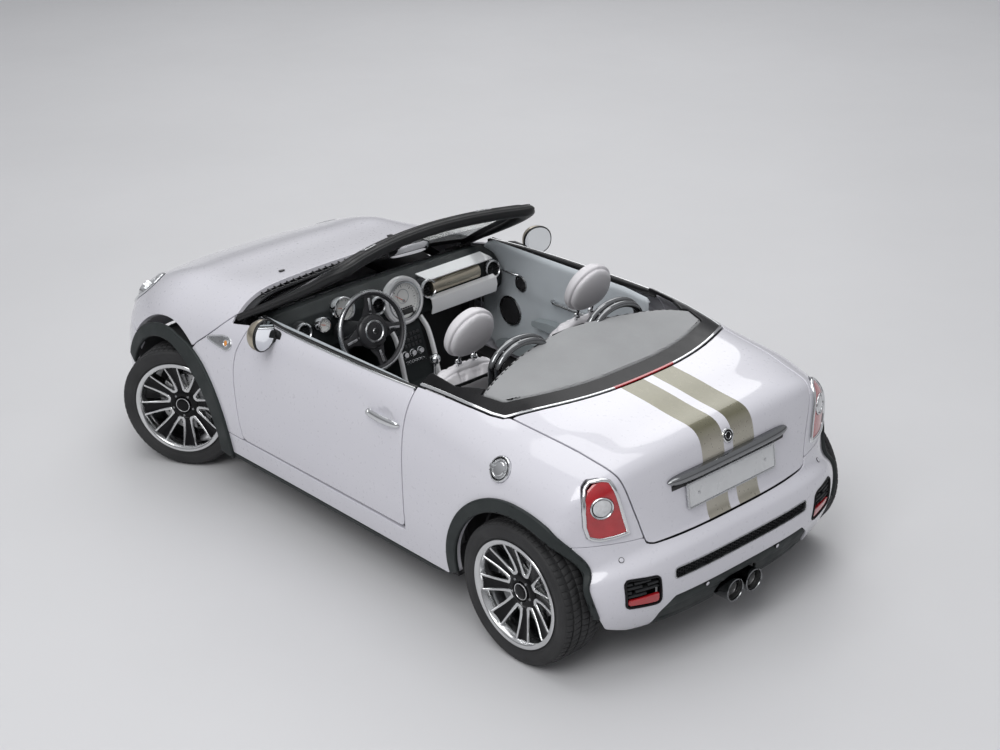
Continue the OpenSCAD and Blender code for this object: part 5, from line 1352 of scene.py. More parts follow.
        # caliper: two cheeks and a bridge over the disc
        cal = Kit()
        for z0, z1 in ((-36, -10), (14, 25.5)):
            rows = [[((q) * math.cos(a), (q) * math.sin(a)) for q in (86, 150)]
                for a in np.radians(np.linspace(-27, 27, 9))]
            outline = [r_[1] for r_ in rows] + [r_[0] for r_ in reversed(rows)]
            cal.add(plate(outline, z0, z1, 4, 3))
        bridge = [[(q * math.cos(a), q * math.sin(a)) for q in (151, 163)] for a in np.radians(np.linspace(-24, 24, 9))]
        cal.add(plate([r_[1] for r_ in bridge] + [r_[0] for r_ in reversed(bridge)], -34, 24, 4, 3))
        turn = placed(rz=caliper_at if sign > 0 else 180 - caliper_at)
        p = np.concatenate(cal.points)
        Kit().add((p, cal.faces), 0, m @ turn).piece(f"caliper_{tag}", ["cast"], holder, "rim_alloy")


def facing(at, normal, up=(0, 0, 1)):
    """A place whose z axis is the normal and whose y axis stands as upright as it can."""
    z = Vector(normal).normalized()
    x = Vector(up).cross(z).normalized()
    m = Matrix((x, z.cross(x), z)).transposed().to_4x4()
    m.translation = at
    return m


def on_body(lift=0.0, side=1, **where):
    """A place on the body's skin, facing out, found from two of its coordinates."""
    u, v = on_skin(side=side, **where)
    p, n = skin(np.array(u), np.array(v)), skin_normal(np.array(u), np.array(v))
    return facing(p + n * lift, n)


def skin_x(y, z, u):
    """The skin's x at many (y, z), from a smooth fit over a stretch of the car."""
    uu, vv = np.meshgrid(np.linspace(*u, 60), np.linspace(-0.98, 0.98, 90), indexing="ij")
    p = skin(uu, vv).reshape(-1, 3)
    keep = (np.abs(p[:, 1]) <= np.abs(y).max() + 40) & (p[:, 2] > z.min() - 30) & (p[:, 2] < z.max() + 30)
    basis = lambda a, b: np.stack([c * d for c in (1 + 0 * a, a ** 2, a ** 4, a ** 6) for d in (1 + 0 * b, b,
        b ** 2)], -1)
    scale = lambda a, b: basis(a / 800, (b - 400) / 300)
    w = np.linalg.lstsq(scale(p[keep, 1], p[keep, 2]), p[keep, 0], rcond=None)[0]
    return scale(y, z) @ w


def trace(outline, u, lift=0.0, side=1, axes="yz", step=14.0, closed=True):
    """A path on the skin under a flat outline, with the skin's normals."""
    ring = np.array(outline, float)
    if closed:
        ring = np.vstack([ring, ring[:1]])
    gone = np.concatenate([[0], np.cumsum(np.linalg.norm(np.diff(ring, axis=0), axis=1))])
    n = max(3, int(gone[-1] / step))
    spots = np.stack([np.interp(np.linspace(0, gone[-1], n + 1), gone, ring[:, k]) for k in (0, 1)], -1)
    uv = np.array([on_skin(u=u, side=side, **dict(zip(axes, (float(a), float(b))))) for a,
        b in (spots[:-1] if closed else spots)])
    p, norm = skin(uv[:, 0], uv[:, 1]), skin_normal(uv[:, 0], uv[:, 1])
    return p + norm * lift, norm


def beading(outline, u, wide, thick, lift=0.0, side=1, axes="yz", step=12.0, closed=True, n=10, power=2.0):
    """A bead laid on the skin along a flat outline; thick is its half height off the skin."""
    p, norm = trace(outline, u, lift, side, axes, step, closed)
    return tube(p, wide, thick, n, up=norm, closed=closed, power=power)


def inward(outline, d):
    """The outline drawn in by d."""
    p = np.array(outline, float)
    a, b = p - np.roll(p, 1, 0), np.roll(p, -1, 0) - p
    a /= np.linalg.norm(a, axis=1, keepdims=True) + 1e-9
    b /= np.linalg.norm(b, axis=1, keepdims=True) + 1e-9
    turn = np.sign(np.sum(p[:, 0] * np.roll(p[:, 1], -1) - np.roll(p[:, 0], -1) * p[:, 1]))
    n = np.stack([-(a + b)[:, 1], (a + b)[:, 0]], -1) * turn
    return p + n / (np.linalg.norm(n, axis=1, keepdims=True) + 1e-9) * d


class ROADSTER_OT_tail(PieceOperator, bpy.types.Operator):
    """Tail lamps, bumper slot and vents, valance, plate, bar and badge"""
    bl_idname = "roadster.tail"
    bl_label = "Tail"

    def make(self, s):
        behind = lambda p: p[..., 0] + 1560
        span = ((23.9, 29.5), (0.4, 0.85))
        frame_ring, lens, inner = Kit(), Kit(), Kit()
        rim = beading(inward(TAIL_LAMP, 4), LAMP_SPAN, 8, 9, 1.0, n=12, power=2.6)
        bulb_ring = beading([(REVERSING[0] + 41 * math.cos(a), REVERSING[1] + 41 * math.sin(a))
            for a in np.linspace(0, 2 * math.pi, 41)[:-1]],
            LAMP_SPAN, 4, 7, 1.5, step=7)
        centre = lambda p: np.hypot(p[..., 1] - REVERSING[0], p[..., 2] - REVERSING[1])
        for flip in (False, True):
            frame_ring.add(rim, flip=flip).add(bulb_ring, flip=flip)
            lens.add(panel_mesh(lambda p: np.max([away(TAIL_LAMP, p[..., 1], p[..., 2]) + 7, 45 - centre(p),
                behind(p)], 0),
                *span, 9, 2.5, 7, inset=-3), flip=flip)
            inner.add(panel_mesh(lambda p: centre(p) - 35.5, *span, 8, 2, 6, inset=-3.5,
                shape=lambda u, v, p: p + np.array([-5.0, 1.5, 0]) * np.clip(1 - (centre(p)[..., None] / 36) ** 2, 0,
                1)), flip=flip)
        frame_ring.piece("tail_lamp_frames", ["chrome"], "car_body", "chrome", ["tail_lamps"])
        lens.piece("tail_lamp_lenses", ["red"], "car_body", "lamp_red")
        inner.piece("reversing_lenses", ["frosted"], "car_body", "lamp_glass")
        # the slot: a bright lip and a honeycomb behind it
        half_slot = [(0, 398)] + [q for q in SLOT if q[0] > 0] + [(0, 446)]
        lip = Kit()
        for flip in (False, True):
            lip.add(beading(half_slot, (28, LAST), 3.2, 10, -7, closed=False, power=3), flip=flip)
        lip.piece("slot_lip", ["satin"], "car_body", "chrome")
        self.honeycomb()
        vents, reflectors, louvres = Kit(), Kit(), Kit()
        side = lambda p: p[..., 0] + 1600
        vent = lambda p, d: away(VENT, np.abs(p[..., 1]), p[..., 2]) + d
        for flip in (False, True):
            vents.add(beading(inward(VENT, 4), VENT_SPAN, 5, 15, -10, power=3.2), flip=flip)
            vents.add(panel_mesh(lambda p: np.max([vent(p, 2), side(p)], 0), VENT_SPAN, (0.25, 0.9), 4, 1, 14,
                inset=34), flip=flip)
            reflectors.add(panel_mesh(lambda p: np.max([vent(p, 11), p[..., 2] - 362, side(p)], 0), VENT_SPAN,
                (0.25, 0.9),
                12, 3, 7, inset=1), flip=flip)
            for z in (378, 396, 414, 432):
                louvres.add(panel_mesh(lambda p: np.max([vent(p, 9), np.abs(p[..., 2] - z) - 5.5, side(p)], 0),
                    VENT_SPAN, (0.25, 0.9),
                    24, 4, 8, inset=3), flip=flip)
        vents.piece("vent_frames", ["gloss black"], "car_body", "dark_plastic")
        louvres.piece("vent_louvres", ["matt black"], "car_body", "dark_plastic")
        reflectors.piece("rear_reflectors", ["red"], "car_body", "lamp_red")

        def under(p):
            y, z = p[..., 1], p[..., 2]
            pipes = np.hypot(np.maximum(np.abs(y) - 57, 0), z - 211) - 62
            sides = away([(-500, 160), (500, 160), (520, 252), (520, 400), (-520, 400), (-520, 252)], y, z)
            return np.max([away(FOOT, y, z) + 1, sides, -pipes], 0)
        ribs = lambda u, v, p: p + np.array([-1.0, 0, 0]) * (7 * np.clip(np.cos((p[..., 2:] - 282) / 17), 0, 1) ** 0.5)
        Kit().add(panel_mesh(under, (31, LAST), (-0.9, 0.9), 14, 4, 10, inset=9, shape=ribs)).piece("valance_skin",
            ["cladding"], "car_body", "dark_plastic", ["valance"])
        sensors = Kit()
        disc = lathe([(0, 4.2), (7.5, 4.2), (8.8, 3.4), (9, 0), (0, 0)], 32)
        cup = lathe([(9.3, -2), (9.3, 2.8), (10.0, 3.3), (11.2, 2.4), (11.2, -2), (9.3, -2)], 32)
        for y, z in ((212, 303), (590, 520)):
            for flip in (False, True):
                m = on_body(y=y, z=z, u=(28, 35))
                sensors.add(disc, 0, m, flip).add(cup, 1, m, flip)
        sensors.piece("parking_sensors", ["paint", "seal"], "car_body", "paint")
        tips = Kit()
        for y in (-57, 57):
            tips.add(lathe([(42.5, 12), (42.5, -4), (43.5, -9), (46.5, -12), (49.5, -9), (50, -3), (50, 60), (47, 90),
                (46.3, 110), (46.3, 30), (42.5, 12)], 64),
                0, placed(-1855, y, 211, ry=90))
            tips.add(lathe([(31, 20), (33, 17), (35, 20), (35, 140), (31, 140), (31, 20)], 48), 1,
                placed(-1855, y, 211, ry=90))
            for a in range(0, 360, 60):
                tips.add(rbox((33, -1.5, 24), (43, 1.5, 70), 1, 1), 1, placed(-1855, y, 211, ry=90) @ placed(rz=a))
        tips.piece("exhaust_tips", ["dark chrome", "steel"], "car_body", "steel")
        # plate, bar and badge ride on the lid
        m = placed(-1774, 0, 681, ry=-90 + 7.2) @ placed(rz=-90)
        trim = Kit()
        ring = lambda w, h: rounded([(-w, -h), (w, -h), (w, h), (-w, h)], 9)
        trim.add(plate(ring(260, 56), -2, 8, 2.5, 3), 0, m)
        trim.add(plate(ring(251, 47), 7.9, 9.2, 0.5, 1), 1, m)
        for w, h, t in ((256, 52, 3.2), (247, 43, 1.2)):
            loop = [(x, y, 8.6) for x, y in ring(w, h)]
            trim.add(tube(loop, t, t, 10, up=(0, 0, 1), closed=True), 0 if t > 2 else 1, m)
        for x in (-196, 196):
            trim.add(lathe([(0, 11.4), (5, 11.2), (7, 9.6), (7, 8), (0, 8)], 24), 0, m @ placed(x, 0, 0))
        trim.piece("number_plate", ["satin", "plate"], "boot_lid", "chrome", ["boot_trim"])
        across_bar = np.linspace(-352, 352, 61)
        bar = [(float(x) - 4, y, 768) for x, y in zip(skin_x(across_bar, np.full(61, 768.0), (26, 31)), across_bar)]
        grow = np.sqrt(np.clip(1 - (np.abs(np.linspace(-1, 1, 61)) ** 9), 0.0, 1))
        core = np.clip(grow, 0.12, 1)
        tubes = Kit().add(tube(bar, 20 * core, 29 * core, 32, up=(-1, 0, 0), power=2.5))
        tubes.piece("boot_bar", ["dark chrome"], "boot_lid", "dark_chrome")
        # painted shadow: a black tube in the rubber seal finish lies under the bar
        groove = Kit().add(tube([(x + 1.5, y, z - 33) for x, y, z in bar[2:-2]], 12, 5, 16, up=(-1, 0, 0)))
        groove.piece("boot_bar_shadow", ["seal"], "boot_lid", "dark_plastic")
        m = on_body(y=0, z=849, u=(25, 30))
        badge = Kit().add(lathe([(0, 5.5), (22, 5), (24.5, 3.4), (25, 0), (0, 0)], 64), 1, m)
        badge.add(lathe([(23, 1), (24, 6.6), (27, 8.4), (30, 6.4), (31, 0), (23, 1)], 64), 0, m)
        badge.add(lathe([(14, 5.6), (14.6, 6.6), (15.8, 6.6), (16.4, 5.5), (14, 5.6)], 48), 0, m)
        badge.piece("boot_badge", ["chrome", "gloss black"], "boot_lid", "chrome")

    def honeycomb(self):
        flat = Kit()
        r, wall, deep = 8.6, 1.5, 9.0
        for i in range(-31, 32):
            for j in range(-2, 3):
                y, z = i * r * 1.5, 422 + j * r * math.sqrt(3) + (i % 2) * r * math.sqrt(3) / 2
                if away(SLOT, np.array(y), np.array(z)) > 2:
                    continue
                rings = []
                for q, x in ((r, deep), (r, 0), (r - wall, 0), (r - wall, deep)):
                    rings.append([(x, y + q * math.cos(a), z + q * math.sin(a))
                        for a in np.radians(np.arange(0, 360, 60))])
                p = np.array(rings).reshape(-1, 3)
                f = [(k * 6 + a, k * 6 + (a + 1) % 6, ((k + 1) % 4) * 6 + (a + 1) % 6, ((k + 1) % 4) * 6 + a)
                    for k in range(4) for a in range(6)]
                flat.add(tidy(p, f))
        p = np.concatenate(flat.points)
        p[:, 0] += skin_x(p[:, 1], p[:, 2], (29, 35)) + 14
        Kit().add((p, flat.faces)).add(panel_mesh(lambda p: np.maximum(away(SLOT, p[..., 1], p[..., 2]) - 8,
            p[..., 0] + 1700),
            (28, LAST), (-0.85, 0.85), 3, 1, 16, inset=27)).piece("slot_mesh", ["matt black"], "car_body",
            "dark_plastic", ["rear_vents"], angle=30)


def loft(rings):
    """A closed solid through closed rings of points, capped at both ends."""
    g = np.asarray(rings, float)
    m, k = g.shape[:2]
    f = [(i * k + j, i * k + (j + 1) % k, (i + 1) * k + (j + 1) % k, (i + 1) * k + j) for i in range(m - 1)
        for j in range(k)]
    f += [tuple(range(k))[::-1], tuple((m - 1) * k + j for j in range(k))]
    return tidy(g.reshape(-1, 3), f)


def across(profile, y0, y1, n=24, bulge=None):
    """A profile of (x, z) carried along y between two stations."""
    prof = np.array(profile, float)
    rows = []
    for y in np.linspace(y0, y1, n):
        p = np.stack([prof[:, 0], np.full(len(prof), y), prof[:, 1]], -1)
        rows.append(bulge(p) if bulge else p)
    return loft(rows)


def oval(w, t, power, n=44):
    a = 2 * np.pi * (np.arange(n) + 0.5) / n
    c, s = np.cos(a), np.sin(a)
    return np.stack([w * np.sign(c) * np.abs(c) ** (2 / power), t * np.sign(s) * np.abs(s) ** (2 / power)], -1)


def puffed(name, geo, voxel, cap, seams, place):
    """A sewn pad: remeshed, blown up by cloth pressure, then drawn in along its seams."""
    mesh = bpy.data.meshes.new(name)
    mesh.from_pydata((np.asarray(geo[0]) / 1000).tolist(), [], geo[1])
    obj = bpy.data.objects.new(name, mesh)
    bpy.context.scene.collection.objects.link(obj)
    scene = bpy.context.scene
    remesh = obj.modifiers.new("Even faces", "REMESH")
    remesh.mode, remesh.voxel_size = "VOXEL", (0.014 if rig.quick() else voxel)
    apply_all(obj)
    start = points_of(obj)
    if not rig.quick():
        cloth = obj.modifiers.new("Air", "CLOTH")
        c = cloth.settings
        c.use_pressure, c.uniform_pressure_force, c.quality = True, 4.0, 6
        c.effector_weights.gravity = 0
        c.tension_stiffness = c.compression_stiffness = 15
        c.shear_stiffness, c.bending_stiffness = 5, 0.6
        cloth.point_cache.frame_start, cloth.point_cache.frame_end = 1, 20
        for k in range(1, 21):
            scene.frame_set(k)
        apply_all(obj)
        scene.frame_set(1)
    p = points_of(obj)
    move = p - start
    far = np.linalg.norm(move, axis=1, keepdims=True)
    p = start + move * np.minimum(1, cap / np.maximum(far, 1e-6))
    obj.data.vertices.foreach_set("co", (p / 1000).ravel())
    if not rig.quick():
        sub = obj.modifiers.new("Fine", "SUBSURF")
        sub.levels = sub.render_levels = 1
        apply_all(obj)
    p = points_of(obj)
    n = np.zeros(len(p) * 3)
    obj.data.vertices.foreach_get("normal", n)
    p = p - n.reshape(-1, 3) * seams(p)[:, None]
    faces = [tuple(q.vertices) for q in obj.data.polygons]
    bpy.data.objects.remove(obj)
    m = np.array(place)
    return p @ m[:3, :3].T + m[:3, 3], faces


def points_of(obj):
    p = np.zeros(len(obj.data.vertices) * 3)
    obj.data.vertices.foreach_get("co", p)
    return p.reshape(-1, 3) * 1000


def apply_all(obj):
    """Keeps what the modifiers make, and drops them."""
    seen = obj.evaluated_get(bpy.context.evaluated_depsgraph_get())
    mesh = bpy.data.meshes.new_from_object(seen)
    obj.modifiers.clear()
    obj.data = mesh


def groove(d, deep, wide):
    """How far a seam at distance d draws the cover in, with the swell beside it."""
    return deep * np.exp(-(d / wide) ** 2) - 0.35 * deep * np.exp(-((np.abs(d) - 2.6 * wide) / (1.6 * wide)) ** 2)


BACK = placed(-392, 0, 360, ry=-18)
COLUMN = placed(33, 370, 876, ry=-73)  # centre and axis of the steering wheel


class ROADSTER_OT_seats(PieceOperator, bpy.types.Operator):
    """Seats: blown-up cushion, back and headrest with sewn seams, on their rails"""
    bl_idname = "roadster.seats"
    bl_label = "Seats"

    def make(self, s):
        # cushion: rings from back to front, bolsters at both sides
        rings = []
        for t in np.linspace(-1, 1, 27):
            x = -172 + 244 * np.sign(t) * abs(t) ** 0.9
            shut = (1 - abs(t) ** 6) ** (1 / 2.6) if abs(t) < 1 else 0.05
            q = oval(226 * max(shut, 0.3), 60 * max(shut, 0.12), 3.2)
            top = np.clip(q[:, 1] / 60, 0, 1)
            bolster = 17 * np.exp(-((np.abs(q[:, 0]) - 178) / 34) ** 2) * top
            z = 362 + q[:, 1] + bolster + 12 * np.clip(t, 0, 1) ** 2 * top - 10 * np.clip(t - 0.8, 0, 1)
            rings.append(np.stack([np.full(len(q), x), q[:, 0], z], -1))

        def cushion_seams(p):
            top = (p[:, 2] > 372).astype(float)
            side = np.abs(np.abs(p[:, 1]) - 146 - 10 * np.cos(p[:, 0] / 160))
            cross = np.minimum(np.abs(p[:, 0] + 90), np.abs(p[:, 0] + 215))
            belt = np.abs(p[:, 2] - 352)
            return (groove(side, 5, 4) + groove(cross, 3.4, 4) * (np.abs(p[:, 1]) < 144)) * top + groove(belt, 3.2,
                3.4) * (p[:, 0] > -400)
        cushion = puffed("cushion", loft(rings), 0.0066, 24, cushion_seams, Matrix())
        # back: rings from foot to top, in the back's own frame
        rings = []
        for t in np.linspace(0, 1, 33):
            z = 42 + 560 * t
            w = np.interp(t, [0, 0.06, 0.3, 0.62, 0.85, 0.95, 1], [150, 205, 222, 226, 190, 150, 70])
            deep = np.interp(t, [0, 0.06, 0.5, 0.85, 0.95, 1], [30, 52, 52, 40, 30, 10])
            q = oval(w, deep, 3.0)
            front = np.clip(q[:, 1] / deep, 0, 1)
            bolster = 26 * np.exp(-((np.abs(q[:, 0]) - 0.79 * w) / 36) ** 2) * front * np.interp(t,
                [0, 0.1, 0.7, 0.92, 1], [0.4, 1, 1, 0.2, 0])
            rings.append(np.stack([-16 + q[:, 1] + bolster - 8 * front * np.sin(np.pi * t), q[:, 0],
                np.full(len(q), z)], -1))

        def back_seams(p):
            front = (p[:, 0] > 2).astype(float)
            w = np.interp(p[:, 2], [42, 200, 400, 520, 602], [140, 146, 150, 128, 80])
            side = np.abs(np.abs(p[:, 1]) - w)
            cross = np.min([np.abs(p[:, 2] - h - 14 * (1 - (p[:, 1] / 150) ** 2)) for h in (150, 250, 350, 450)], 0)
            gusset = np.abs(p[:, 0] + 38 - 0.03 * np.abs(p[:, 1]))
            return (groove(side, 5, 4) + groove(cross, 3.6, 4.2) * (np.abs(p[:, 1]) < w - 4)) * front + groove(gusset,
                3.6, 3.4)
        back = puffed("back", loft(rings), 0.0066, 24, back_seams, BACK)
        # headrest: a deep egg, flat behind, its side sewn on as a gusset
        rings = []
        for t in np.linspace(-1, 1, 25):
            shut = math.sqrt(max(0.02, 1 - abs(t) ** 2.3))
            w = 125 * shut * (1 - 0.10 * t)
            q = oval(w, 47 * (0.35 + 0.65 * shut), 2.6)
            rings.append(np.stack([q[:, 1] + 4, q[:, 0], np.full(len(q), 737 + 112 * t)], -1))
        head_seams = lambda p: (groove(np.abs(p[:, 0] + 17), 6.0, 5.0) * np.clip((p[:, 2] - 640) / 20, 0, 1)
            + groove(np.abs(p[:, 0] - 38), 2.4, 3.0))
        head = puffed("headrest", loft(rings), 0.0055, 16, head_seams, BACK)
        metal = Kit()
        for y in (-44, 44):
            rod = tube([(-12, y, 560), (-12, y, 650), (-8, y * 0.98, 690)], 6.5, n=14)
            metal.add(rod, place=BACK)
            metal.add(lathe([(7, 596), (15, 596), (16, 600), (13, 606), (7, 607)], 24), place=BACK @ placed(-12, y, 0))
        rails = Kit()
        for y in (-170, 170):
            rails.add(rbox((-392, y - 20, 201), (52, y + 20, 232), 3), 0)
            rails.add(rbox((-360, y - 13, 230), (20, y + 13, 305), 4), 0)
            for x in (-376, 36):
                rails.add(lathe([(0, 244), (8, 244), (9, 236), (13, 234), (13, 230), (0, 230)], 6), 1, placed(x, y, 0))
        rails.add(rbox((-300, -172, 262), (-262, 172, 282), 6), 0)
        # the moulded shell behind the back, and its side lever
        rows = []
        for t in np.linspace(0, 1, 16):
            z = 70 + 470 * t
            w = np.interp(t, [0, 0.5, 1], [176, 182, 142])
            rows.append([(-66 - 12 * math.cos(a * 0.9) * (1 - 0.3 * t), w * math.sin(a), z) for a in np.linspace(-1.3,
                1.3, 15)])
        hard = Kit().add(shell(np.array(rows)[:, ::-1], 4), 0, BACK)
        lever = tube([(-30, 222, 40), (-20, 238, 52), (40, 240, 60), (86, 238, 54)], [11, 10, 9, 7], 5, 14)
        hard.add(lever, 0, BACK)
        for side, sign in (("left", 1), ("right", -1)):
            skin_ = ["leather"]
            for what, geo, fill in (("cushion", cushion, 0.75), ("back", back, 0.75), ("headrest", head, 0.9)):
                one = Kit().add(geo, 0, None, flip=sign < 0)
                one.points[0] = one.points[0] + np.array([0, 350.0 * sign, 0])
                obj = one.piece(f"seat_{side}_{what}", skin_, "car_body", "white_leather", [f"seat_{side}"]
                    if what == "cushion" else (), 60)
                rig.padded(obj, fill)
            for kit, what, mats in ((metal, "posts", ["chrome"]), (rails, "rails", ["matt black", "steel"]),
                (hard, "shell", ["matt black"])):
                geo = (np.concatenate(kit.points), kit.faces)
                one = Kit().add(geo, flip=sign < 0)
                one.points[0] = one.points[0] + np.array([0, 350.0 * sign, 0])
                one.mats = list(kit.mats)
                one.piece(f"seat_{side}_{what}", mats, "car_body", "frame_black")


class ROADSTER_OT_dash(PieceOperator, bpy.types.Operator):
    """Dashboard, its vents, tube and white panels, the big dial and the console"""
    bl_idname = "roadster.dash"
    bl_label = "Dashboard"

    def make(self, s):
        prof = rounded([(596, 706), (310, 706), (276, 744), (272, 800), (296, 868), (330, 902), (420, 921), (500, 897),
            (590, 868)], 26, 6)

        def bulge(p):
            p = p.copy()
            y = abs(p[0, 1]) / 640
            p[:, 0] = 596 - (596 - p[:, 0]) * (1 - 0.05 * y ** 2)
            p[:, 2] = 706 + (p[:, 2] - 706) * (1 - 0.06 * y ** 3)
            return p
        top = Kit().add(across(prof, -642, 642, 40, bulge))
        # a hood over the screen's demister slots, and the door-side cheeks
        for sign in (1, -1):
            top.add(rbox((300, sign * 596 - 30, 706), (520, sign * 596 + 44, 860), 22, 4))
        top.piece("dash_skin", ["dash"], "car_body", "dark_plastic", ["dashboard"])
        slots = Kit()
        for y in np.linspace(-480, 480, 9):
            slots.add(rbox((520, y - 44, 884), (534, y + 44, 893), 2.5, 2))
        slots.piece("demister_slots", ["shadow"], "car_body", "dark_plastic")
        # passenger's side: a champagne tube between white panels
        tube_, white = Kit(), Kit()
        roller = [(0, 0), (31, 0), (37, 3), (38, 8), (38, 296), (37, 301), (31, 304), (0, 304)]
        tube_.add(lathe(roller, 56), place=placed(285, -172, 862, rx=90))
        tube_.piece("dash_tube", ["bronze"], "car_body", "chrome")
        rows = [[(x, y, z + 10 * math.sin(math.pi * k)) for k, (x, z) in ((0, (262, 820)), (0.4, (240, 803)),
            (0.75, (234, 772)),
            (1, (244, 742)))] for y in np.linspace(-560, -150, 14)]
        white.add(shell(np.array(rows)[::-1], 6))
        rows = [[(x, y, z) for x, z in ((262, 905 - 3), (292, 908), (326, 909), (352, 912))]
            for y in np.linspace(-560, -150, 10)]
        white.add(shell(np.array(rows), 5))
        # white housing round the big dial, wrapping down to the console
        spot = facing((276, 0, 846), (-0.978, 0, 0.208)) @ Matrix.Diagonal((0.8, 0.8, 1, 1))
        ringy = lathe([(112, -12), (140, -12), (146, 0), (142, 20), (130, 27), (118, 25), (113, 15), (112, -12)], 80)
        white.add(ringy, place=spot)
        white.piece("dash_white", ["white plastic"], "car_body", "dark_plastic")
        ring = Kit().add(lathe([(101, 10), (113, 10), (114.5, 24), (111, 31), (105, 31), (101, 24), (101, 10)], 80),
            place=spot)
        ring.add(lathe([(40, 12.4), (42.5, 12.4), (42.5, 15), (40, 15), (40, 12.4)], 60), place=spot @ placed(0, 26, 0))
        face = Kit().add(lathe([(0, 12), (102, 12), (102, 4), (0, 4)], 80), place=spot)
        marks, needle = Kit(), Kit()
        for k in range(25):
            a = math.radians(-130 + 260 * k / 24)
            long = 15 if k % 4 == 0 else 8
            marks.add(rbox((-0.9 - 0.7 * (k % 4 == 0), 92 - long, 11.8), (0.9 + 0.7 * (k % 4 == 0), 92, 13), 0.4, 1),
                place=spot @ placed(rz=-math.degrees(a)))
        marks.add(rbox((-58, -86, 12), (58, -52, 16), 5, 2), place=spot)
        for k in range(6):
            marks.add(rbox((-52 + 18 * k, -49, 12), (-38 + 18 * k, -41, 17), 2, 2), place=spot)
        needle.add(tube([(0, -12, 15), (0, 70, 15)], [2.6, 0.7], [1.2, 0.6], 8), 0, spot @ placed(rz=52))
        needle.add(lathe([(0, 18), (7, 18), (9, 15), (9, 12), (0, 12)], 28), 1, spot)
        ring.piece("big_dial_rings", ["chrome"], "car_body", "chrome")
        face.piece("big_dial_face", ["dial"], "car_body", "dark_plastic")
        marks.piece("big_dial_markings", ["marking"], "car_body", "dark_plastic")
        needle.piece("big_dial_needle", ["needle", "chrome"], "car_body", "chrome")
        # round vents: a pale ring, a dark bowl and turning vanes
        ringk, bowl, vanes = Kit(), Kit(), Kit()
        for y, z, r, x in ((-585, 832, 46, 292), (-152, 865, 44, 262), (150, 865, 42, 268), (560, 850, 42, 292)):
            m = facing((x, y, z), (-0.985, 0.0, 0.17))
            ringk.add(lathe([(r - 9, -8), (r, -8), (r + 3, 2), (r + 1, 9), (r - 5, 12), (r - 9, 8), (r - 9, -8)], 56),
                place=m)
            bowl.add(lathe([(0, -22), (r - 12, -20), (r - 9, -4), (r - 8, 5), (r - 4, 6), (r + 2, -4), (r + 8, -30),
                (r, -60), (0, -60)][::-1], 56), place=m)
            for k in (-2, -1, 0, 1, 2):
                w = math.sqrt(max(1, (r - 10) ** 2 - (k * 13) ** 2))
                vanes.add(rbox((-w, k * 13 - 1.2, -16), (w, k * 13 + 1.2, -2), 1, 1), place=m)
            vanes.add(lathe([(0, 2), (6, 2), (8, -2), (8, -14), (0, -14)], 24), place=m)
        ringk.piece("vent_rings", ["satin"], "car_body", "chrome")
        bowl.piece("vent_bowls", ["matt black"], "car_body", "dark_plastic")
        vanes.piece("vent_vanes", ["black"], "car_body", "dark_plastic")
        # pods on the column: the rev counter and a smaller gauge beside it
        pod, dial = Kit(), Kit()
        for at, r in (((236, 370, 925), 56), ((262, 470, 868), 36)):
            m = facing(at, (-0.966, 0, 0.26))
            pod.add(lathe([(0, -52), (r - 14, -50), (r - 3, -40), (r, -24), (r + 1, 8), (r - 1, 13), (r - 6, 14),
                (r - 8, 8), (r - 8, 0), (0, 0)], 56), place=m)
            dial.add(lathe([(0, 2.5), (r - 9, 2.5), (r - 9, 0.4), (0, 0.4)], 48), 0, m)
            for k in range(9):
                dial.add(rbox((-0.8, r - 21, 2.2), (0.8, r - 12, 3.4), 0.3, 1), 1, m @ placed(rz=-120 + 30 * k))
            dial.add(tube([(0, -8, 5), (0, r - 18, 5)], [2, 0.5], [1, 0.5], 8), 2, m @ placed(rz=70))
        pod.add(tube([(262, 370, 800), (244, 372, 850), (250, 372, 884)], [26, 20, 17], 12, 16))
        pod.piece("gauge_pods", ["chrome"], "car_body", "chrome")
        dial.piece("gauge_dials", ["dial", "marking", "needle"], "car_body", "dark_plastic")
        column = Kit().add(lathe([(0, -250), (38, -250), (46, -236), (48, -150), (44, -110), (38, -84), (24, -78),
            (0, -78)], 40), place=COLUMN)
        for sign in (1, -1):
            stalk = tube([(-4, sign * 40, -96), (-8, sign * 92, -84), (-6, sign * 136, -76)], [7, 6, 8], 5.5, 12)
            column.add(stalk, 0, COLUMN)
        column.piece("column_shroud", ["matt black"], "car_body", "dark_plastic")
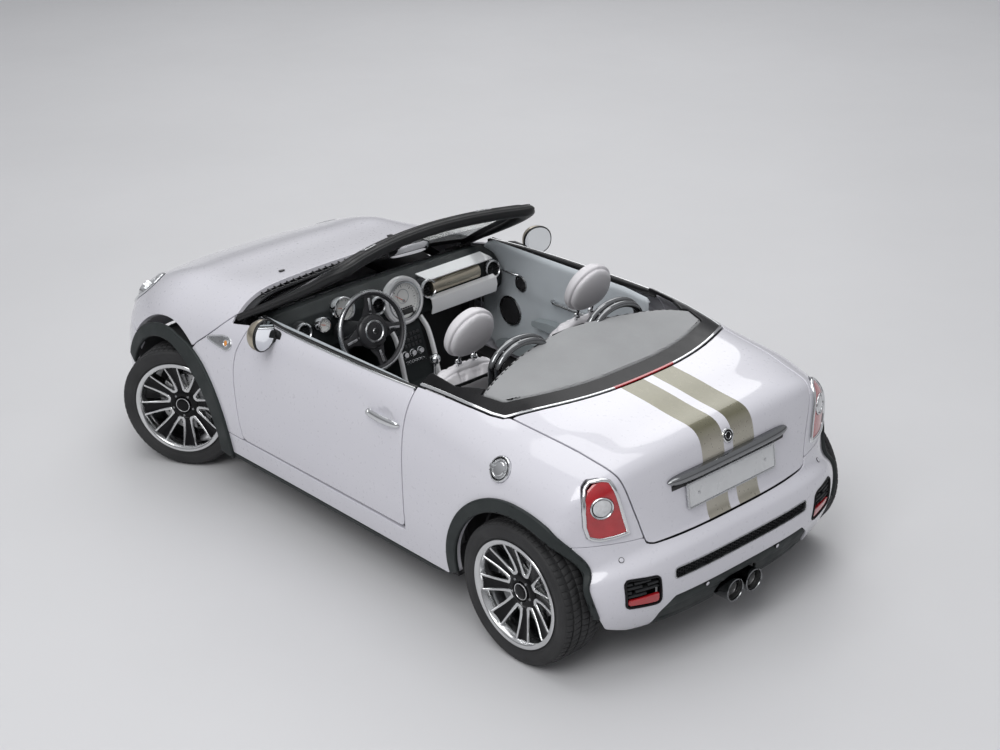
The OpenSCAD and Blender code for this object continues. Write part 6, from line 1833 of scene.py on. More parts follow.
        # console: a black stack with toggles between two bright pillars
        shape = rounded([(556, 394), (556, 688), (300, 688), (268, 736), (246, 700), (200, 560), (172, 472), (132, 424),
            (-120, 412), (-420, 424), (-552, 466), (-612, 466), (-612, 384)], 16, 4)
        Kit().add(across(shape, -84, 84, 6, None)).piece("console_body", ["dash"], "car_body", "dark_plastic",
            ["console"])
        pillars = Kit()
        for sign in (1, -1):
            path = smooth_path([(262, sign * 96, 742), (212, sign * 98, 690), (172, sign * 100, 580),
                (148, sign * 99, 490), (98, sign * 96, 428)], 26)
            pillars.add(tube(path, [15] * 20 + [15, 14, 13, 12, 10, 8], 8, 18, up=(0, 1, 0), power=3))
        pillars.piece("console_pillars", ["white plastic"], "car_body", "chrome")
        keys = Kit()
        tilt = facing((229, 0, 640), (-0.95, 0, 0.31))
        for z in (44, 18, -8):
            for k in range(6):
                keys.add(rbox((-64 + 22 * k, z - 8, 0), (-46 + 22 * k, z + 8, 7), 2.5, 2), 0, tilt)
        for k in (-46, 0, 46):
            keys.add(lathe([(0, 17), (12, 17), (14, 14), (15, 4), (19, 2), (19, -4), (0, -4)], 32), 1,
                tilt @ placed(k, -46, 0))
        for k in range(7):
            keys.add(tube([(-54 + 18 * k, -84, -2), (-54 + 18 * k, -86, 12), (-54 + 18 * k, -92, 19)], [3, 4, 5],
                [3, 3, 3.4], 10), 1, tilt)
            keys.add(lathe([(6.5, -4), (8, -4), (8, 3), (6.5, 3), (6.5, -4)], 18), 1,
                tilt @ placed(-45 + 18 * min(k, 5), -85, 0))
        keys.piece("console_switches", ["black", "chrome"], "car_body", "dark_plastic")
        lever = Kit()
        g = placed(70, 0, 405, ry=-6)
        lever.add(lathe([(58, 2), (60, 6), (46, 14), (40, 26), (33, 30), (29, 42), (22, 48), (17, 62), (11, 70),
            (0, 72)][::-1] + [(0, 2)], 40), 0, g)
        lever.add(lathe([(0, 196), (8, 196), (8, 60), (0, 60)], 24), 1, g)
        lever.add(lathe([(0, 238)] + [(26 * math.sin(a), 212 + 26 * math.cos(a)) for a in np.linspace(0.2, 2.7,
            14)] + [(10, 180), (0, 180)], 40), 1, g)
        lever.add(lathe([(58, 0), (66, 0), (68, 5), (64, 10), (58, 8), (58, 0)], 48), 1, placed(70, 0, 410))
        brake = placed(-470, -40, 440, ry=62)
        lever.add(lathe([(0, 0), (18, 0), (16, 40), (12, 80), (14, 100), (16, 150), (15, 182), (10, 192), (0, 194)],
            28), 2, brake)
        lever.add(lathe([(0, 204), (6, 204), (7, 200), (7, 190), (0, 190)], 20), 1, brake)
        for x in (-330, -230):
            lever.add(lathe([(33, 0), (39, 0), (41, 4), (38, 7), (34, 6), (33, 0)], 40), 1, placed(x, 0, 412))
            lever.add(lathe([(0, -50), (30, -48), (34, -2), (34, 5), (36, 5), (36, -52), (0, -54)][::-1], 40), 0,
                placed(x, 0, 412))
        lever.piece("gear_lever_brake_and_cups", ["dark leather", "chrome", "dark leather"], "car_body", "chrome")


class ROADSTER_OT_wheel(PieceOperator, bpy.types.Operator):
    """Steering wheel: a two-tone rim, four spokes, a hub pad and its ring"""
    bl_idname = "roadster.steering_wheel"
    bl_label = "Steering wheel"

    def make(self, s):
        m = COLUMN
        r, mats = 186.0, ["dark leather", "satin", "black", "chrome"]
        kit = Kit()
        ring = lambda q, z, w, t: lathe([(q + w * math.cos(a), z + t * math.sin(a)) for a in np.linspace(0,
            2 * math.pi, 21)], 120)
        kit.add(ring(r - 15, 0, 11.5, 13), 0, m).add(ring(r - 9.5, 3, 9.0, 11.2), 1, m)
        for a in (-8, 98, 188, 262):
            spoke = [(44, -44, -7), (76, -38, -6), (120, -20, -4), (168, -22, -2)]
            rows = [[(x, w * c, z + 7 * d) for c, d in ((1, -0.6), (1, 0.5), (0.7, 1), (0, 1.15), (-0.7, 1),
                (-1, 0.5), (-1, -0.6), (0, -1))]
                for x, w, z in spoke]
            kit.add(loft(rows), 2, m @ placed(rz=a))
            kit.add(rbox((92, -6, 5.2), (150, 6, 8.4), 2.4, 2), 1, m @ placed(rz=a))
            for q in (66, 78):
                kit.add(lathe([(0, 13), (4.5, 13), (5.5, 10), (5.5, 3), (0, 3)], 18), 3, m @ placed(rz=a) @ placed(q,
                    0, -2))
        kit.add(lathe([(0, 26), (30, 25), (56, 21), (74, 14), (80, 6), (80, -8), (64, -16), (20, -18), (0, -18)], 64),
            2, m)
        kit.add(lathe([(41, 22), (45, 26.5), (48, 26.5), (51, 22), (46, 19), (41, 22)], 64), 1, m)
        kit.add(lathe([(0, 31), (12, 31), (14, 29), (14, 26), (0, 26)], 40), 3, m)
        kit.piece("steering_wheel_rim_and_hub", mats, "steering_wheel", "black_leather", ["steering_wheel"], 45)
        shaft = Kit().add(lathe([(0, -16), (22, -16), (22, -60), (17, -66), (17, -240), (0, -240)][::-1], 32), 0, m)
        shaft.piece("steering_shaft", ["matt black"], "steering_wheel", "black_leather")


def header(y):
    return np.array([85 - 80 * (y / 545) ** 2, y, 1238 - 24 * (y / 545) ** 2])


def screen_foot(y):
    return np.array([620 - 75 * (y / 660) ** 2, y, 935 - 42 * (y / 660) ** 2])


PILLAR = [(575, 704, 884), (500, 692, 925), (300, 654, 1030), (120, 612, 1132), (40, 584, 1186)]


class ROADSTER_OT_screen(PieceOperator, bpy.types.Operator):
    """Windscreen frame with its seals, latch plates, sun visors, mirror and glass"""
    bl_idname = "roadster.screen"
    bl_label = "Windscreen"

    def make(self, s):
        marks = [*PILLAR, *[header(y) for y in np.linspace(545, -545, 13)], *[(x, -y, z) for x, y, z in PILLAR[::-1]]]
        wide = [24, 24, 27, 31, 38, *[46] * 13, 38, 31, 27, 24, 24]
        deep = [18, 18, 20, 24, 28, *[30] * 13, 28, 24, 20, 18, 18]
        n = 131
        path = smooth_path(marks, n)
        t = np.linspace(0, 1, n)
        gone = np.concatenate([[0], np.cumsum(np.sqrt(np.linalg.norm(np.diff(np.array(marks, float), axis=0),
            axis=1)))])
        w, d = np.interp(t, gone / gone[-1], wide), np.interp(t, gone / gone[-1], deep)
        up = np.array([0.3, 0, 1.0])
        tan = np.gradient(path, axis=0)
        tan /= np.linalg.norm(tan, axis=1, keepdims=True)
        side = np.cross(up, tan)
        side /= np.linalg.norm(side, axis=1, keepdims=True)
        top = np.cross(tan, side)
        body = Kit().add(tube(path, w - 1.5, d - 1.5, 22, up=up, power=2.7), 0)
        # a seal on the glass side, a grip rail behind it, a seam along the top
        for off, lift, r, q, m in ((-0.90, 0.28, 4.6, 5.5, 1), (-0.52, 0.97, 2.0, 1.6, 1), (0.42, 0.93, 6.5, 3.0, 1),
            (0.74, 0.70, 2.2, 1.8, 1)):
            body.add(tube(path + side * (off * w)[:, None] + top * (lift * d)[:, None], r, q, 10, up=up), m)
        for sign in (1, -1):
            body.add(rbox((562, sign * 652, 792), (586, sign * 688, 884), 6, 3), 0)
        body.piece("screen_frame_bar", ["screen black", "seal"], "car_body", "frame_black", ["screen_frame"], 50)
        # two bright latch plates let into the header
        latch = Kit()
        for y in (330, -330):
            k = int(np.argmin(np.abs(path[:, 1] - y)))
            m = Matrix((tan[k], side[k] * 1.0, top[k])).transposed().to_4x4()
            m.translation = path[k] + top[k] * (d[k] - 0.5)
            ring = rounded([(-38, -15), (30, -17), (44, -9), (44, 9), (30, 17), (-38, 15)], 7)
            latch.add(plate([tuple(q) for q in ring], -2, 2.4, 1.2, 2), 0, m)
            latch.add(plate(rounded([(-18, -9), (24, -10), (24, 10), (-18, 9)], 4), 1.5, 3.0, 0.5, 1), 1, m)
            latch.add(rbox((-31, -4, 1.5), (-23, 4, 6.5), 1.6, 2), 0, m)
            latch.add(rbox((2, -10, 2.6), (6, 10, 4.6), 0.8, 1), 0, m)
        latch.piece("header_latch_plates", ["satin", "shadow"], "car_body", "chrome")
        # sun visors folded up under the header, and their hinges
        visor = Kit()
        for sign in (1, -1):
            rows = []
            for k in np.linspace(0, 1, 9):
                y = sign * (95 + 350 * k)
                h = header(y)
                drop = 130 - 18 * abs(2 * k - 1) ** 3
                rows.append([h + np.array([66 + q * drop * 0.92, 0, -26 - q * drop * 0.40]) for q in np.linspace(0, 1,
                    6)])
            visor.add(shell(np.array(rows) if sign < 0 else np.array(rows)[::-1], 16), 0)
            h = header(sign * 90)
            visor.add(tube([h + (40, 0, -22), h + (58, sign * 10, -30), h + (70, sign * 30, -34)], 5, n=12), 1)
        visor.piece("sun_visors", ["dash", "chrome"], "car_body", "dark_plastic", (), 50)
        # the mirror inside the screen, on its stalk
        inside = Kit()
        head = oval(112, 33, 3.2, 44)
        m = facing((206, 0, 1120), (-0.97, 0.16, -0.18))
        prof = [(1.0, 0), (1.0, 4), (0.98, 12), (0.86, 26), (0.55, 36), (0.2, 39)]
        rings = [np.column_stack([head * k, np.full(44, -z)]) for k, z in prof]
        inside.add(loft(rings), 0, m)
        inside.add(loft([np.column_stack([head * k, np.full(44, z)]) for k, z in ((0.955, -1.0), (0.955, 0.9),
            (0.93, 1.4))]), 1, m)
        inside.add(tube([(228, 0, 1128), (246, 0, 1148), (262, 0, 1158)], [9, 7, 9], n=14), 0)
        inside.add(lathe([(0, -4), (22, -4), (24, 2), (14, 12), (0, 14)], 28), 0,
            facing((266, 0, 1161), (-0.5, 0, -0.86)))
        inside.piece("inside_mirror", ["black", "mirror"], "car_body", "dark_plastic")
        # curved laminated glass with its black printed edge
        rows = []
        for v in np.linspace(-0.985, 0.985, 41):
            a, b = screen_foot(v * 668), header(v * 575)
            rows.append([a + (b - a) * q + np.array([0, 0, 4 + 10 * math.sin(math.pi * q)]) for q in np.linspace(0.0,
                0.985, 17)])
        rows = np.array(rows)
        Kit().add(shell(rows, 5)).piece("windscreen", ["glass"], "car_body", "glass", ["screen_glass"])
        border = Kit()
        low = np.array([[rows[k, j] + np.array([0, 0, -5.6]) for j in (0, 1, 2)] for k in range(41)])
        border.add(shell(low, 0.6), 0)
        for k0, k1 in ((0, 2), (38, 40)):
            border.add(shell(rows[k0:k1 + 1] + np.array([0, 0, -5.6]), 0.6), 0)
        border.piece("windscreen_border", ["shadow"], "car_body", "glass")
        foot = smooth_path([screen_foot(y) + np.array([4, 0, 5]) for y in np.linspace(650, -650, 21)], 90)
        Kit().add(tube(foot, 7, 6, 12)).piece("screen_foot_seal", ["seal"], "car_body", "frame_black")


class ROADSTER_OT_scuttle(PieceOperator, bpy.types.Operator):
    """The black scuttle under the screen: its louvres and wipers"""
    bl_idname = "roadster.scuttle"
    bl_label = "Scuttle and wipers"

    def make(self, s):
        edge = lambda y: 670 - 80 * (y / 760) ** 2
        rows = []
        for y in np.linspace(-690, 690, 61):
            row = []
            for q in np.linspace(0, 1, 7):
                x = (620 - 75 * (y / 660) ** 2 - 8) * (1 - q) + (edge(y) + 12) * q
                row.append((x, y, 0.0))
            rows.append(row)
        g = np.array(rows)
        uu, vv = np.meshgrid(np.linspace(13, 17.5, 60), np.linspace(-1, 1, 160), indexing="ij")
        p = skin(uu, vv).reshape(-1, 3)
        p = p[p[:, 2] > 700]
        basis = lambda a, b: np.stack([c * d for c in (1 + 0 * a, a, a ** 2) for d in (1 + 0 * b, b ** 2, b ** 4,
            b ** 6)], -1)
        fit = np.linalg.lstsq(basis((p[:, 0] - 600) / 100, p[:, 1] / 700), p[:, 2], rcond=None)[0]
        height = lambda x, y: basis((x - 600) / 100, y / 700) @ fit
        g[..., 2] = height(g[..., 0], g[..., 1]) - 34 + 14 * np.linspace(1, 0, 7)[None, :] ** 2
        kit = Kit().add(shell(g[::-1], 5), 0)
        kit.piece("scuttle_tray", ["matt black"], "car_body", "dark_plastic", ["cowl"])
        slats = Kit()
        for y in np.linspace(-560, 560, 29):
            x = edge(y)
            z = float(height(np.array(x - 22), np.array(y))) - 20
            slats.add(rbox((x - 44, y - 15, z - 5), (x - 2, y - 10, z + 4), 1.2, 1))
            slats.add(rbox((x - 44, y - 15, z - 6), (x - 40, y + 20, z + 1), 1, 1))
        slats.piece("scuttle_louvres", ["black"], "car_body", "dark_plastic")
        arms = Kit()
        for y0, y1, z in ((200, 640, 0), (-430, 60, 0)):
            ys = np.linspace(y0, y1, 9)
            arm = np.array([screen_foot(y) + np.array([26 + 0.03 * abs(y - y0), 0, 10.0]) for y in ys])
            arms.add(tube(arm, [9, 8, 7, 6.5, 6, 5.5, 5, 5, 4.5], 4, 12, up=(0, 0, 1), power=3), 0)
            blade = np.array([screen_foot(y) + np.array([14, 0, 8.0]) for y in np.linspace(y0 + 30, y1 + 70, 15)])
            blade = blade[np.abs(blade[:, 1]) < 655]
            arms.add(tube(blade, 5, 3.2, 10, up=(0, 0, 1)), 0)
            arms.add(tube(blade + np.array([-1, 0, -5.0]), 1.2, 4, 8, up=(0, 0, 1)), 1)
            hub = screen_foot(y0) + np.array([26, 0, -18.0])
            arms.add(lathe([(0, 32), (10, 32), (14, 28), (15, 14), (12, 0), (0, 0)], 28), 0, placed(*hub))
        arms.piece("wipers", ["black", "seal"], "car_body", "dark_plastic", (), 45)


class ROADSTER_OT_front(PieceOperator, bpy.types.Operator):
    """Headlamps, grille, lower intake, fog lamps and washer jets"""
    bl_idname = "roadster.front"
    bl_label = "Front"

    def make(self, s):
        lens, ring, bowl, dark = Kit(), Kit(), Kit(), Kit()
        span = ((2.0, 12.5), (0.3, 1))
        ahead = lambda p: 1250 - p[..., 0]
        geo = panel_mesh(lambda p: np.max([away(LAMP, p[..., 1], p[..., 2]) + 11, ahead(p)], 0), *span, 5, 3, 12,
            inset=-3)
        rim = beading(inward(LAMP, 6), (2.0, 12.5), 6.5, 9, -1.0, n=12, power=2.6, step=16)
        inner = beading(inward(LAMP, 16), (2.0, 12.5), 3.2, 10, -8, n=10, step=16)
        for flip in (False, True):
            lens.add(geo, flip=flip)
            ring.add(rim, flip=flip).add(inner, flip=flip)
        m = on_body(-8, 1, y=560.0, z=700.0, u=(2.0, 12.5))
        at = np.array(m)[:3, 3] + np.array([-36, -6, -14.0])
        for place_, r in ((facing(at + (0, 26, 16), (0.9, 0.22, 0.28)), 44),
            (facing(at + (8, -34, -22), (0.93, 0.12, 0.2)), 30)):
            b = [(0, -46), (r * 0.5, -40), (r * 0.86, -20), (r, 4), (r + 4, 8), (r + 4, -6), (r * 0.9, -40), (0, -54)]
            for flip in (False, True):
                bowl.add(lathe(b, 48), 0, place_, flip=flip)
                bowl.add(lathe([(0, 2)] + [(r * 0.62 * math.cos(a), -18 + 22 * math.sin(a)) for a in np.linspace(1.4,
                    0, 9)] + [(r * 0.62, -30), (0, -30)], 36), 1, place_, flip=flip)
        back = panel_mesh(lambda p: np.max([away(LAMP, p[..., 1], p[..., 2]) + 9, ahead(p)], 0), *span, 4, 1, 14,
            inset=52)
        for flip in (False, True):
            dark.add(back, flip=flip)
        lens.piece("headlamp_lenses", ["lamp cover"], "car_body", "lamp_glass", ["headlamps"])
        ring.piece("headlamp_rings", ["chrome"], "car_body", "chrome")
        bowl.piece("headlamp_bowls", ["chrome", "mirror"], "car_body", "chrome", (), 45)
        dark.piece("headlamp_backs", ["satin"], "car_body", "dark_plastic")
        # grille: a bright surround, bright bars over a dark mesh
        surround = Kit()
        for half in (False, True):
            right = [q for q in MOUTH if q[0] > 0]
            path = [(0, 470)] + sorted([q for q in right if q[1] < 535], key=lambda q: q[0]) + sorted(
                [q for q in right if q[1] >= 535], key=lambda q: math.atan2(q[1] - 535, q[0])) + [(0, 600)]
            surround.add(beading(path, (0, 6), 8, 9, 0, closed=False, power=2.6, step=18), flip=half)
        surround.piece("grille_surround", ["chrome"], "car_body", "chrome", ["grille"])
        bars = Kit()
        for z, w in ((498, 330), (524, 352), (550, 352), (576, 330)):
            for flip in (False, True):
                bars.add(beading([(0, z), (w, z)], (0, 6), 4.5, 7, -16, closed=False, step=26), flip=flip)
        bars.piece("grille_bars", ["satin"], "car_body", "chrome")
        net = Kit()
        mouth = panel_mesh(lambda p: np.max([away(MOUTH, p[..., 1], p[..., 2]) + 4, 1600 - p[..., 0]], 0), (0, 6),
            (-0.6, 0.6), 4, 1, 18, inset=34)
        low = panel_mesh(lambda p: np.max([away(INTAKE, p[..., 1], p[..., 2]) + 3, 1600 - p[..., 0]], 0), (0, 6),
            (-0.7, 0.7), 4, 1, 18, inset=34)
        net.add(mouth).add(low)
        net.piece("grille_backing", ["matt black"], "car_body", "dark_plastic")
        slats = Kit()
        for z in (284, 306, 328, 350):
            for flip in (False, True):
                slats.add(beading([(0, z), (425 + (z - 262) * 0.3, z)], (0, 6), 3.2, 9, -18, closed=False, step=30),
                    flip=flip)
        for y in np.arange(30, 440, 44):
            for flip in (False, True):
                slats.add(beading([(y, 270), (y, 372)], (0, 6), 2.2, 6, -24, closed=False, step=26), flip=flip)
        slats.piece("intake_slats", ["black"], "car_body", "dark_plastic")
        fog = Kit()
        for flip in (False, True):
            m = on_body(-2, 1, y=560.0, z=330.0, u=(0, 5))
            fog.add(lathe([(44, -12), (54, -12), (56, 2), (52, 7), (46, 5), (44, -12)], 48), 0, m, flip=flip)
            fog.add(lathe([(0, 1)] + [(q, 1 - 6 * (q / 45) ** 2) for q in (15, 30, 45)] + [(45, -10), (0, -10)], 40),
                1, m, flip=flip)
        fog.piece("fog_lamps", ["chrome", "lamp cover"], "car_body", "chrome")
        jets = Kit()
        for x, y in ((760, 330), (760, -330)):
            u, v = on_skin(x=x, y=y, u=(8, 17), side=1 if y > 0 else -1)
            p, nn = skin(np.array(u), np.array(v)), skin_normal(np.array(u), np.array(v))
            m = facing(p + nn * 1, nn, up=(1, 0, 0))
            jets.add(rbox((-14, -8, -2), (14, 10, 7), 3.5, 3), 0, m)
        jets.piece("washer_jets", ["black"], "bonnet", "dark_plastic")


def belt_line(n=56, x0=420.0, x1=-694.0, drop=0.0):
    """Points along the top of the door's skin."""
    xs = np.linspace(x0, x1, n)
    uv = np.array([on_skin(x=x, z=BELT(x) - drop, u=DOOR_SPAN) for x in xs])
    return skin(uv[:, 0], uv[:, 1])


class ROADSTER_OT_door_trim(PieceOperator, bpy.types.Operator):
    """Bright strips, seals, handles, inner cards and edges of the doors"""
    bl_idname = "roadster.door_trim"
    bl_label = "Door trim"

    def make(self, s):
        top = belt_line()
        strip_ = tube(top + np.array([0, -2.5, 2.0]), 4.6, 4.0, 12, up=(0, 0, 1), power=3)
        seal_ = tube(top + np.array([0, -15.0, 0.5]), 8.0, 5.5, 12, up=(0, 0, 1), power=3)
        lip = tube(np.column_stack([top[:, 0], np.full(len(top), 707.0), top[:, 2] + 1]), 3.2, 5.0, 10, up=(0, 0, 1))
        # the floor of the window's slot, between the seals
        rows = np.array([[(p[0], y, p[2] + z) for y, z in ((p[1] - 18, -4), (p[1] - 24, -16), (708, -16), (704, -4))]
            for p in top])
        slot = shell(rows[::-1], 2.5)
        # the door's own edge, from the skin in to the card
        rim = inward(DOOR, 4.5)
        rim = rim[rim[:, 1] < 905]
        keep = [q for q in rim if q[1] < BELT(q[0]) - 6]
        order = sorted(range(len(keep)), key=lambda k: math.atan2(keep[k][1] - 640, keep[k][0] + 130))
        keep = [keep[k] for k in order]
        cut = max(range(len(keep)), key=lambda k: math.hypot(keep[k][0] - keep[k - 1][0], keep[k][1] - keep[k - 1][1]))
        keep = np.array(keep[cut:] + keep[:cut])
        gone = np.concatenate([[0], np.cumsum(np.linalg.norm(np.diff(keep, axis=0), axis=1))])
        ring = np.stack([np.interp(np.linspace(0, gone[-1], 90), gone, keep[:, k]) for k in (0, 1)], -1)
        rows = []
        for x, z in ring:
            u, v = on_skin(x=float(x), z=float(z), u=DOOR_SPAN)
            y = float(skin(np.array(u), np.array(v))[1]) - 19
            rows.append([(x, y + (690 - y) * k, z) for k in (0, 0.33, 0.66, 1)])
        edge = shell(np.array(rows), 3)
        # the card: pale upper swell, a sweeping step, a lower field set back behind it and an armrest; the armrest and
        # pocket take a darker teal, painted shade

        def swell(x, z):
            sweep = 700 + 120 * ((x + 100) / 560) ** 2 - 60 * (x < -100) * ((x + 100) / 560) ** 2
            above = 1 / (1 + np.exp(-(z - sweep) / 16))
            bowl_ = np.exp(-(np.hypot(x - 250, (z - 600)) / 105) ** 4)
            top_roll = np.clip((z - 905) / 30, 0, 1)
            return 663.5 + 0.2 * above + 9 * (1 - above) + 6 * top_roll ** 2 - 5 * bowl_
        xs, zs = np.linspace(-676, 476, 97), np.linspace(364, 938, 61)
        gx, gz = np.meshgrid(xs, zs, indexing="ij")
        # the outline squeezes the grid's edge rows
        hi = np.interp(gx[:, 0], [-676, -674, -520, 400, 440, 476], [905, 925, 938, 935, 905, 700])
        lo = np.interp(gx[:, 0], [-676, -640, 380, 430, 470, 476], [400, 364, 364, 400, 560, 690])
        gz = lo[:, None] + (hi - lo)[:, None] * np.linspace(0, 1, 61)[None, :]
        gy = swell(gx, gz)
        border = np.minimum.reduce([gx + 676, 476 - gx, gz - lo[:, None], hi[:, None] - gz])
        gy = gy + 12 * np.clip(1 - border / 14, 0, 1) ** 2
        card = shell(np.stack([gx, gy, gz], -1)[::-1], -10)
        speaker, cone = Kit(), Kit()
        for (x, z, r) in ((255, 599, 66), (172, 766, 30)):
            m = facing((x, 664, z), (0, -1, 0))
            speaker.add(lathe([(r, -6), (r + 12, -4), (r + 13, 1), (r + 6, 5), (r + 1, 4), (r, -6)], 64), 0, m)
            cone.add(lathe([(0, 2.2), (r - 1, 2.2), (r - 1, -3), (0, -3)], 48), 0, m)
            for q in np.arange(6, r - 4, 8.0):
                cone.add(lathe([(q, 2), (q + 3, 2), (q + 3, 3.4), (q, 3.4), (q, 2)], 40), 0, m)
        rest = rounded([(-430, 592), (-430, 634), (-60, 636), (50, 622), (50, 592)], 14)
        arm = across(rest, 614, 662, 9)
        pull = tube(smooth_path([(-60, 656, 742), (-110, 628, 752), (-260, 620, 756), (-400, 628, 750),
            (-440, 656, 742)], 30), 12, 8, 14, up=(0, 0, 1))
        opener = tube(smooth_path([(290, 660, 812), (270, 644, 816), (210, 640, 818), (180, 656, 812)], 20), 7, 5, 12,
            up=(0, 0, 1))
        net = rounded([(-330, 392), (-330, 470), (150, 488), (330, 430), (330, 392)], 20)
        pocket = across(net, 628, 662, 8)
        # the pull handle outside, over its cup
        hm = placed(*HANDLE, rx=-76)
        grip = tube(smooth_path([(-104, 0, 3), (-92, 0, 14), (-50, 0, 21), (0, 0, 23), (50, 0, 21), (92, 0, 14),
            (104, 0, 3)], 40),
            [6 + 11 * math.sin(math.pi * k / 39) ** 0.6 for k in range(40)], [4.5 + 4 * math.sin(math.pi * k / 39)
            for k in range(40)], 16, up=(0, 0, 1))
        lock = lathe([(0, 11), (9, 11), (11, 9), (12, 2), (16, 0), (17, -4), (0, -4)], 32)
        for side, flip in (("left", False), ("right", True)):
            body = f"door_{side}"
            def put(name, kit, mats, slot, nodes=(), angle=40):
                one = Kit()
                for geo, mat in kit:
                    one.add(geo, mat, flip=flip)
                return one.piece(f"door_{side}_{name}", mats, body, slot, nodes, angle)
            put("bright_strip", [(strip_, 0)], ["chrome"], "chrome")
            put("seals", [(seal_, 0), (lip, 0), (slot, 0)], ["seal"], "dark_plastic")
            put("edge", [(edge, 0)], ["paint"], "paint")
            put("card", [(card, 0)], ["teal leather"], "card_leather", [f"door_card_{side}"], 60)
            put("rings", [((np.concatenate(speaker.points), speaker.faces), 0)], ["satin"], "chrome")
            put("speakers", [((np.concatenate(cone.points), cone.faces), 0)], ["shadow"], "dark_plastic")
            # the armrest and pocket take the card's teal darkened, as painted shade
            put("armrest", [(arm, 0), (pocket, 0), (pull, 1), (opener, 2)], ["teal dark", "satin", "chrome"],
                "card_leather")
            hp, hf = grip
            m = np.array(hm)
            put("handle", [((hp @ m[:3, :3].T + m[:3, 3], hf), 0),
                ((lock[0] @ m[:3, :3].T + np.array(hm @ placed(84, 0, 14))[:3, 3], lock[1]), 0)],
                ["chrome"], "chrome")


class ROADSTER_OT_mirrors(PieceOperator, bpy.types.Operator):
    """Door mirrors: round bright cap, dark rim, glass and stalk"""
    bl_idname = "roadster.mirrors"
    bl_label = "Door mirrors"

    def make(self, s):
        n = 56
        cap, rim, glass, arm = Kit(), Kit(), Kit(), Kit()
        m = placed(215, 822, 938, rz=18) @ placed(ry=90)
        ring = oval(1, 1, 2.15, n) * np.array([70.0, 73.0])
        rows = []
        for a in np.linspace(0, math.pi / 2 * 0.985, 15):
            k = math.cos(a) ** 0.9
            rows.append(np.column_stack([ring * k, np.full(n, 14 + 62 * math.sin(a))]))
        cap.add(loft([np.column_stack([ring, np.full(n, 6.0)])] + rows), 0, m)
        rim.add(loft([np.column_stack([ring * q, np.full(n, z)]) for q, z in ((0.99, 12), (1.03, 9), (1.035, 3),
            (1.0, -2), (0.965, -3), (0.945, 0), (0.93, 5))]), 0, m)
        glass.add(loft([np.column_stack([ring * q, np.full(n, z)]) for q, z in ((0.945, 3.0), (0.945, -0.8),
            (0.6, -1.8), (0.2, -2.2))]), 0, m)
        arm.add(tube(smooth_path([(255, 742, 896), (255, 766, 888), (252, 800, 884), (242, 818, 892)], 22),
            [17, 15, 14, 13] + [13] * 14 + [14, 16, 18, 20], [24] * 22, 18, up=(1, 0, 0)), 0)
        arm.add(plate(rounded([(200, 884), (330, 884), (360, 918), (300, 934), (215, 932)], 14), -8, 8, 3, 3), 0,
            Matrix(((1, 0, 0, 0), (0, 0, -1, 742), (0, 1, 0, 0), (0, 0, 0, 1))))
        for side, flip in (("left", False), ("right", True)):
            for kit, name, mat, slot, nodes in ((cap, "cap", "bronze", "chrome", [f"mirror_{side}"]),
                (rim, "rim", "screen black", "dark_plastic", ()),
                    (glass, "glass", "mirror", "chrome", ()), (arm, "arm", "screen black", "dark_plastic", ())):
                Kit().add((np.concatenate(kit.points), kit.faces), flip=flip).piece(f"mirror_{side}_{name}", [mat],
                    f"door_{side}", slot, nodes, 45)


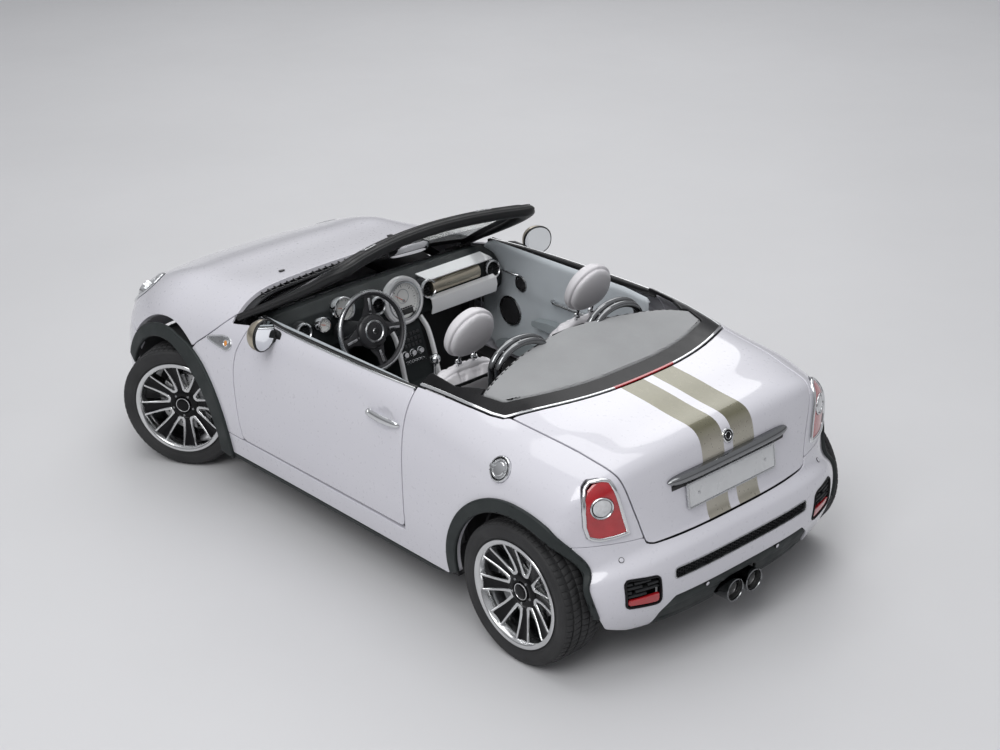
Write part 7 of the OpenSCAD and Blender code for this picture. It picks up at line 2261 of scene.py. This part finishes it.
class ROADSTER_OT_sides(PieceOperator, bpy.types.Operator):
    """Scuttle plates with round lamps, fuel cap, roll hoops and wheelhouse liners"""
    bl_idname = "roadster.sides"
    bl_label = "Sides"

    def make(self, s):
        # teardrop plates behind the bonnet's edge, with a round lamp
        drop = [(768, 760), (700, 780), (630, 800), (576, 806), (548, 792), (546, 764), (580, 746), (680, 750)]
        ring = rounded(drop, 12)
        plates, lamps = Kit(), Kit()
        body = panel_mesh(lambda p: away(ring, p[..., 0], p[..., 2]) + 3, (10, 17), (0.3, 1), 8, 3, 8, inset=-4)
        bead = beading(ring, (10, 17), 3.4, 4, 2, axes="xz", step=14)
        for flip in (False, True):
            plates.add(body, 0, flip=flip).add(bead, 1, flip=flip)
            m = on_body(4, 1, x=586.0, z=777.0, u=(10, 17))
            lamps.add(lathe([(13, -3), (17, 0), (18, 4), (15, 6), (13, 4), (13, -3)], 36), 0, m, flip=flip)
            lamps.add(lathe([(0, 5.5), (8, 5), (13, 3), (13, -2), (0, -2)], 32), 1, m, flip=flip)
        plates.piece("scuttle_plates", ["satin", "chrome"], "car_body", "chrome")
        lamps.piece("scuttle_lamps", ["chrome", "amber"], "car_body", "lamp_glass")
        # fuel cap: ring on the body, lid on its hinge
        m = placed(-1270, 778, 810, rx=-60)
        ringk = Kit().add(lathe([(44.5, -20), (51.5, -20), (53.2, -2), (52.6, 4), (50, 6.5), (47, 6), (45, 2),
            (44.5, -20)], 72), 0, m)
        for k in range(8):
            ringk.add(lathe([(0, 7.4), (2.6, 7.4), (3.2, 6), (3.2, 4), (0, 4)], 12), 0,
                m @ placed(rz=22.5 + 45 * k) @ placed(48.8, 0, 0))
        ringk.piece("fuel_cap_ring", ["chrome"], "car_body", "chrome", ["fuel_ring"])
        lid = Kit().add(lathe([(0, -5.5), (38, -5.5), (41, -2), (41.5, 4), (39, 8), (34, 8.5), (32, 6.4), (29, 6.4),
            (26, 9.4), (14, 10.8), (0, 11.2)], 72), 0, m)
        for k in range(20):
            lid.add(rbox((34.6, -1.4, 5), (39.6, 1.4, 8.8), 0.8, 1), 0, m @ placed(rz=18 * k))
        lid.add(rbox((22, -9, 8), (50, 9, 12), 3, 2), 0, m)
        lid.piece("fuel_cap_lid", ["chrome"], "fuel_flap", "chrome", ["fuel_flap"], 35)
        # twin roll hoops with their feet
        hoops = Kit()
        for flip in (False, True):
            for k in (0, 1):
                w, x = 152 - 12 * k, -838 - 30 * k
                path = [(x, 278 - w, 824)] + [(x, 278 - w * math.cos(a), 975 + (98 - 8 * k) * math.sin(a))
                    for a in np.radians(np.linspace(0, 180, 41))] + [(x, 278 + w, 824)]
                path = smooth_path(path, 110)
                hoops.add(tube(path, 14.4, 14.4, 20, up=(1, 0, 0)), 0, flip=flip)
                for y in (278 - w, 278 + w):
                    hoops.add(lathe([(15, 824), (22, 824), (23, 828), (20, 836), (15.2, 840), (15, 824)], 36), 0,
                        placed(x, y, 0), flip=flip)
            for a in (50, 90, 130):
                c = math.cos(math.radians(a)), math.sin(math.radians(a))
                p0 = np.array([-838, 278 - 152 * c[0], 975 + 98 * c[1]])
                p1 = np.array([-868, 278 - 140 * c[0], 975 + 90 * c[1]])
                hoops.add(tube([p0, (p0 + p1) / 2, p1], 6, n=12), 0, flip=flip)
        hoops.piece("hoop_tubes", ["dark chrome"], "car_body", "dark_chrome", ["roll_hoops"], 50)
        # liners over the front wheels
        liner = Kit()
        rows = []
        for a in np.radians(np.linspace(-8, 186, 41)):
            rows.append([(AXLE_F + (352 + 6 * math.sin(9 * a)) * math.cos(a), y,
                AXLE_Z + (352 + 6 * math.sin(9 * a)) * math.sin(a)) for y in np.linspace(486, 786, 9)])
        arch = shell(np.array(rows)[::-1], -2.5)
        for flip in (False, True):
            liner.add(arch, flip=flip)
        liner.piece("front_wheel_liners", ["under"], "car_body", "dark_plastic")
        # hinge arms: two in each door, and one gooseneck each side of the lid
        knuckle = lathe([(6.3, -17), (10, -18), (11, -17), (11, 17), (10, 18), (6.3, 17), (6.3, -17)], 32)
        arms = []
        for z in (450, 580):
            arms += [(knuckle, placed(590, 790, z)), (rbox((582, 696, z - 14), (598, 781, z + 14), 3), None),
                (rbox((440, 696, z - 14), (598, 710, z + 14), 3), None)]
        neck = [(-1127, 913), (-1109, 913), (-1142, 790), (-1250, 790), (-1262, 945), (-1238, 945), (-1232, 812),
            (-1156, 812)]
        goose = [(knuckle, placed(-1118, 560, 918, rx=90)), (plate(rounded(neck, 8), -567, -553, 2.5, 2),
            placed(rx=90))]
        for name, body, parts, sides in (("door_left_hinges", "door_left", arms, (False,)),
            ("door_right_hinges", "door_right", arms, (True,)),
                ("lid_hinge_arms", "boot_lid", goose, (False, True))):
            kit = Kit()
            for flip in sides:
                for geo, m in parts:
                    kit.add(geo, 0, m, flip)
            kit.piece(name, ["cast"], body, "paint")


class ROADSTER_OT_solids(PieceOperator, bpy.types.Operator):
    """Finishes for the solids that show as they are"""
    bl_idname = "roadster.solids"
    bl_label = "Solids' finishes"

    def make(self, s):
        for node, name in (("platform", "under"), ("boot_tub", "under"), ("front_subframe", "under"),
                ("rear_axle", "under"), ("knuckle_left", "cast"), ("knuckle_right", "cast"),
                ("engine", "cast"), ("exhaust", "steel")):
            obj = frame["nodes"][node]
            obj.data.materials.clear()
            obj.data.materials.append(finish(name))


class ROADSTER_PT_panel(bpy.types.Panel):
    """Lists the pieces and their sizes"""
    bl_idname = "ROADSTER_PT_panel"
    bl_label = "Roadster"
    bl_space_type = "VIEW_3D"
    bl_region_type = "UI"
    bl_category = "Roadster"

    def draw(self, context):
        for op in OPERATORS:
            self.layout.operator(op.bl_idname)
        for name in Sizes.__annotations__:
            self.layout.prop(context.scene.roadster, name)


OPERATORS = [v for v in list(globals().values()) if isinstance(v, type) and issubclass(v, PieceOperator)
    and issubclass(v, bpy.types.Operator)]


def register():
    for c in (Sizes, *OPERATORS, ROADSTER_PT_panel):
        bpy.utils.register_class(c)
    bpy.types.Scene.roadster = PointerProperty(type=Sizes)


def unregister():
    del bpy.types.Scene.roadster
    for c in reversed((Sizes, *OPERATORS, ROADSTER_PT_panel)):
        bpy.utils.unregister_class(c)


def main():
    register()
    for op in OPERATORS:
        group, name = op.bl_idname.split(".")
        getattr(getattr(bpy.ops, group), name)()
    lo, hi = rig.bounds()
    with open("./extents.json", "w") as f:
        json.dump({"cad": [list(CAD_BOX[0]), list(CAD_BOX[1])], "visual": [list(lo), list(hi)]}, f)


if __name__ == "__main__":
    main()
